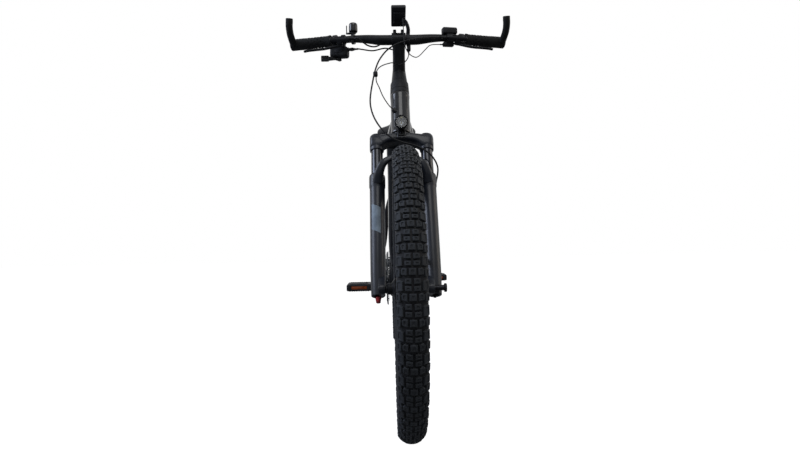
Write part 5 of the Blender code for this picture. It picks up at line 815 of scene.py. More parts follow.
for side in (-1, 1):
    at = leg_at(side)
    lower_parts.append(turned(leg_profile, at, 64, True))
    dropout = plate([band(((AXLE_Y, AXLE_Z, 15), (-20, -452, 10), (-12, -488, 10))),
                     circle(7.8, 32, (AXLE_Y, AXLE_Z))], 17, STEER @ placed((side * 63.8, 0, 0)) @ SIDE_VIEW, 1.6, 2)
    lower_parts.append(dropout)
    wiper = turned([(22, LEG_TOP - 0.6), (22.2, LEG_TOP + 1.6), (21, LEG_TOP + 3.2), (19.2, LEG_TOP + 3.6),
                    (18.6, LEG_TOP + 5.6), (17.7, LEG_TOP + 5.8), (17.7, LEG_TOP - 0.6)], at, 64, True)
    finish(wiper, ("right" if side < 0 else "left") + "_wiper_seal", "lowers", "black_plastic", wiper_rubber)
arch_half = [(-72, -30, -166), (-67, -48, -143), (-54, -60.5, -120.5), (-28, -61.5, -105), (0, -61.5, -101.5)]
arch_route = arch_half + [(-x, y, z) for x, y, z in reversed(arch_half[:-1])]
arch_points = smooth_points(arch_route, 6)
rings = []
for k, point in enumerate(arch_points):
    before, after = arch_points[max(k - 1, 0)], arch_points[min(k + 1, len(arch_points) - 1)]
    along = (after - before).normalized()
    forward = (-BACK + along * along.y).normalized()
    rise = along.cross(forward)
    spread = abs(k / (len(arch_points) - 1) - 0.5) * 2
    gusset = 1.0 + 1.3 * max(0.0, spread - 0.32)
    half_rise, half_forward = 8.4 * gusset, 7.9 * gusset
    rings.append([STEER @ (point + rise * c * half_rise + forward * s * half_forward)
                  for c, s in rounded(24, 2 / 0.72)])
lower_parts.append(skin(rings))
mount = plate([band(((-14, AXLE_Z + 100, 10), (22, AXLE_Z + 72, 7.5), (34, AXLE_Z + 32, 7.5),
                     (-14, AXLE_Z + 20, 10))),
               circle(3.2, 20, (22, AXLE_Z + 72)), circle(3.2, 20, (34, AXLE_Z + 32))],
              8, STEER @ placed((69, 0, 0)) @ SIDE_VIEW, 1, 2)
finish(lower_parts + [mount], "fork_lowers_casting", "lowers", "fork_paint", fork_satin, ["fork_lowers"], 34)

# A screw stands on each arch boss, and a nut closes the left leg.
screws = [turned([(0.2, 1.2), (1.6, 1.2), (1.8, 3.4), (3, 3.2), (3.6, 2), (3.6, -3)],
                 STEER @ placed((side * 66, -51.5, -152)) @ spun(90, "X"), 24) for side in (-1, 1)]
finish(screws, "arch_screws", "lowers", "steel", bright_steel)
foot_nut = turned([(0.2, -6), (3, -6), (3.2, -4), (5.2, -4.2), (6.4, -3.2), (6.4, 3.4)],
                  STEER @ placed((LEG_X, LEG_Y, LEG_FOOT)), 32)
finish(foot_nut, "left_foot_nut", "lowers", *SCREW)

# The rebound knob under the right leg is red anodised aluminium with finger flutes.
red_anodised = mottled("red_anodised_aluminium", "#640f18", "#7c1a22", (0.3, 0.42), 12, 0.4, 0.01,
                       {"Metallic": 0.35, "Coat Weight": 0.2, "Coat Roughness": 0.15})
knob_piece = turned([(0.4, -16.8), (5, -16.8), (6, -15.8), (6.6, -11), (7.9, -4.4), (8, -3.6), (7.4, -0.2),
                     (0.4, -0.2)], STEER @ placed((-LEG_X, LEG_Y, LEG_FOOT - 0.3)), 48)
flutes = []
for k in range(8):
    a = 2 * pi * k / 8
    foot = STEER @ Vector((-LEG_X + 9 * cos(a), LEG_Y + 9 * sin(a), LEG_FOOT - 22))
    top = STEER @ Vector((-LEG_X + 9.8 * cos(a), LEG_Y + 9.8 * sin(a), LEG_FOOT - 3.2))
    flutes.append(rod(foot, top, 1.9, 14))
knob_piece = cut(knob_piece, joined(*flutes))
finish(edged(knob_piece, 0.25, 2, 40), "rebound_knob_anodised", "knob", "red", red_anodised, ["rebound_knob"])

# The right leg has a plain pale panel printed round its front, cut on a slant.
panel_ink = mottled("pale_leg_graphic", "#4f5962", "#727e88", (0.35, 0.5), 40, 1.0, 0.004)
PANEL_ROWS, PANEL_COLUMNS = 12, 10
bm = bmesh.new()
rows = []
for row in range(PANEL_ROWS + 1):
    line = []
    for k in range(PANEL_COLUMNS + 1):
        a = radians(-66 - 71 * k / PANEL_COLUMNS)
        z = -250 - row * 6.5 + 13.5 * k / PANEL_COLUMNS
        r = 21.56 + 0.004 * (z + 230)
        line.append(bm.verts.new(STEER @ Vector((-LEG_X + r * cos(a), LEG_Y + r * sin(a), z))))
    rows.append(line)
for low, high in zip(rows, rows[1:]):
    for k in range(PANEL_COLUMNS):
        bm.faces.new((low[k], low[k + 1], high[k + 1], high[k]))
panel = apply_modifier(mesh_piece(bm), "SOLIDIFY", thickness=0.3, offset=0.0)
finish(panel, "right_leg_panel", "lowers", "fork_paint", panel_ink)

# Through axle of the front hub, screwed into the right leg, with its flanged head on the left.
axle_at = placed(FRONT_AXLE) @ spun(90, "Y")
front_pin = turned([(5.4, -74), (7, -73), (7.3, -72), (7.3, 96), (9.6, 96.4), (11.4, 97.4), (11.4, 101.4),
                    (10.2, 103.2), (3.6, 103.3), (3.5, 99.5), (0.2, 99.5)], axle_at, 48)
finish(front_pin, "front_axle_pin", "lowers", *SCREW, ["front_axle"])


def caliper_piece(place, tilt, slot_x, wheel, inside, outside):
    """A two-piston caliper: forged halves bolted round the disc, with bolts at both ends."""
    middle = placed(place) @ tilt
    x = (inside + outside) / 2
    halves = [block((outside - inside, 27.4, 39.4), middle @ placed((x, 0, 0)), 5, 4)]
    halves.append(block((11, 15, 57), middle @ placed((outside - 6, 0, 0)), 3))
    for y, z in ((-3, 8), (-3, -8)):
        spot = middle @ placed((outside - 1, y, z))
        halves.append(turned([(8.4, -6), (8.4, 0.6), (7.4, 1), (7, 0.5), (0.4, 0.5)], spot @ spun(90, "Y"), 32))
    body = joined(*halves)
    slot = rod((slot_x - 2.3, *wheel.yz), (slot_x + 2.3, *wheel.yz), ROTOR_RADIUS + 4, 96)
    return middle, cut(body, slot)


def caliper_bolts(middle, outside):
    return [turned([(0.2, 2.2), (2.2, 2.2), (2.4, 5), (4.2, 5), (4.6, 4.2), (4.6, -1)],
                   middle @ placed((outside - 12.5, 0, z)) @ spun(-90, "Y"), 24) for z in (-24, 24)]


FRONT_CALIPER = STEER @ Vector((0, 24, AXLE_Z + 43))
caliper_tilt = STEER.to_3x3().to_4x4() @ spun(-34, "X")
middle, caliper_body = caliper_piece(FRONT_CALIPER, caliper_tilt, 45.5, FRONT_AXLE, 30, 64.7)
finish(edged(caliper_body, 0.5, 2, 50), "front_caliper_body", "lowers", *ALLOY, ["front_caliper"])
finish(caliper_bolts(middle, 64.7), "front_caliper_bolts", "lowers", *SCREW)

# Headset cover and stem: a plastic cone over the bearing, and a one-piece forged stem whose conical foot
# grips the steerer. Its arm rises to a split bar clamp under two bolts.
abs_plastic = mottled("textured_abs_plastic", "#131416", "#1f2023", (0.45, 0.6), 40, 0.5, 0.03)
MOULDED = ("black_plastic", abs_plastic)
STEM_START, STEM_TOP = 207.6, 269.6
cover = turned([(27, 207.1), (28.2, 206.6), (28.8, 205.2), (30, 178), (29.9, 177.2), (29, 176.7), (29, 175.9),
                (30, 175.4), (30.2, 174.6), (30.6, 161.2), (30.2, 160.4), (14.9, 160.4),
                (14.9, 207.1)], STEER, 96, True)
COVER_PORT_OUT = Vector((0, 0.64, 0.77))
cover_ports = [Vector((side * 8.5, 27.5, STEM_START - 16)) for side in (-1, 1)]
cover = cut(cover, *[rod(STEER @ (mouth - COVER_PORT_OUT * 8.5), STEER @ (mouth + COVER_PORT_OUT * 10), 3.2, 24)
                     for mouth in cover_ports])
finish(cover, "headset_cover_cone", "steering", *MOULDED, ["headset_cover"], 30)

BAR_MIDDLE = Vector((0, -70, 330))
HEAD_ANGLE = radians(66.5)
STEM_LIFT = Vector((0, -cos(HEAD_ANGLE), sin(HEAD_ANGLE)))
CLAMP_BOLT_X = 12.5
stem_foot = turned([(25.6, STEM_START), (26.2, STEM_START + 0.8), (24.8, STEM_START + 14), (22.4, STEM_START + 38),
                    (20.6, STEM_TOP - 4), (19.6, STEM_TOP - 1), (17.8, STEM_TOP - 0.2), (6.5, STEM_TOP - 0.2),
                    (6.2, STEM_TOP - 3), (0.3, STEM_TOP - 3)], STEER, 72)
arm_start = Vector((0, 4, STEM_TOP - 24))
arm = loft([(*arm_start.lerp(BAR_MIDDLE, share), half_width, half_height) for share, half_width, half_height in
            ((0, 20.4, 17.9), (0.25, 20.2, 17.2), (0.55, 19.8, 16.3), (0.8, 20.1, 16.8), (1, 20.4, 17.4))],
           40, 3.0, 6, STEER)
clamp_profile = [(16.2, -22.3), (21.2, -22.3), (21.9, -21.6), (21.9, 21.6), (21.2, 22.3), (16.2, 22.3)]
BAR_AT = STEER @ placed(BAR_MIDDLE)
sideways = spun(90, "Y")
clamp = turned(clamp_profile, BAR_AT @ sideways, 64, True)
bosses = [block((10.6, 20, 18), STEER @ placed(BAR_MIDDLE + STEM_LIFT * 20.6 + ACROSS * side * CLAMP_BOLT_X), 2.4)
          for side in (-1, 1)]
finish(edged(joined(stem_foot, arm, clamp, *bosses), 0.6, 2, 50), "stem_forging", "steering", *ALLOY, ["stem"], 32)
# A thin near-black sheet through the clamp's split plane is painted shade. It draws the shaded gap between the clamp
# halves as a dark line.
split = block((45.2, 44.4, 0.7), STEER @ placed(BAR_MIDDLE), 0.1, 1)
finish(split, "stem_clamp_split_shade", "steering", "satin_black", grommet_rubber)


def socket_screw(place, head=4.4, height=4.2, socket=2.2, sides=24):
    """A socket head cap screw that stands along local Z from its seat at 0."""
    return turned([(0.2, 1.6), (socket, 1.6), (socket * 1.05, height), (head - 0.5, height), (head, height - 0.6),
                   (head, -1)], place, sides)


lift_turn = facing(STEM_LIFT)
stem_screws = [socket_screw(STEER @ placed(BAR_MIDDLE + STEM_LIFT * 28.6 + ACROSS * side * CLAMP_BOLT_X)
                            @ lift_turn) for side in (-1, 1)]
finish(stem_screws, "stem_clamp_screws", "steering", *SCREW)

# Handlebar: butted aluminium tube, bent to rise and sweep, and anodised. It is 31.8 mm in the clamp, and
# all that is clamped on it takes its place from the bar's axis.
COCKPIT = placed(STEER @ BAR_MIDDLE)
BAR_END = 335
BAR_ROUTE = ((0, 0, 0, 15.9), (50, 0, 0, 15.9), (120, 12, 10, 12.5), (180, 26, 12, 11.1), (BAR_END, 66, 12, 11.1))


def bar_run(x):
    """The straight run of the bar's axis that holds x, and x's share of its length."""
    for start, end in zip(BAR_ROUTE, BAR_ROUTE[1:]):
        if abs(x) <= end[0] or end[0] == BAR_END:
            return start, end, (abs(x) - start[0]) / (end[0] - start[0])


def bar_frame(x):
    """A frame on the bar's axis: X along the bar towards the left, Y back."""
    (x0, y0, z0, _), (x1, y1, z1, _), share = bar_run(x)
    side = copysign(1.0, x)
    along = Vector((x1 - x0, side * (y1 - y0), side * (z1 - z0))).normalized()
    back = UP.cross(along).normalized()
    centre = Vector((x, y0 + (y1 - y0) * share, z0 + (z1 - z0) * share))
    return COCKPIT @ matrix_of(centre, along, back, along.cross(back))


def bar_radius(x):
    start, end, share = bar_run(x)
    return start[3] + (end[3] - start[3]) * share


def bar_ring(x, half_width, radius):
    """A clamp ring round the bar, bored to fit, with rounded edges."""
    bore = max(bar_radius(abs(x) - half_width), bar_radius(abs(x) + half_width)) + 0.2
    profile = [(bore, -half_width), (radius - 0.8, -half_width), (radius, -half_width + 0.8),
               (radius, half_width - 0.8), (radius - 0.8, half_width), (bore, half_width)]
    return turned(profile, bar_frame(x) @ sideways, 48, True)


half_route = [(15, 0, 0, 15.9), (50, 0, 0, 15.9), (62, 1, 0.8, 15.7), (90, 5, 4.6, 14.2), (120, 11, 8.6, 12.4),
              (150, 18.6, 11.2, 11.3), (180, 26, 12, 11.1), (260, 46.6, 12, 11.1), (BAR_END, 66, 12, 11.1)]
full_route = [(-x, y, z, r) for x, y, z, r in reversed(half_route)] + half_route
bar_tube = pipe([COCKPIT @ Vector(p[:3]) for p in full_route], 15.9, 5, 12, [p[3] / 15.9 for p in full_route])
finish(bar_tube, "handlebar_tube", "steering", *ALLOY, ["handlebar"])

# Grips: soft compound moulded over a sleeve, with a palm wing and rows of raised pads. The outer clamp
# carries a forged bar end, wrapped in the same rubber.
grip_rubber = mottled("soft_grip_rubber", "#111213", "#1c1d1e", (0.68, 0.84), 26, 0.6, 0.05)


def wing(z, a):
    """How far the palm wing stretches the grip's section."""
    return 1.0 + 0.24 * exp(-((z + 38) / 30) ** 2) * (sin(a) > 0)


for side, name in ((-1, "right_grip"), (1, "left_grip")):
    frame_at = bar_frame(side * BAR_END)
    out = frame_at @ spun(side * 90, "Y")
    stops = [(0.0, 17.2), (-2, 17.8), (-12, 18.2), (-28, 17.7), (-50, 17.0), (-90, 16.3), (-110, 17.6), (-116, 18.8),
             (-119.4, 19.0), (-120, 18.4)]
    rings = []
    for z, r in [(a[0] + (b[0] - a[0]) * t, a[1] + (b[1] - a[1]) * t) for a, b in zip(stops, stops[1:])
                 for t in (0, 0.5)] + [stops[-1]]:
        ring = []
        for k in range(48):
            a = 2 * pi * k / 48
            pad = 0.35 * (-108 < z < -6) * (cos(24 * a) > 0)
            ring.append(out @ Vector(((r + pad) * cos(a), (r + pad) * sin(a) * wing(z, a), z)))
        rings.append(ring)
    sleeve = skin(rings)
    bm = bmesh.new()
    for row in range(9):
        for column in range(10):
            z = -14 - row * 10.4
            a0 = 2 * pi * (column + 0.5 * (row % 2)) / 10
            corners = []
            for da, dz in ((-0.22, 0), (0, -4.2), (0.22, 0), (0, 4.2)):
                r = 17.4 + 0.6 * exp(-((z + 12) / 20) ** 2)
                corners.append((r, a0 + da, wing(z + dz, a0 + da), z + dz))
            low = [bm.verts.new(out @ Vector(((r - 0.8) * cos(a), (r - 0.8) * sin(a) * w, zz)))
                   for r, a, w, zz in corners]
            high = [bm.verts.new(out @ Vector(((r + 0.5) * cos(a0 + (a - a0) * 0.75),
                                               (r + 0.5) * sin(a0 + (a - a0) * 0.75) * w,
                                               z + (zz - z) * 0.75))) for r, a, w, zz in corners]
            walls(bm, low, high)
            bm.faces.new(high)
            bm.faces.new(low[::-1])
    pads = mesh_piece(bm)
    ring_at = bar_frame(side * 341)
    collar = turned([(10.5, -12.3), (17.6, -12.3), (18.5, -11.4), (18.5, 11.4), (17.6, 12.3),
                     (0.3, 12.3)], ring_at @ sideways, 48)
    horn_route = [(side * 345, 69, 12), (side * 345.5, 54, 12.6), (side * 346, 38, 15), (side * 347.5, 12, 26),
                  (side * 347.4, -2, 35.5), (side * 347, -10, 46), (side * 345.6, -15.5, 57), (side * 345, -18, 66)]
    horn = pipe([COCKPIT @ Vector(p) for p in horn_route], 11.4, 5, 10, [1.0, 1.02, 1.0, 0.98, 0.97, 0.98, 1.0, 0.98])
    finish(edged(joined(sleeve, collar, horn), 0.5, 2, 55), name + "_sleeve", "steering", "grip_rubber",
           grip_rubber, [name])
    finish(pads, name + "_pads", "steering", "grip_rubber", grip_rubber, angle=20)
    tip = Vector(horn_route[-1])
    lean = (tip - Vector(horn_route[-2])).normalized()
    plug = turned([(11, -3), (11, -0.2), (10.2, 0.5), (0.3, 0.6)], COCKPIT @ placed(tip) @ facing(lean), 40)
    grip_screw = socket_screw(ring_at @ placed((0, -17.4, -3)) @ spun(90, "X"), 3.4, 2.6, 1.8)
    finish(plug, name + "_end_plug", "steering", *MOULDED)
    finish(grip_screw, name + "_screw", "steering", *SCREW)

# Brakes: master cylinders cast in one with their bar clamps, and forged two-finger levers on a pin. Each
# lever's frame stands on the pivot that its blade turns about.
BRAKE_PLACE = 205
LEVER_TILT = radians(35)


def lever_frame(side):
    """The brake lever's frame: X outwards along the bar, Y away from the bar, Z on the pivot's axis."""
    bar = bar_frame(side * BRAKE_PLACE)
    turn = bar.to_3x3()
    out = turn @ Vector((side, 0, 0))
    away = turn @ Vector((0, -cos(LEVER_TILT), -sin(LEVER_TILT)))
    return matrix_of(bar @ Vector((-side * 24, -19.8, -24.1)), out, away, out.cross(away))


def ribbon(points):
    """The outline of a flat bent arm through x, y and half width."""
    points = smooth_points(points, 4)
    left, right = [], []
    for k, (x, y, half) in enumerate(points):
        before, after = points[max(k - 1, 0)], points[min(k + 1, len(points) - 1)]
        along = Vector((after[0] - before[0], after[1] - before[1])).normalized()
        left.append((x - along.y * half, y + along.x * half))
        right.append((x + along.y * half, y - along.x * half))
    return left + right[::-1]


for side, name in ((-1, "right_brake"), (1, "left_brake")):
    bar, lever = bar_frame(side * BRAKE_PLACE), lever_frame(side)
    ring = bar_ring(side * BRAKE_PLACE, 7, 17.4)
    neck = block((12.6, 24, 14), bar @ placed((0, -20, -7)), 3)
    start, foot = Vector((side * 7, -30, -10)), Vector((-side * 59, -28, -10))
    turn = facing(foot - start)
    length = (foot - start).length
    barrel = turned([(0.3, 0.0), (7.4, 0.0), (8.8, 1.4), (8.9, 20), (8.6, 22), (8.6, 24), (8.8, 26),
                     (7.9, length - 6), (7.5, length - 1.2), (6.6, length), (4.3, length), (4.3, length + 3),
                     (5.2, length + 3.2), (5.2, length + 7.5), (4.1, length + 8), (3.9, length + 11),
                     (2.8, length + 11.2)], bar @ placed(start) @ turn, 40)
    lid = block((34, 13, 5), bar @ placed((-side * 24, -29, -2.6)), 1.6)
    over = -side
    hinge = block((17, 16, 12), lever @ placed((0, 0, over * 9.8)), 2.5)
    body_parts = [ring, neck, barrel, lid, hinge]
    finish(edged(joined(*body_parts), 0.4, 2, 55), name + "_master_cylinder", "steering", *ALLOY, [name + "_body"])
    pin = turned([(0.2, -4.6), (2, -4.6), (2.6, -4), (2.6, 14)],
                 lever @ (Matrix() if over > 0 else spun(180, "X")), 24)
    fixings = [pin] + [socket_screw(bar @ placed((-side * 24 + dx, -29, -0.4)), 1.9, 1.2, 1, 16) for dx in (-13, 13)]
    fixings.append(socket_screw(bar @ placed((0, -33, -4)) @ spun(90, "X"), 3.6, 3, 2))
    finish(fixings, name + "_fixings", "steering", *SCREW)
    blade_outline = ribbon([(-8, 2, 4.5), (0, 0, 7.6), (12, 6, 6.4), (28, 18, 5.0), (50, 26, 4.7), (78, 26, 4.7),
                            (100, 27, 4.8), (110, 31, 4.4), (114, 34, 3.6)])
    blade = plate([blade_outline, circle(2.9, 20), circle(2, 14, (37, 21.7)),
                   circle(1.7, 14, (46, 25))], 6.8, lever, 1.6, 3)
    finish(blade, name + "_lever_blade", name + "_lever_body", *ALLOY, [name + "_lever"])

# Shifter: a moulded case under the bar with two thumb triggers on one pin. Each trigger is a flat arm
# with a ribbed thumb pad at its end.
SHIFTER_PLACE = 178
SHIFTER_FLOOR = -56
bar = bar_frame(-SHIFTER_PLACE)
ring = bar_ring(-SHIFTER_PLACE, 6, 15.9)
neck = block((9.6, 18, 20), bar @ placed((0, 2, -18)), 2)
case = block((60, 32, 34.6), bar @ placed((-16, 10, SHIFTER_FLOOR + 17.6)), 8, 5)
nose = turned([(6.8, 0), (6.6, 7), (5, 9), (4.9, 14), (5.6, 14.4), (5.6, 22), (4.2, 24), (4, 28), (2.5, 28.2)],
              bar @ placed((8, 8, -30)) @ spun(90, "Y"), 32)
window = block((26, 3, 12), bar @ placed((-14, -5.6, SHIFTER_FLOOR + 20)), 1.2)
finish(edged(joined(ring, neck, case, nose, window), 0.4, 2, 55), "shifter_case", "steering", *MOULDED,
       ["shifter_body"])
trigger_pivot = bar @ Vector((-16, 10, SHIFTER_FLOOR))
shift_fixings = [socket_screw(placed(trigger_pivot + Vector((0, 0, -8.2))) @ spun(180, "X"), 4.6, 1.6, 1.8),
                 socket_screw(bar @ placed((0, -7, -20)) @ spun(90, "X"), 3.2, 2.4, 1.7)]
finish(shift_fixings, "shifter_screws", "steering", *SCREW)
for name, level, outline, pad_size, pad_at in (
        ("shift_lever", 0, [(6, 0, 5), (0, 0, 7.4), (-18, 4, 6), (-40, 10, 6), (-60, 16, 5.4)], (26, 7, 20),
         (-50, 21, 8.2)),
        ("release_lever", 1, [(6, 0, 5), (0, 0, 7.4), (-14, -10, 5), (-26, -20, 4.4)], (14, 5, 9), (-27, -23.5, -1))):
    place = placed(trigger_pivot - Vector((0, 0, 0.3 + (level + 0.5) * 3.6 + level * 0.3)))
    trigger_arm = plate([ribbon(outline), circle(3.6, 20)], 3.4, place, 0.7, 2)
    thumb = block(pad_size, place @ placed(pad_at), 0.42 * min(pad_size[1:]), 4)
    ridges = [block((pad_size[0] * 0.7, 0.8, 0.8), place @ placed(
        (pad_at[0], pad_at[1] + pad_size[1] / 2, pad_at[2] + dz)), 0.2, 1) for dz in (-2.4, 0, 2.4)]
    finish(joined(trigger_arm, thumb, *ridges), name + "_arm", name + "_body", *MOULDED, [name])

# Assist remote on the left: a moulded wedge with a rubber rocker of two raised arrows, which tilts in
# a pocket cut into its face.
REMOTE_PLACE = 166
bar = bar_frame(REMOTE_PLACE)
wedge = block((50, 22, 22), bar @ placed((0, -3, 22.5)), 5.5, 5)
under = block((36, 16, 14), bar @ placed((-4, 3, -19)), 3.4, 4)
ring = bar_ring(REMOTE_PLACE, 12, 16.4)
pocket = block((20.6, 10, 14.6), bar @ placed((0, 9.5, 23.5)), 0.6, 1)
finish(edged(cut(joined(wedge, under, ring), pocket), 0.5, 2, 50), "remote_housing", "steering", *MOULDED, ["remote"])
rocker_at = bar @ placed((0, 7.8, 23.5))
rocker = block((20, 4.5, 14), rocker_at, 1.2, 3)
arrows = []
for side in (-1, 1):
    tri = [(side * 7.4, 0), (side * 3.6, 2.6), (side * 3.6, -2.6)]
    arrows.append(plate([tri if side > 0 else tri[::-1]], 0.8, rocker_at @ placed((0, 2.5, 0)) @ spun(90, "X")))
finish(rocker, "remote_rocker_pad", "rocker", "grip_rubber", grip_rubber, ["remote_rocker"])
arrow_ink = mottled("white_rubber_ink", "#c9cbcd", "#dcdee0", (0.5, 0.6), 6, 0.5, 0.01)
finish(arrows, "remote_rocker_arrows", "rocker", "grip_rubber", arrow_ink)

# Display: a slim unit behind hard-coated glass, in a tray on an arm that clamps beside the stem. Its
# screen is off.
DISPLAY_TILT = spun(-26, "X")
display_at = COCKPIT @ placed((0, -22, 69)) @ DISPLAY_TILT
display_body = block((46, 78, 14), display_at, 4, 5)
finish(display_body, "display_case", "steering", "screen", abs_plastic, ["display"])
glass_black = new_material("coated_display_glass", {"Base Color": linear("#07080a"), "Roughness": 0.06,
                                                    "Coat Weight": 1.0, "Coat Roughness": 0.03, "IOR": 1.52})
smear = add(glass_black, "TexNoise", {"Vector": add(glass_black, "TexCoord").outputs["Object"], "Scale": 60.0,
                                      "Detail": 4.0})
smear_gloss = add(glass_black, "MapRange", {"Value": smear.outputs["Fac"], "To Min": 0.03, "To Max": 0.16})
feed(glass_black, "Roughness", smear_gloss.outputs["Result"])
pane = block((40.4, 71, 0.8), display_at @ placed((0, 0, 6.9)), 0.35, 2)
finish(pane, "display_glass", "steering", "screen", glass_black)
arm_x = 30
tray_centre = Vector((0, -22, 69)) + DISPLAY_TILT @ Vector((2, 0, -9.8))
tray = block((34, 44, 5), COCKPIT @ placed(tray_centre) @ DISPLAY_TILT, 1.6)
arm_route = [(arm_x, -4, 16), (arm_x, -16, 32), (arm_x - 6, -22, 48),
             tuple(tray_centre + DISPLAY_TILT @ Vector((8, 4, -3)))]
display_arm = pipe([COCKPIT @ Vector(p) for p in arm_route], 5.9, 8, 8, [1.1, 1.0, 0.95, 1.1])
arm_ring = bar_ring(arm_x, 5, 20.3)
plug_block = block((12, 16, 22), bar_frame(arm_x) @ placed((2, 2, -25)), 3)
finish(edged(joined(tray, display_arm, arm_ring, plug_block), 0.4, 2, 55), "display_arm_moulding", "steering",
       *MOULDED, ["display_arm"])

# Bell: a small steel drum with a rounded top, painted black, over a sprung striker. It is clamped round
# the bar between the stem and the shifter.
bar = bar_frame(-146)
bell_at = placed(bar.translation)
dome = turned([(5.6, 12), (5.6, 22.6), (12.3, 22.6), (13.4, 23.4), (14, 25), (14.2, 29), (13.9, 44), (13.2, 48.6),
               (11.4, 51), (8.4, 52.1), (3.4, 52.4), (0.3, 52.5)], bell_at, 64)
finish(joined(dome, bar_ring(-146, 5, 16.4)), "bell_dome", "steering", "black_plastic", powder_coat, ["bell"], 40)
striker_at = placed(bar.translation + Vector((0, 0, 19.8)))
striker_arm = plate([band(((0, 0, 9), (-20, 4, 4))), circle(6, 28)], 3.4, striker_at, 0.6)
striker_tab = block((3, 7, 27.8), striker_at @ placed((-21.5, 4, 12.1)), 1.2)
finish(joined(striker_arm, striker_tab), "bell_striker_spring", "striker", *MOULDED, ["bell_striker"])

# Headlight: a turned aluminium housing with cooling grooves behind a clear lens and a deep reflector,
# on a bracket screwed to the crown.
lamp_at = STEER @ placed((0, -60, 16)) @ spun(113.5, "X")
lamp_shell = turned([(17.4, 18.5), (18.6, 18.5), (20.4, 17), (21, 15.6), (21, 12.4), (20.2, 12), (20.2, 11.2),
                     (21, 10.8), (21, 5.6), (20.4, 4.4), (18.4, -4), (16.8, -11.6), (14, -15), (8.2, -18.3),
                     (0.3, -18.5), (0.3, -16), (14, -9), (17.4, 6)], lamp_at, 72, True)
foot = block((22, 4, 26), STEER @ placed((0, -48.3, -8)), 1.4)
lamp_neck = block((14, 16, 10), STEER @ placed((0, -54, 1)), 2)
finish(joined(lamp_shell, foot, lamp_neck), "headlight_housing", "steering", "lamp", anodised_black, ["headlight"], 30)
chrome = new_material("vacuum_metallised_reflector", {"Metallic": 1.0, "Base Color": linear("#8b8e92"),
                                                      "Roughness": 0.08})
facets = add(chrome, "TexVoronoi", {"Vector": add(chrome, "TexCoord").outputs["Object"], "Scale": 380.0})
facet_bump = add(chrome, "Bump", {"Height": facets.outputs["Distance"], "Strength": 0.4, "Distance": 0.3 * MM})
feed(chrome, "Normal", facet_bump.outputs["Normal"])
bowl = turned([(16.9, 12), (14.6, 4), (10.5, -2.4), (5.2, -5.2), (3.2, -5.4), (3.2, -7.4), (11.2, -5), (16, 2),
               (17.2, 11)], lamp_at, 64, True)
finish(bowl, "headlight_reflector", "steering", "lamp", chrome)
led_plastic = mottled("yellow_phosphor_chip", "#c9b45c", "#dcca7a", (0.4, 0.5), 3, 0.3, 0.01)
chip = block((4.4, 4.4, 1.2), lamp_at @ placed((0, 0, -5.8)), 0.3, 1)
finish(chip, "headlight_chip", "steering", "lamp", led_plastic)
lens_clear = new_material("clear_polycarbonate_lens", {"Transmission Weight": 1.0, "IOR": 1.58, "Roughness": 0.03,
                                                       "Base Color": linear("#f2f5f7")})
lens_haze = add(lens_clear, "TexNoise", {"Vector": add(lens_clear, "TexCoord").outputs["Object"], "Scale": 90.0,
                                         "Detail": 3.0})
lens_gloss = add(lens_clear, "MapRange", {"Value": lens_haze.outputs["Fac"], "To Min": 0.0, "To Max": 0.10})
feed(lens_clear, "Roughness", lens_gloss.outputs["Result"])
lens = turned([(17.2, 14.2), (17.2, 16.2), (12, 17.1), (6, 17.5), (0.3, 17.6), (0.3, 15.4),
               (12, 14.9)], lamp_at, 64, True)
finish(lens, "headlight_lens", "steering", "lamp", lens_clear)
bracket_screw = socket_screw(STEER @ placed((0, -50.2, -13)) @ spun(90, "X"), 3.8, 2.8, 2)
finish(bracket_screw, "headlight_screw", "steering", *SCREW)

# Drive unit: a magnesium casting, painted dark grey, that hangs in the frame's arch. Its side covers are
# ribbed and screwed on all round, and the crank spindle passes through the rear boss.
motor_paint = mottled("cast_magnesium_paint", "#131416", "#1e2023", (0.40, 0.56), 45, 0.9, 0.05)
MOTOR_HALF = 38
spindle_hole = circle(13.4, 40, BRACKET.yz)
motor_parts = [side_plate([band(MOTOR_CIRCLES), spindle_hole], 0, 2 * MOTOR_HALF, 3, 3),
               side_plate([band(MOTOR_CIRCLES, -10), spindle_hole], 0, 2 * MOTOR_HALF + 9.6, 2.5, 3),
               turned([(13.2, -48.6), (25.6, -48.6), (27, -47.2), (27, 47.2), (25.6, 48.6),
                       (13.2, 48.6)], placed(BRACKET) @ sideways, 64, True)]
for side in (-1, 1):
    for k in range(7):
        rib = Vector((side * 43, MOTOR_FRONT.y + (k * 9 - 30), MOTOR_FRONT.z + 4))
        length = (52, 74, 84, 86, 82, 70, 46)[k]
        motor_parts.append(block((3, 2.6, length), placed(rib) @ spun(-28, "X"), 1, 2))
finish(motor_parts, "drive_unit_casting", "frame", "motor_grey", motor_paint, ["drive_unit"], 35)
motor_screws = []
rim_line = band(MOTOR_CIRCLES, -5)
for side in (-1, 1):
    turn = spun(side * 90, "Y")
    for k in range(8):
        y, z = rim_line[k * len(rim_line) // 8]
        motor_screws.append(socket_screw(placed((side * (MOTOR_HALF - 0.4), y, z)) @ turn, 3.4, 3.2, 1.8, 16))
    for y, z in ((BRACKET.y + 60, BRACKET.z - 12), (MOTOR_FRONT.y - 46, MOTOR_FRONT.z + 46),
                 (BRACKET.y + 34, BRACKET.z + 51)):
        motor_screws.append(socket_screw(placed((side * (ARCH_HALF_WIDTH - 0.5), y, z)) @ turn, 4.2, 3.4, 2.4, 20))
finish(motor_screws, "drive_unit_screws", "frame", *SCREW)

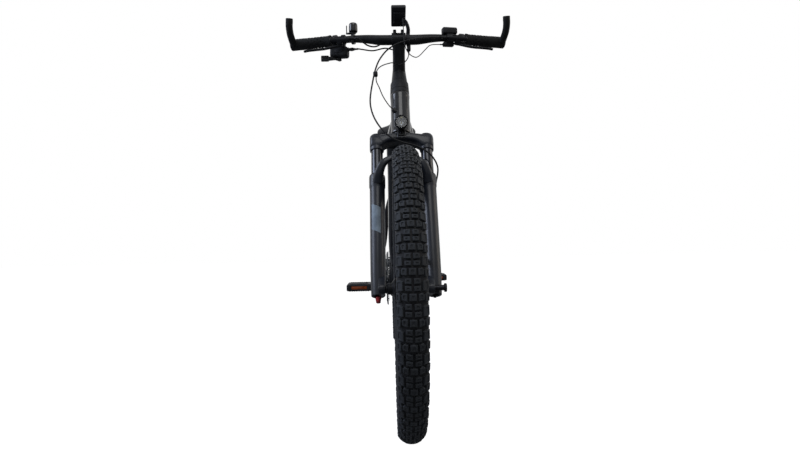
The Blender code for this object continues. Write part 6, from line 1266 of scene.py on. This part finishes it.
# Battery: a flat glass-filled nylon case that drops into the down tube's bay, with a moulded pull
# handle and two seams where its end caps are welded on.
pack_top, pack_floor = -43, 16.7
pack_middle, pack_half = (pack_top + pack_floor) / 2, (pack_floor - pack_top) / 2
cap_steps = [(0.5, 2.4), (1.6, 0.7), (4, 0.2), (12, 0.2), (12.6, 0.9), (13.4, 0.9), (14, 0.2)]
pack_stations = ([(BAY_START + z, drawn_in) for z, drawn_in in cap_steps]
                 + [(BAY_END - z, drawn_in) for z, drawn_in in reversed(cap_steps)])
pack = loft([(0, pack_middle, z, BATTERY_WIDTH / 2 - drawn_in, pack_half - drawn_in)
             for z, drawn_in in pack_stations], 64, 7.0, 1, DOWN)
grip_recess = block((30, 10, 50), DOWN @ placed((0, pack_top, BAY_START + 45)), 3, 4)
finish(edged(cut(pack, grip_recess), 0.6, 2, 50), "battery_case", "battery", *MOULDED, ["battery_pack"])
strap = block((29, 3.4, 12), DOWN @ placed((0, pack_top + 2.2, BAY_START + 45)), 1.4)
finish(strap, "battery_pull_strap", "battery", "black_plastic", grommet_rubber)

# Seat clamp: a split alloy collar, closed by one screw through its ears. It is turned, and a saw cut
# opens it at the back.
collar = turned([(17.8, 456.2), (22.3, 456.2), (23, 457), (23, 470.2), (22.3, 471), (17.8, 471)], SEAT, 64, True)
ears = block((16, 12, 12), SEAT @ placed((0, 27.5, 463.5)), 1.6)
gap_cut = block((2.2, 30, 40), SEAT @ placed((0, 31.5, 463.5)))
finish(edged(cut(joined(collar, ears), gap_cut), 0.3, 2, 50), "seat_clamp_collar", "frame", *ALLOY, ["seat_clamp"])
clamp_screw = [socket_screw(SEAT @ placed((side * 7.6, 28.4, 463.5)) @ spun(side * 90, "Y"), 3.6, height, 2)
               for side, height in ((-1, 3.4), (1, 2.2))]
clamp_screw.append(rod(seat_point(463.5, -7, 28.4), seat_point(463.5, 7, 28.4), 2.4, 16))
finish(clamp_screw, "seat_clamp_screw", "frame", *SCREW)

# Seatpost: a drawn alloy tube under a two-bolt head, anodised black. The head's grooves hold the
# saddle's rails.
SADDLE = placed(seat_point(630))
post = turned([(13.6, 320.4), (14.9, 320.4), (15.2, 321), (15.2, 606), (17.5, 612), (13, 613)], SEAT, 64)
cradle = block((55, 42, 17), SADDLE @ placed((0, -2.2, -9.8)), 4, 4)
yoke = block((55, 20, 4), SADDLE @ placed((0, -2.2, 1.2)), 1.2)
spine = block((20, 43, 4), SADDLE @ placed((0, -2.2, 1.2)), 1.2)
rail_cutters = [rod(SADDLE @ Vector((side * 22, -50, 0)), SADDLE @ Vector((side * 22, 50, 0)), 3.8, 24)
                for side in (-1, 1)]
head = cut(joined(cradle, yoke, spine), *rail_cutters)
finish(edged(joined(post, head), 0.3, 2, 50), "seatpost_alloy", "seat", *ALLOY, ["seatpost"])
post_screws = [socket_screw(SADDLE @ placed((0, side * 16.5 - 2.2, 2.6)), 3.8, 2, 2) for side in (-1, 1)]
finish(post_screws, "seatpost_screws", "seat", *SCREW)

# Saddle: foam under a grained vinyl cover, drawn in along its edge, with a hollow down the middle and
# two stitched seams. It sits on a nylon shell with two bent steel rails.
SADDLE_STATIONS = ((-152, 15, 10, 30), (-146, 20.5, 5, 34), (-120, 23, 2, 37), (-75, 26, 0, 38), (-30, 35, 0, 38),
                   (10, 51, 0, 39), (50, 71, 1, 42), (85, 85, 3, 46), (112, 86.5, 6, 48), (130, 74, 10, 46),
                   (137, 56, 15, 41))
SADDLE_LIFT, SADDLE_BACK = 12, 4
HALF_SECTION = ((0.86, 0.0), (0.94, 0.16), (1.0, 0.42), (0.95, 0.74), (0.76, 0.95), (0.42, 1.0), (0.14, 0.95))
saddle_vinyl = mottled("grained_saddle_vinyl", "#0e0f12", "#17181c", (0.46, 0.62), 70, 1.1, 0.10)
rings = []
for y, half_width, low, high in smooth_points(SADDLE_STATIONS, 3):
    channel = 1.0 if -110 < y < 100 else 0.5
    ring = []
    for side, section in ((1, HALF_SECTION), (-1, HALF_SECTION[::-1])):
        for across, rise in section:
            dip = 0.06 * channel if across == 0.14 else 0.0
            z = SADDLE_LIFT + low + (high - low) * (rise - dip)
            ring.append(SADDLE @ Vector((side * across * half_width, y + SADDLE_BACK, z)))
    rings.append(ring)
pad = apply_modifier(skin(rings), "SUBSURF", levels=2, render_levels=2)
seams = []
for side in (-1, 1):
    line = []
    for y, half_width, _, _ in smooth_points(SADDLE_STATIONS[1:-1], 4):
        start = SADDLE @ Vector((side * 0.60 * half_width, y + SADDLE_BACK, 90))
        hit, spot, _, _ = pad.ray_cast(start, -UP)
        if hit:
            line.append(spot + Vector((0, 0, 0.1)))
    seams.append(pipe(line, 0.7, 1, 3))
finish(pad, "saddle_padding", "seat", "saddle_cover", saddle_vinyl, ["saddle_pad"], 60)
thread = mottled("bonded_nylon_thread", "#1c1d20", "#2a2b2f", (0.6, 0.75), 10, 0.4, 0.05)
finish(seams, "saddle_seams", "seat", "saddle_cover", thread)
rings = []
for y, half_width, low, _ in smooth_points(SADDLE_STATIONS[1:-1], 3):
    top = SADDLE_LIFT + low - 0.3
    rings.append([SADDLE @ Vector((share * half_width, y + SADDLE_BACK, top - drop)) for share, drop in
                  ((-0.85, 0), (-0.85, 2), (-0.80, 4.6), (-0.4, 5.2), (0.4, 5.2), (0.80, 4.6), (0.85, 2), (0.85, 0))])
finish(edged(skin(rings), 0.6, 2, 50), "saddle_shell", "seat", *MOULDED, ["saddle_base"])
rails = []
for side in (-1, 1):
    route = [(side * 8, -128, 8), (side * 14, -100, 3), (side * 22, -60, 0), (side * 22, 40, 0), (side * 32, 88, 4),
             (side * 38, 112, 12)]
    rails.append(pipe([SADDLE @ Vector(p) for p in route], 3.5, 8, 7))
finish(rails, "saddle_rails", "seat", *SCREW)

# Drive wheels: plates with real roller seats between their teeth. The chain's pins are walked one pitch
# apart along its path, and each wheel is turned until its teeth stand between them.
PITCH = 12.7
LINKS = 116
RING_TEETH, PULLEY_TEETH, DRIVEN_TEETH = 36, 12, 24
CHAIN_X = -52
CASSETTE_X, SPROCKET_STEP = -33, 3.8
SPROCKETS = (42, 36, 32, 28, 26, 24, 21, 18, 15, 13, 11)
GUIDE, LOWER = joint_place("upper_pulley_spin"), joint_place("lower_pulley_spin")


def pitch_radius(teeth):
    return PITCH / (2 * sin(pi / teeth))


def chain_pins():
    """The chain's pins, in the side view, walked along the path round its four wheels."""
    wheels = [(BRACKET.yz, pitch_radius(RING_TEETH), 1), (LOWER.yz, pitch_radius(PULLEY_TEETH), 1),
              (GUIDE.yz, pitch_radius(PULLEY_TEETH), -1), (REAR_AXLE.yz, pitch_radius(DRIVEN_TEETH), 1)]
    runs = []
    for (c1, r1, s1), (c2, r2, s2) in zip(wheels, wheels[1:] + wheels[:1]):
        d = c2 - c1
        heading = atan2(d.y, d.x) - asin((s2 * r2 - s1 * r1) / d.length)
        left = Vector((-sin(heading), cos(heading)))
        runs.append((c1 - left * s1 * r1, c2 - left * s2 * r2))
    path = []
    for k, (centre, radius, side) in enumerate(wheels):
        arrive, leave = runs[k - 1][1] - centre, runs[k][0] - centre
        first = atan2(arrive.y, arrive.x)
        sweep = (atan2(leave.y, leave.x) - first) * side % (2 * pi) * side
        steps = round(abs(sweep) / 0.01)
        path += [centre + ray(first + sweep * n / steps) * radius for n in range(steps + 1)]
    pins, here = [path[0]], path[0]
    for point_a, point_b in zip(path, path[1:] + path[:1]):
        while (point_b - here).length >= PITCH and len(pins) < LINKS:
            step = (point_b - point_a).normalized()
            back = here - point_a
            along = back.dot(step) + sqrt(back.dot(step) ** 2 - back.length_squared + PITCH ** 2)
            here = point_a + step * along
            pins.append(here)
    return pins


PINS = chain_pins()


def gear_outline(centre, teeth):
    """A toothed outline in the side view: a round seat at each pin, and a blunt tip between two."""
    radius = pitch_radius(teeth)
    on_wheel = [p for p in PINS if abs((p - centre.yz).length - radius) < 0.05]
    first = 0.0
    if on_wheel:
        middle = on_wheel[len(on_wheel) // 2] - centre.yz
        first = atan2(middle.y, middle.x)
    outline = []
    for k in range(teeth):
        angle = first + 2 * pi * k / teeth
        seat = centre.yz + ray(angle) * radius
        for turn in (68, 34, 0, -34, -68):
            a = angle + pi + radians(turn)
            outline.append(tuple(seat + ray(a) * 4.05))
        for share in (0.42, 0.58):
            a = angle + 2 * pi * share / teeth
            outline.append(tuple(centre.yz + ray(a) * (radius + 2.7)))
    return outline


def windows(centre, count, inside, outside, share=0.34):
    """Openings between the arms of a wheel, with rounded corners."""
    holes = []
    for k in range(count):
        middle = 2 * pi * (k + 0.5) / count
        half = share * 2 * pi / count
        ring = [(outside, -half * 0.92), (outside * 1.015, -half * 0.4), (outside * 1.015, half * 0.4),
                (outside, half * 0.92), (outside * 0.97, half), (inside * 1.06, half * 0.92), (inside, half * 0.7),
                (inside, -half * 0.7), (inside * 1.06, -half * 0.92), (outside * 0.97, -half)]
        holes.append([(centre.y + r * cos(middle + a), centre.z + r * sin(middle + a)) for r, a in ring])
    return holes


# Cassette: eleven stamped steel sprockets with open centres, nickel plated. They stand on spacers, and
# a lockring holds them.
sprocket_steel = mottled("nickel_plated_sprocket", "#6c6f73", "#93969a", (0.3, 0.46), 30, 0.8, 0.01, {"Metallic": 0.9})
for index, teeth in enumerate(SPROCKETS):
    outlines = [gear_outline(REAR_AXLE, teeth), circle(16.9, 48, REAR_AXLE.yz)]
    if teeth > 20:
        outlines += windows(REAR_AXLE, 6, 23, pitch_radius(teeth) - 9)
    sprocket = side_plate(outlines, CASSETTE_X - index * SPROCKET_STEP, 1.6, 0.15, 1)
    finish(sprocket, f"sprocket_{teeth}", "cassette_body", "steel", sprocket_steel,
           ["cassette"] if index == 0 else [], 30)
spacers = [turned([(16.9, x - 0.8), (20, x - 0.8), (20, x - 3), (16.9, x - 3)], placed(REAR_AXLE) @ sideways, 48, True)
           for x in [CASSETTE_X - k * SPROCKET_STEP for k in range(10)]]
for k in range(6):
    for radius in (20, 30):
        a = radians(60 * k)
        spot = REAR_AXLE + Vector((-42, *ray(a) * radius))
        spacers.append(rod(spot + ACROSS * 9, spot - ACROSS * (5.9 if radius > 25 else 9), 2.4, 16))
finish(spacers, "cassette_spacers", "cassette_body", "black_plastic", anodised_black)
lock_profile = [(12.5, -71.9), (17.6, -71.9), (17.6, -73.1), (12.5, -73.1)]
finish(turned(lock_profile, placed(REAR_AXLE) @ sideways, 48, True), "cassette_lockring", "cassette_body", *SCREW)

# Chain: 116 links of waisted steel plates, inner and outer by turns, on rollers and riveted pins. It is
# one piece that stays with the frame.
chain_plate_steel = mottled("oiled_chain_steel", "#3b3d40", "#5b5e61", (0.32, 0.5), 14, 0.5, 0.01, {"Metallic": 0.85})
bm = bmesh.new()


def pressed(points, x_low, x_high):
    """A small flat plate between two planes across the bike."""
    low = [bm.verts.new((x_low, p.x, p.y)) for p in points]
    high = [bm.verts.new((x_high, p.x, p.y)) for p in points]
    walls(bm, low, high)
    bm.faces.new(low[::-1])
    bm.faces.new(high)


def round_points(centre, radius, sides):
    return [centre + ray(2 * pi * k / sides) * radius for k in range(sides)]


for k, pin in enumerate(PINS):
    after = PINS[(k + 1) % LINKS]
    along = (after - pin).normalized()
    square = Vector((-along.y, along.x))
    heel = [(-3.6, 1.8), (-2.6, 3.2), (-0.6, 3.9), (1.4, 3.6), (3.4, 2.9)]
    half = [pin + along * x + square * y for x, y in heel]
    half += [after - along * x + square * y for x, y in reversed(heel)]
    half += [after - along * x - square * y for x, y in heel]
    half += [pin + along * x - square * y for x, y in reversed(heel)]
    near, far = ((1.85, 2.7), (1.0, 1.8))[k % 2]
    for side in (-1, 1):
        pressed(half, CHAIN_X + side * near, CHAIN_X + side * far)
    pressed(round_points(pin, 3.7, 10), CHAIN_X - 0.95, CHAIN_X + 0.95)
    pressed(round_points(pin, 1.6, 8), CHAIN_X - 2.8, CHAIN_X + 2.8)
finish(mesh_piece(bm), "chain_links", "frame", "chain_steel", chain_plate_steel, ["chain"], 25)

# Cranks: forged alloy arms with a shallow channel, on the motor's spindle. The narrow steel chainring is
# screwed to a four-armed spider on the right.
CRANK_X, CRANK_REACH, SPIDER_REACH = 85.5, 170, 52
CRANK_AT = placed(BRACKET)
crank_parts = [rod(BRACKET - ACROSS * 86, BRACKET + ACROSS * 86, 12.5, 48),
               turned([(12, -58.6), (24.6, -58.6), (25.4, -60), (19, -80), (12, -80)], CRANK_AT @ sideways, 56, True)]
for side in (-1, 1):
    reach = BRACKET.y + side * CRANK_REACH
    circles = ((*BRACKET.yz, 18.4), (reach, BRACKET.z, 13.4))
    arm = side_plate([band(circles)], side * CRANK_X, 14, 3, 3)
    groove = side_plate([band(((BRACKET.y + side * 34, BRACKET.z, 8), (reach - side * 28, BRACKET.z, 5.6)))],
                        side * (CRANK_X + 7.4), 4, 0.6)
    crank_parts.append(cut(arm, groove))
    crank_parts.append(turned([(5.2, 93.4), (9.4, 93.2), (9.4, 98), (6.4, 99), (6.4, 186), (0.3, 186.6)],
                              placed((0, reach, BRACKET.z)) @ spun(side * 90, "Y"), 32))
spider_turns = [radians(45 + 90 * k) for k in range(4)]
spider = [side_plate([band(((*BRACKET.yz, 20), (*BRACKET.yz + ray(a) * SPIDER_REACH, 6.6)))],
                     -56.2, 5, 0.9) for a in spider_turns]
finish(crank_parts + spider, "crank_forgings", "crank", *ALLOY, ["crankset"], 35)
ring_edge = pitch_radius(RING_TEETH)
tabs = [circle(2.9, 16, BRACKET.yz + ray(a) * SPIDER_REACH) for a in spider_turns]
inner_line = []
for k in range(96):
    a = 2 * pi * k / 96
    spread = ring_edge - 14 - 14 * max(0.0, cos(4 * a + pi)) ** 3
    inner_line.append(BRACKET.yz + ray(a) * spread)
chainring = side_plate([gear_outline(BRACKET, RING_TEETH), inner_line] + tabs, CHAIN_X, 2, 0.25, 1)
finish(chainring, "chainring_teeth", "crank", "satin_black", black_steel)
ring_screws = [socket_screw(placed(BRACKET + Vector((-58.4, *ray(a) * SPIDER_REACH))) @ spun(-90, "Y"),
                            4.6, 2, 2.6) for a in spider_turns]
for side in (-1, 1):
    ring_screws.append(turned([(0.3, 0.6), (5, 0.6), (5.3, 2.2), (9.6, 2.2), (10.2, 1.4), (10.2, -1)],
                              placed(BRACKET + ACROSS * side * 92.2) @ spun(side * 90, "Y"), 32))
finish(ring_screws, "crank_screws", "crank", *SCREW)

# Pedals: a moulded frame with two windows, ribbed rubber treads above and below, and amber reflectors
# front and back, on a sealed barrel.
amber = mottled("amber_reflector_acrylic", "#5a2508", "#7c360c", (0.12, 0.22), 12, 2.4, 0.12,
                {"Coat Weight": 0.3, "Coat Roughness": 0.05})
for side, name in ((-1, "right_pedal"), (1, "left_pedal")):
    body = name + "_body"
    at = placed((side * 151, BRACKET.y + side * CRANK_REACH, BRACKET.z))
    shell = block((88, 92, 24), at, 5, 4)
    openings = [block((62, 22, 60), at @ placed((0, end * 23, 0)), 2) for end in (-1, 1)]
    openings += [block((54.6, 8, 11), at @ placed((0, end * 47.4, 0)), 0.6) for end in (-1, 1)]
    openings.append(rod(at @ Vector((-90, 0, 0)), at @ Vector((90, 0, 0)), 6.9, 32))
    shell = edged(cut(shell, *openings), 0.5, 2, 45)
    finish(shell, name + "_frame", body, *MOULDED, [name])
    treads = [block((5.2, 6, 1.6), at @ placed((k * 8 - 32, end * 38.8, level * 12.2)), 0.5, 1)
              for level in (-1, 1) for end in (-1, 1) for k in range(9)]
    lights = [block((54, 4, 10.4), at @ placed((0, end * 43.9, 0)), 0.8, 2) for end in (-1, 1)]
    finish(treads, name + "_treads", body, "grip_rubber", grip_rubber)
    finish(lights, name + "_reflectors", body, "black_plastic", amber)

# Derailleur: a forged knuckle on the hanger, a parallelogram link, and a body that holds the sprung cage
# with its two toothed pulleys. The housing loops down to it from the right chainstay.
LINK_TOP, LINK_FOOT = joint_place("derailleur_swing"), joint_place("derailleur_level")
LINK_DOWN = (LINK_FOOT - LINK_TOP).normalized()
LINK_AXIS = ACROSS.cross(LINK_DOWN)
LINK_AT = matrix_of(LINK_TOP, ACROSS, LINK_DOWN, LINK_AXIS)
FOOT_AT = matrix_of(LINK_FOOT, ACROSS, LINK_DOWN, LINK_AXIS)
EAR = [(2.3, 7.9), (2.3, -7.3), (6.2, -7.3), (6.8, -7.9), (6.8, -11), (6.2, -11.3), (0.3, -11.3), (0.3, 7.9)]


def stay_run(x, y, z, side):
    """The last points of a hose that goes into a chainstay's port."""
    out = Vector((side * 0.15, 0.62, 0.77)).normalized()
    return [REAR_AXLE + Vector((x, y, z)) + out * step for step in (32, 16, 5)]


hanger_sideways = placed(HANGER) @ spun(-90, "Y")
knuckle = turned([(0.3, 0.4), (11.2, 0.4), (11.4, 1), (11.4, 12), (10.4, 15.6), (9.4, 16.6), (4.6, 16.8), (4.4, 14),
                  (0.3, 14)], hanger_sideways, 48)
knuckle_arm = pipe([HANGER + Vector((-8.5, 2, 0)), LINK_AT @ Vector((0, 0, -8.7))], 5.2, 4, 7)
finish(edged(joined(knuckle, knuckle_arm, turned(EAR, LINK_AT, 32, True)), 0.3, 2, 55), "derailleur_knuckle_forging",
       "frame", *ALLOY, ["derailleur_knuckle"])
hose_jacket = mottled("extruded_hose_jacket", "#0f1012", "#191a1c", (0.42, 0.56), 60, 0.6, 0.02)
loop = [HANGER + Vector(p) for p in ((-10, 6, 4), (-13, 34, 22), (-13, 36, 56), (-10, 4, 84), (1, -50, 74))]
finish(pipe(loop + stay_run(-65, -115, -12.38, -1), 2.4, 10, 5), "derailleur_housing", "frame", "hose", hose_jacket)
link_length = (LINK_FOOT - LINK_TOP).length
link = plate([band(((0, 0, 6.2), (0, link_length, 6.2))), circle(2.7, 20), circle(2.7, 20, (0, link_length))],
             14, LINK_AT, 1.2, 2)
link_window = plate([band(((0, 13, 3), (0, link_length - 13, 3)))], 40, LINK_AT)
finish(cut(link, link_window), "derailleur_link_forging", "derailleur_link_body", *ALLOY, ["derailleur_link"])
guide_sideways = placed((0, *GUIDE.yz)) @ spun(-90, "Y")
barrel = turned([(5.6, 59), (11.4, 59), (12, 59.8), (12, 74), (11, 77.2), (9.6, 78), (0.3, 78), (0.3, 67.4),
                 (5.6, 67.4)], guide_sideways, 48, True)
foot_arm = pipe([Vector((-70, *GUIDE.yz)), FOOT_AT @ Vector((14, 0, -13.5)), FOOT_AT @ Vector((0, 0, -11.5))],
                4.8, 6, 7)
finish(edged(joined(barrel, foot_arm, turned(EAR, FOOT_AT, 32, True)), 0.3, 2, 55), "derailleur_body_forging",
       "derailleur_foot", *ALLOY, ["derailleur_body"])
cage_circles = ((*GUIDE.yz, 12.2), (*LOWER.yz, 10.8))
cage_line = LOWER.yz - GUIDE.yz
waist = [(*(GUIDE.yz + cage_line * share), r) for share, r in ((0.34, 5.6), (0.66, 5.0))]
cage_parts = [side_plate([band(cage_circles), band(waist)], CHAIN_X + side * 5.5, 1.7, 0.4) for side in (-1, 1)]
for wheel in (GUIDE, LOWER):
    cage_parts.append(rod(Vector((CHAIN_X - 6.2, *wheel.yz)), Vector((CHAIN_X + 6.2, *wheel.yz)), 2.7, 20))
    cage_parts.append(turned([(0.3, 46.2), (4.2, 46), (4.4, 46.8)], placed((0, *wheel.yz)) @ spun(-90, "Y"), 24))
cage_parts.append(rod(Vector((CHAIN_X - 6, *GUIDE.yz)), Vector((CHAIN_X - 13, *GUIDE.yz)), 4.9, 32))
finish(cage_parts, "derailleur_cage_plates", "cage", *ALLOY, ["derailleur_cage"])
for name, wheel in (("upper_pulley", GUIDE), ("lower_pulley", LOWER)):
    pulley = side_plate([gear_outline(wheel, PULLEY_TEETH), circle(3.4, 24, wheel.yz)]
                        + windows(wheel, 6, 9, 16, 0.30), CHAIN_X, 1.9, 0.2, 1)
    finish(pulley, name + "_wheel", name + "_body", *MOULDED, [name])

# The rear axle pin screws into the right dropout. The rear caliper stands on the left chainstay, and its
# hose leaves through the stay.
rear_pin = turned([(5, -83.4), (5.8, -82.6), (5.8, 83.6), (9.8, 83.8), (9.8, 87.4), (8.8, 88.4), (3.4, 88.4),
                   (3.2, 85), (0.3, 85)], placed(REAR_AXLE) @ sideways, 40)
finish(rear_pin, "rear_axle_pin", "frame", *SCREW, ["rear_axle"])
REAR_CALIPER = REAR_AXLE + Vector((0, -69, 40))
middle, caliper_body = caliper_piece(REAR_CALIPER, spun(40, "X"), 58.7, REAR_AXLE, 44, 73.7)
finish(edged(caliper_body, 0.5, 2, 50), "rear_caliper_body", "frame", *ALLOY, ["rear_caliper"])
finish(caliper_bolts(middle, 73.7), "rear_caliper_bolts", "frame", *SCREW)
tail = [REAR_CALIPER + Vector(p) for p in ((67, -4, 10), (68, -30, 16), (66, -55, 4))]
finish(pipe(tail + stay_run(58.5, -155, -16.38, 1)[1:], 2.4, 10, 5), "rear_caliper_hose", "frame", "hose", hose_jacket)

# Hoses and cables: extruded black jackets in gentle curves, crimped into a ferrule at each end. The bars
# hold one end, and the caliper, the head tube's port or the headset cover the other.
def below_bar(*points):
    return [CROWN_RACE + Vector(p) for p in points]


def behind_stem(*points):
    return [STEER @ Vector(p) for p in points]


def bar_place(x, *at):
    return bar_frame(x) @ Vector(at)


def port_run(mouth, out):
    return [STEER @ (mouth + out * step) for step in (16, 2, -6.5)]


def ferrule(points, radius, length=11):
    """A crimped sleeve round the start of a hose."""
    along = (Vector(points[1]) - Vector(points[0])).normalized()
    at = placed(points[0]) @ facing(along)
    r = radius + 0.9
    return turned([(radius, 0.2), (r, 0.2), (r, 3), (r - 0.4, 3.6), (r - 0.4, 5), (r, 5.6), (r, length - 1),
                   (radius, length)], at, 24, True)


routes = (
    ("front_brake_hose", 2.4, [bar_place(205, -70.3, -28, -10), bar_place(205, -82.3, -28, -10)]
     + below_bar((60, 12, 315.1), (0, 2, 297.1), (-36.5, -2, 275.1), (-61.1, -10, 242.6), (-73.2, -22, 211.4),
                 (-82.1, -35, 171.3), (-91.1, -50, 104.5), (-85.2, -58, 67.1), (-67.6, -68, 29.6), (-38.6, -78, -4.5),
                 (-5, -84, -22.9), (40, -86, -36.9), (80, -84, -60.9), (102, -74, -96.9), (98, -56, -141.9),
                 (85, -67, -191.9))
     + [FRONT_CALIPER + Vector(p) for p in ((80, 44.5, 120.8), (70, 23.5, 58.8), (56, 16, 32.8))]),
    ("rear_brake_hose", 2.4, [bar_place(-205, 70.3, -28, -10), bar_place(-205, 82.3, -28, -10)]
     + below_bar((-100, 69, 315), (-75, 90, 318), (-50, 101, 333), (-22, 103, 340))
     + behind_stem((-6, -5, 348), (-12.5, 25, 323), (-13, 42, 280), (-10.5, 45, 240))
     + port_run(cover_ports[0], COVER_PORT_OUT)),
    ("shift_housing", 2.2, [bar_place(-178, 36.3, 8, -30), bar_place(-178, 48.3, 8, -30)]
     + below_bar((-85, 94, 306), (-40, 99, 315))
     + behind_stem((3, -15, 323), (12.5, 15, 303), (13.5, 36, 270), (11, 43, 235))
     + port_run(cover_ports[1], COVER_PORT_OUT)),
    ("display_cable", 1.6, [bar_place(30, 2, 2, -36.3), bar_place(30, 2, 2, -44.3)]
     + below_bar((27, 69, 270), (15, 66, 256), (0, 64, 249), (-20, 56, 253), (-36.5, 44, 246.5), (-50.5, 31, 238),
                 (-62, 16, 226.7), (-69, -1, 213), (-71.5, -18, 198), (-72.5, -15, 175), (-64.5, -9, 157),
                 (-53, -2, 130.4))
     + port_run(CABLE_PORT, PORT_LEAN)),
    ("remote_cable", 1.4, [bar_place(166, -22.4, 3, -20), bar_place(166, -36, 1, -21)]
     + below_bar((100, 65, 311.1), (83.9, 60, 295.2), (64, 50, 272.6), (50.9, 40, 264.5), (31.8, 30, 271.9),
                 (19.4, 25, 292), (15, 28, 333.1), (14, 32, 373.1), (13, 33, 387.6))))
for name, radius, points in routes:
    finish(pipe(points, radius, 8, 5), name + "_jacket", "steering", "hose", hose_jacket, [name])
    finish(ferrule(points, radius), name + "_ferrule", "steering", *SCREW)

# A moulded clip holds the display's cable to the brake hose, beside the head tube. It is one
# rounded block of black plastic.
clip_at = CROWN_RACE + Vector((-74.6, -23, 193))
clip = block((14, 17, 15), placed(clip_at), 4.5, 4)
finish(clip, "hose_clip", "steering", *MOULDED)

# Stage: a white floor that keeps the bike's shadow, and plain soft studio light from both sides. It is
# drawn in metres.
floor_paint = new_material("white_studio_floor", {"Roughness": 0.9, "Base Color": linear("#949494"),
                                                  "Specular IOR Level": 0.0, "Emission Color": (1, 1, 1, 1)})
floor_seen = add(floor_paint, "LightPath").outputs["Is Camera Ray"]
floor_glow = add(floor_paint, "MapRange", {"Value": floor_seen, "To Max": 0.95})
feed(floor_paint, "Emission Strength", floor_glow.outputs["Result"])
deselect()
bpy.ops.mesh.primitive_plane_add(size=16, location=(0, 0, -0.0005))
floor = settled(bpy.context.object)
floor.name = "studio_floor"
floor.data.materials.append(floor_paint)

world = bpy.data.worlds.new("studio")
bpy.context.scene.world = world
world.use_nodes = True
world.node_tree.nodes.clear()
seen = add(world, "Background", {"Color": (1, 1, 1, 1), "Strength": 1.0})
soft = add(world, "Background", {"Color": linear("#f4f6fa"), "Strength": 0.25})
rays = add(world, "LightPath").outputs
bent = add(world, "Math", {0: rays["Is Glossy Ray"], 1: rays["Is Transmission Ray"]}, operation="MAXIMUM")
either = add(world, "Math", {0: bent.outputs[0], 1: rays["Is Camera Ray"]}, operation="MAXIMUM")
mix = add(world, "MixShader", {0: either.outputs[0], 1: soft.outputs[0], 2: seen.outputs[0]})
add(world, "OutputWorld", {"Surface": mix.outputs[0]})

for name, place, aim, size, power, tint in (("key_light", (-2.6, -0.7, 2.1), (0, -0.3, 0.8), 1.5, 90, "#dbe6ff"),
                                            ("fill_light", (2.6, -0.3, 1.8), (0, -0.3, 0.8), 1.5, 22, "#fff2e2"),
                                            ("top_light", (0.2, -2.4, 3.6), (0, -0.4, 0.8), 1.8, 60, "#ffffff")):
    light = bpy.data.lights.new(name, "AREA")
    light.color = linear(tint)[:3]
    light.size = size
    light.energy = power
    lamp = bpy.data.objects.new(name, light)
    lamp.location = place
    lamp.rotation_euler = (Vector(aim) - lamp.location).to_track_quat("-Z", "Y").to_euler()
    bpy.context.scene.collection.objects.link(lamp)

# The camera stands 1.4 m ahead of the front axle, half a metre up and a little to the bike's right.
view = bpy.data.cameras.new("camera")
view.sensor_width = 36
view.lens = 23.8
view.shift_y = -0.0185
camera = bpy.data.objects.new("camera", view)
aim = spun(-1.3, "Z") @ spun(92.41, "X")
camera.matrix_world = placed((-0.0445, -1.953, 0.511)) @ aim @ spun(-1.15, "Z")
bpy.context.scene.collection.objects.link(camera)
bpy.context.scene.camera = camera
bpy.context.scene.view_settings.view_transform = "Standard"
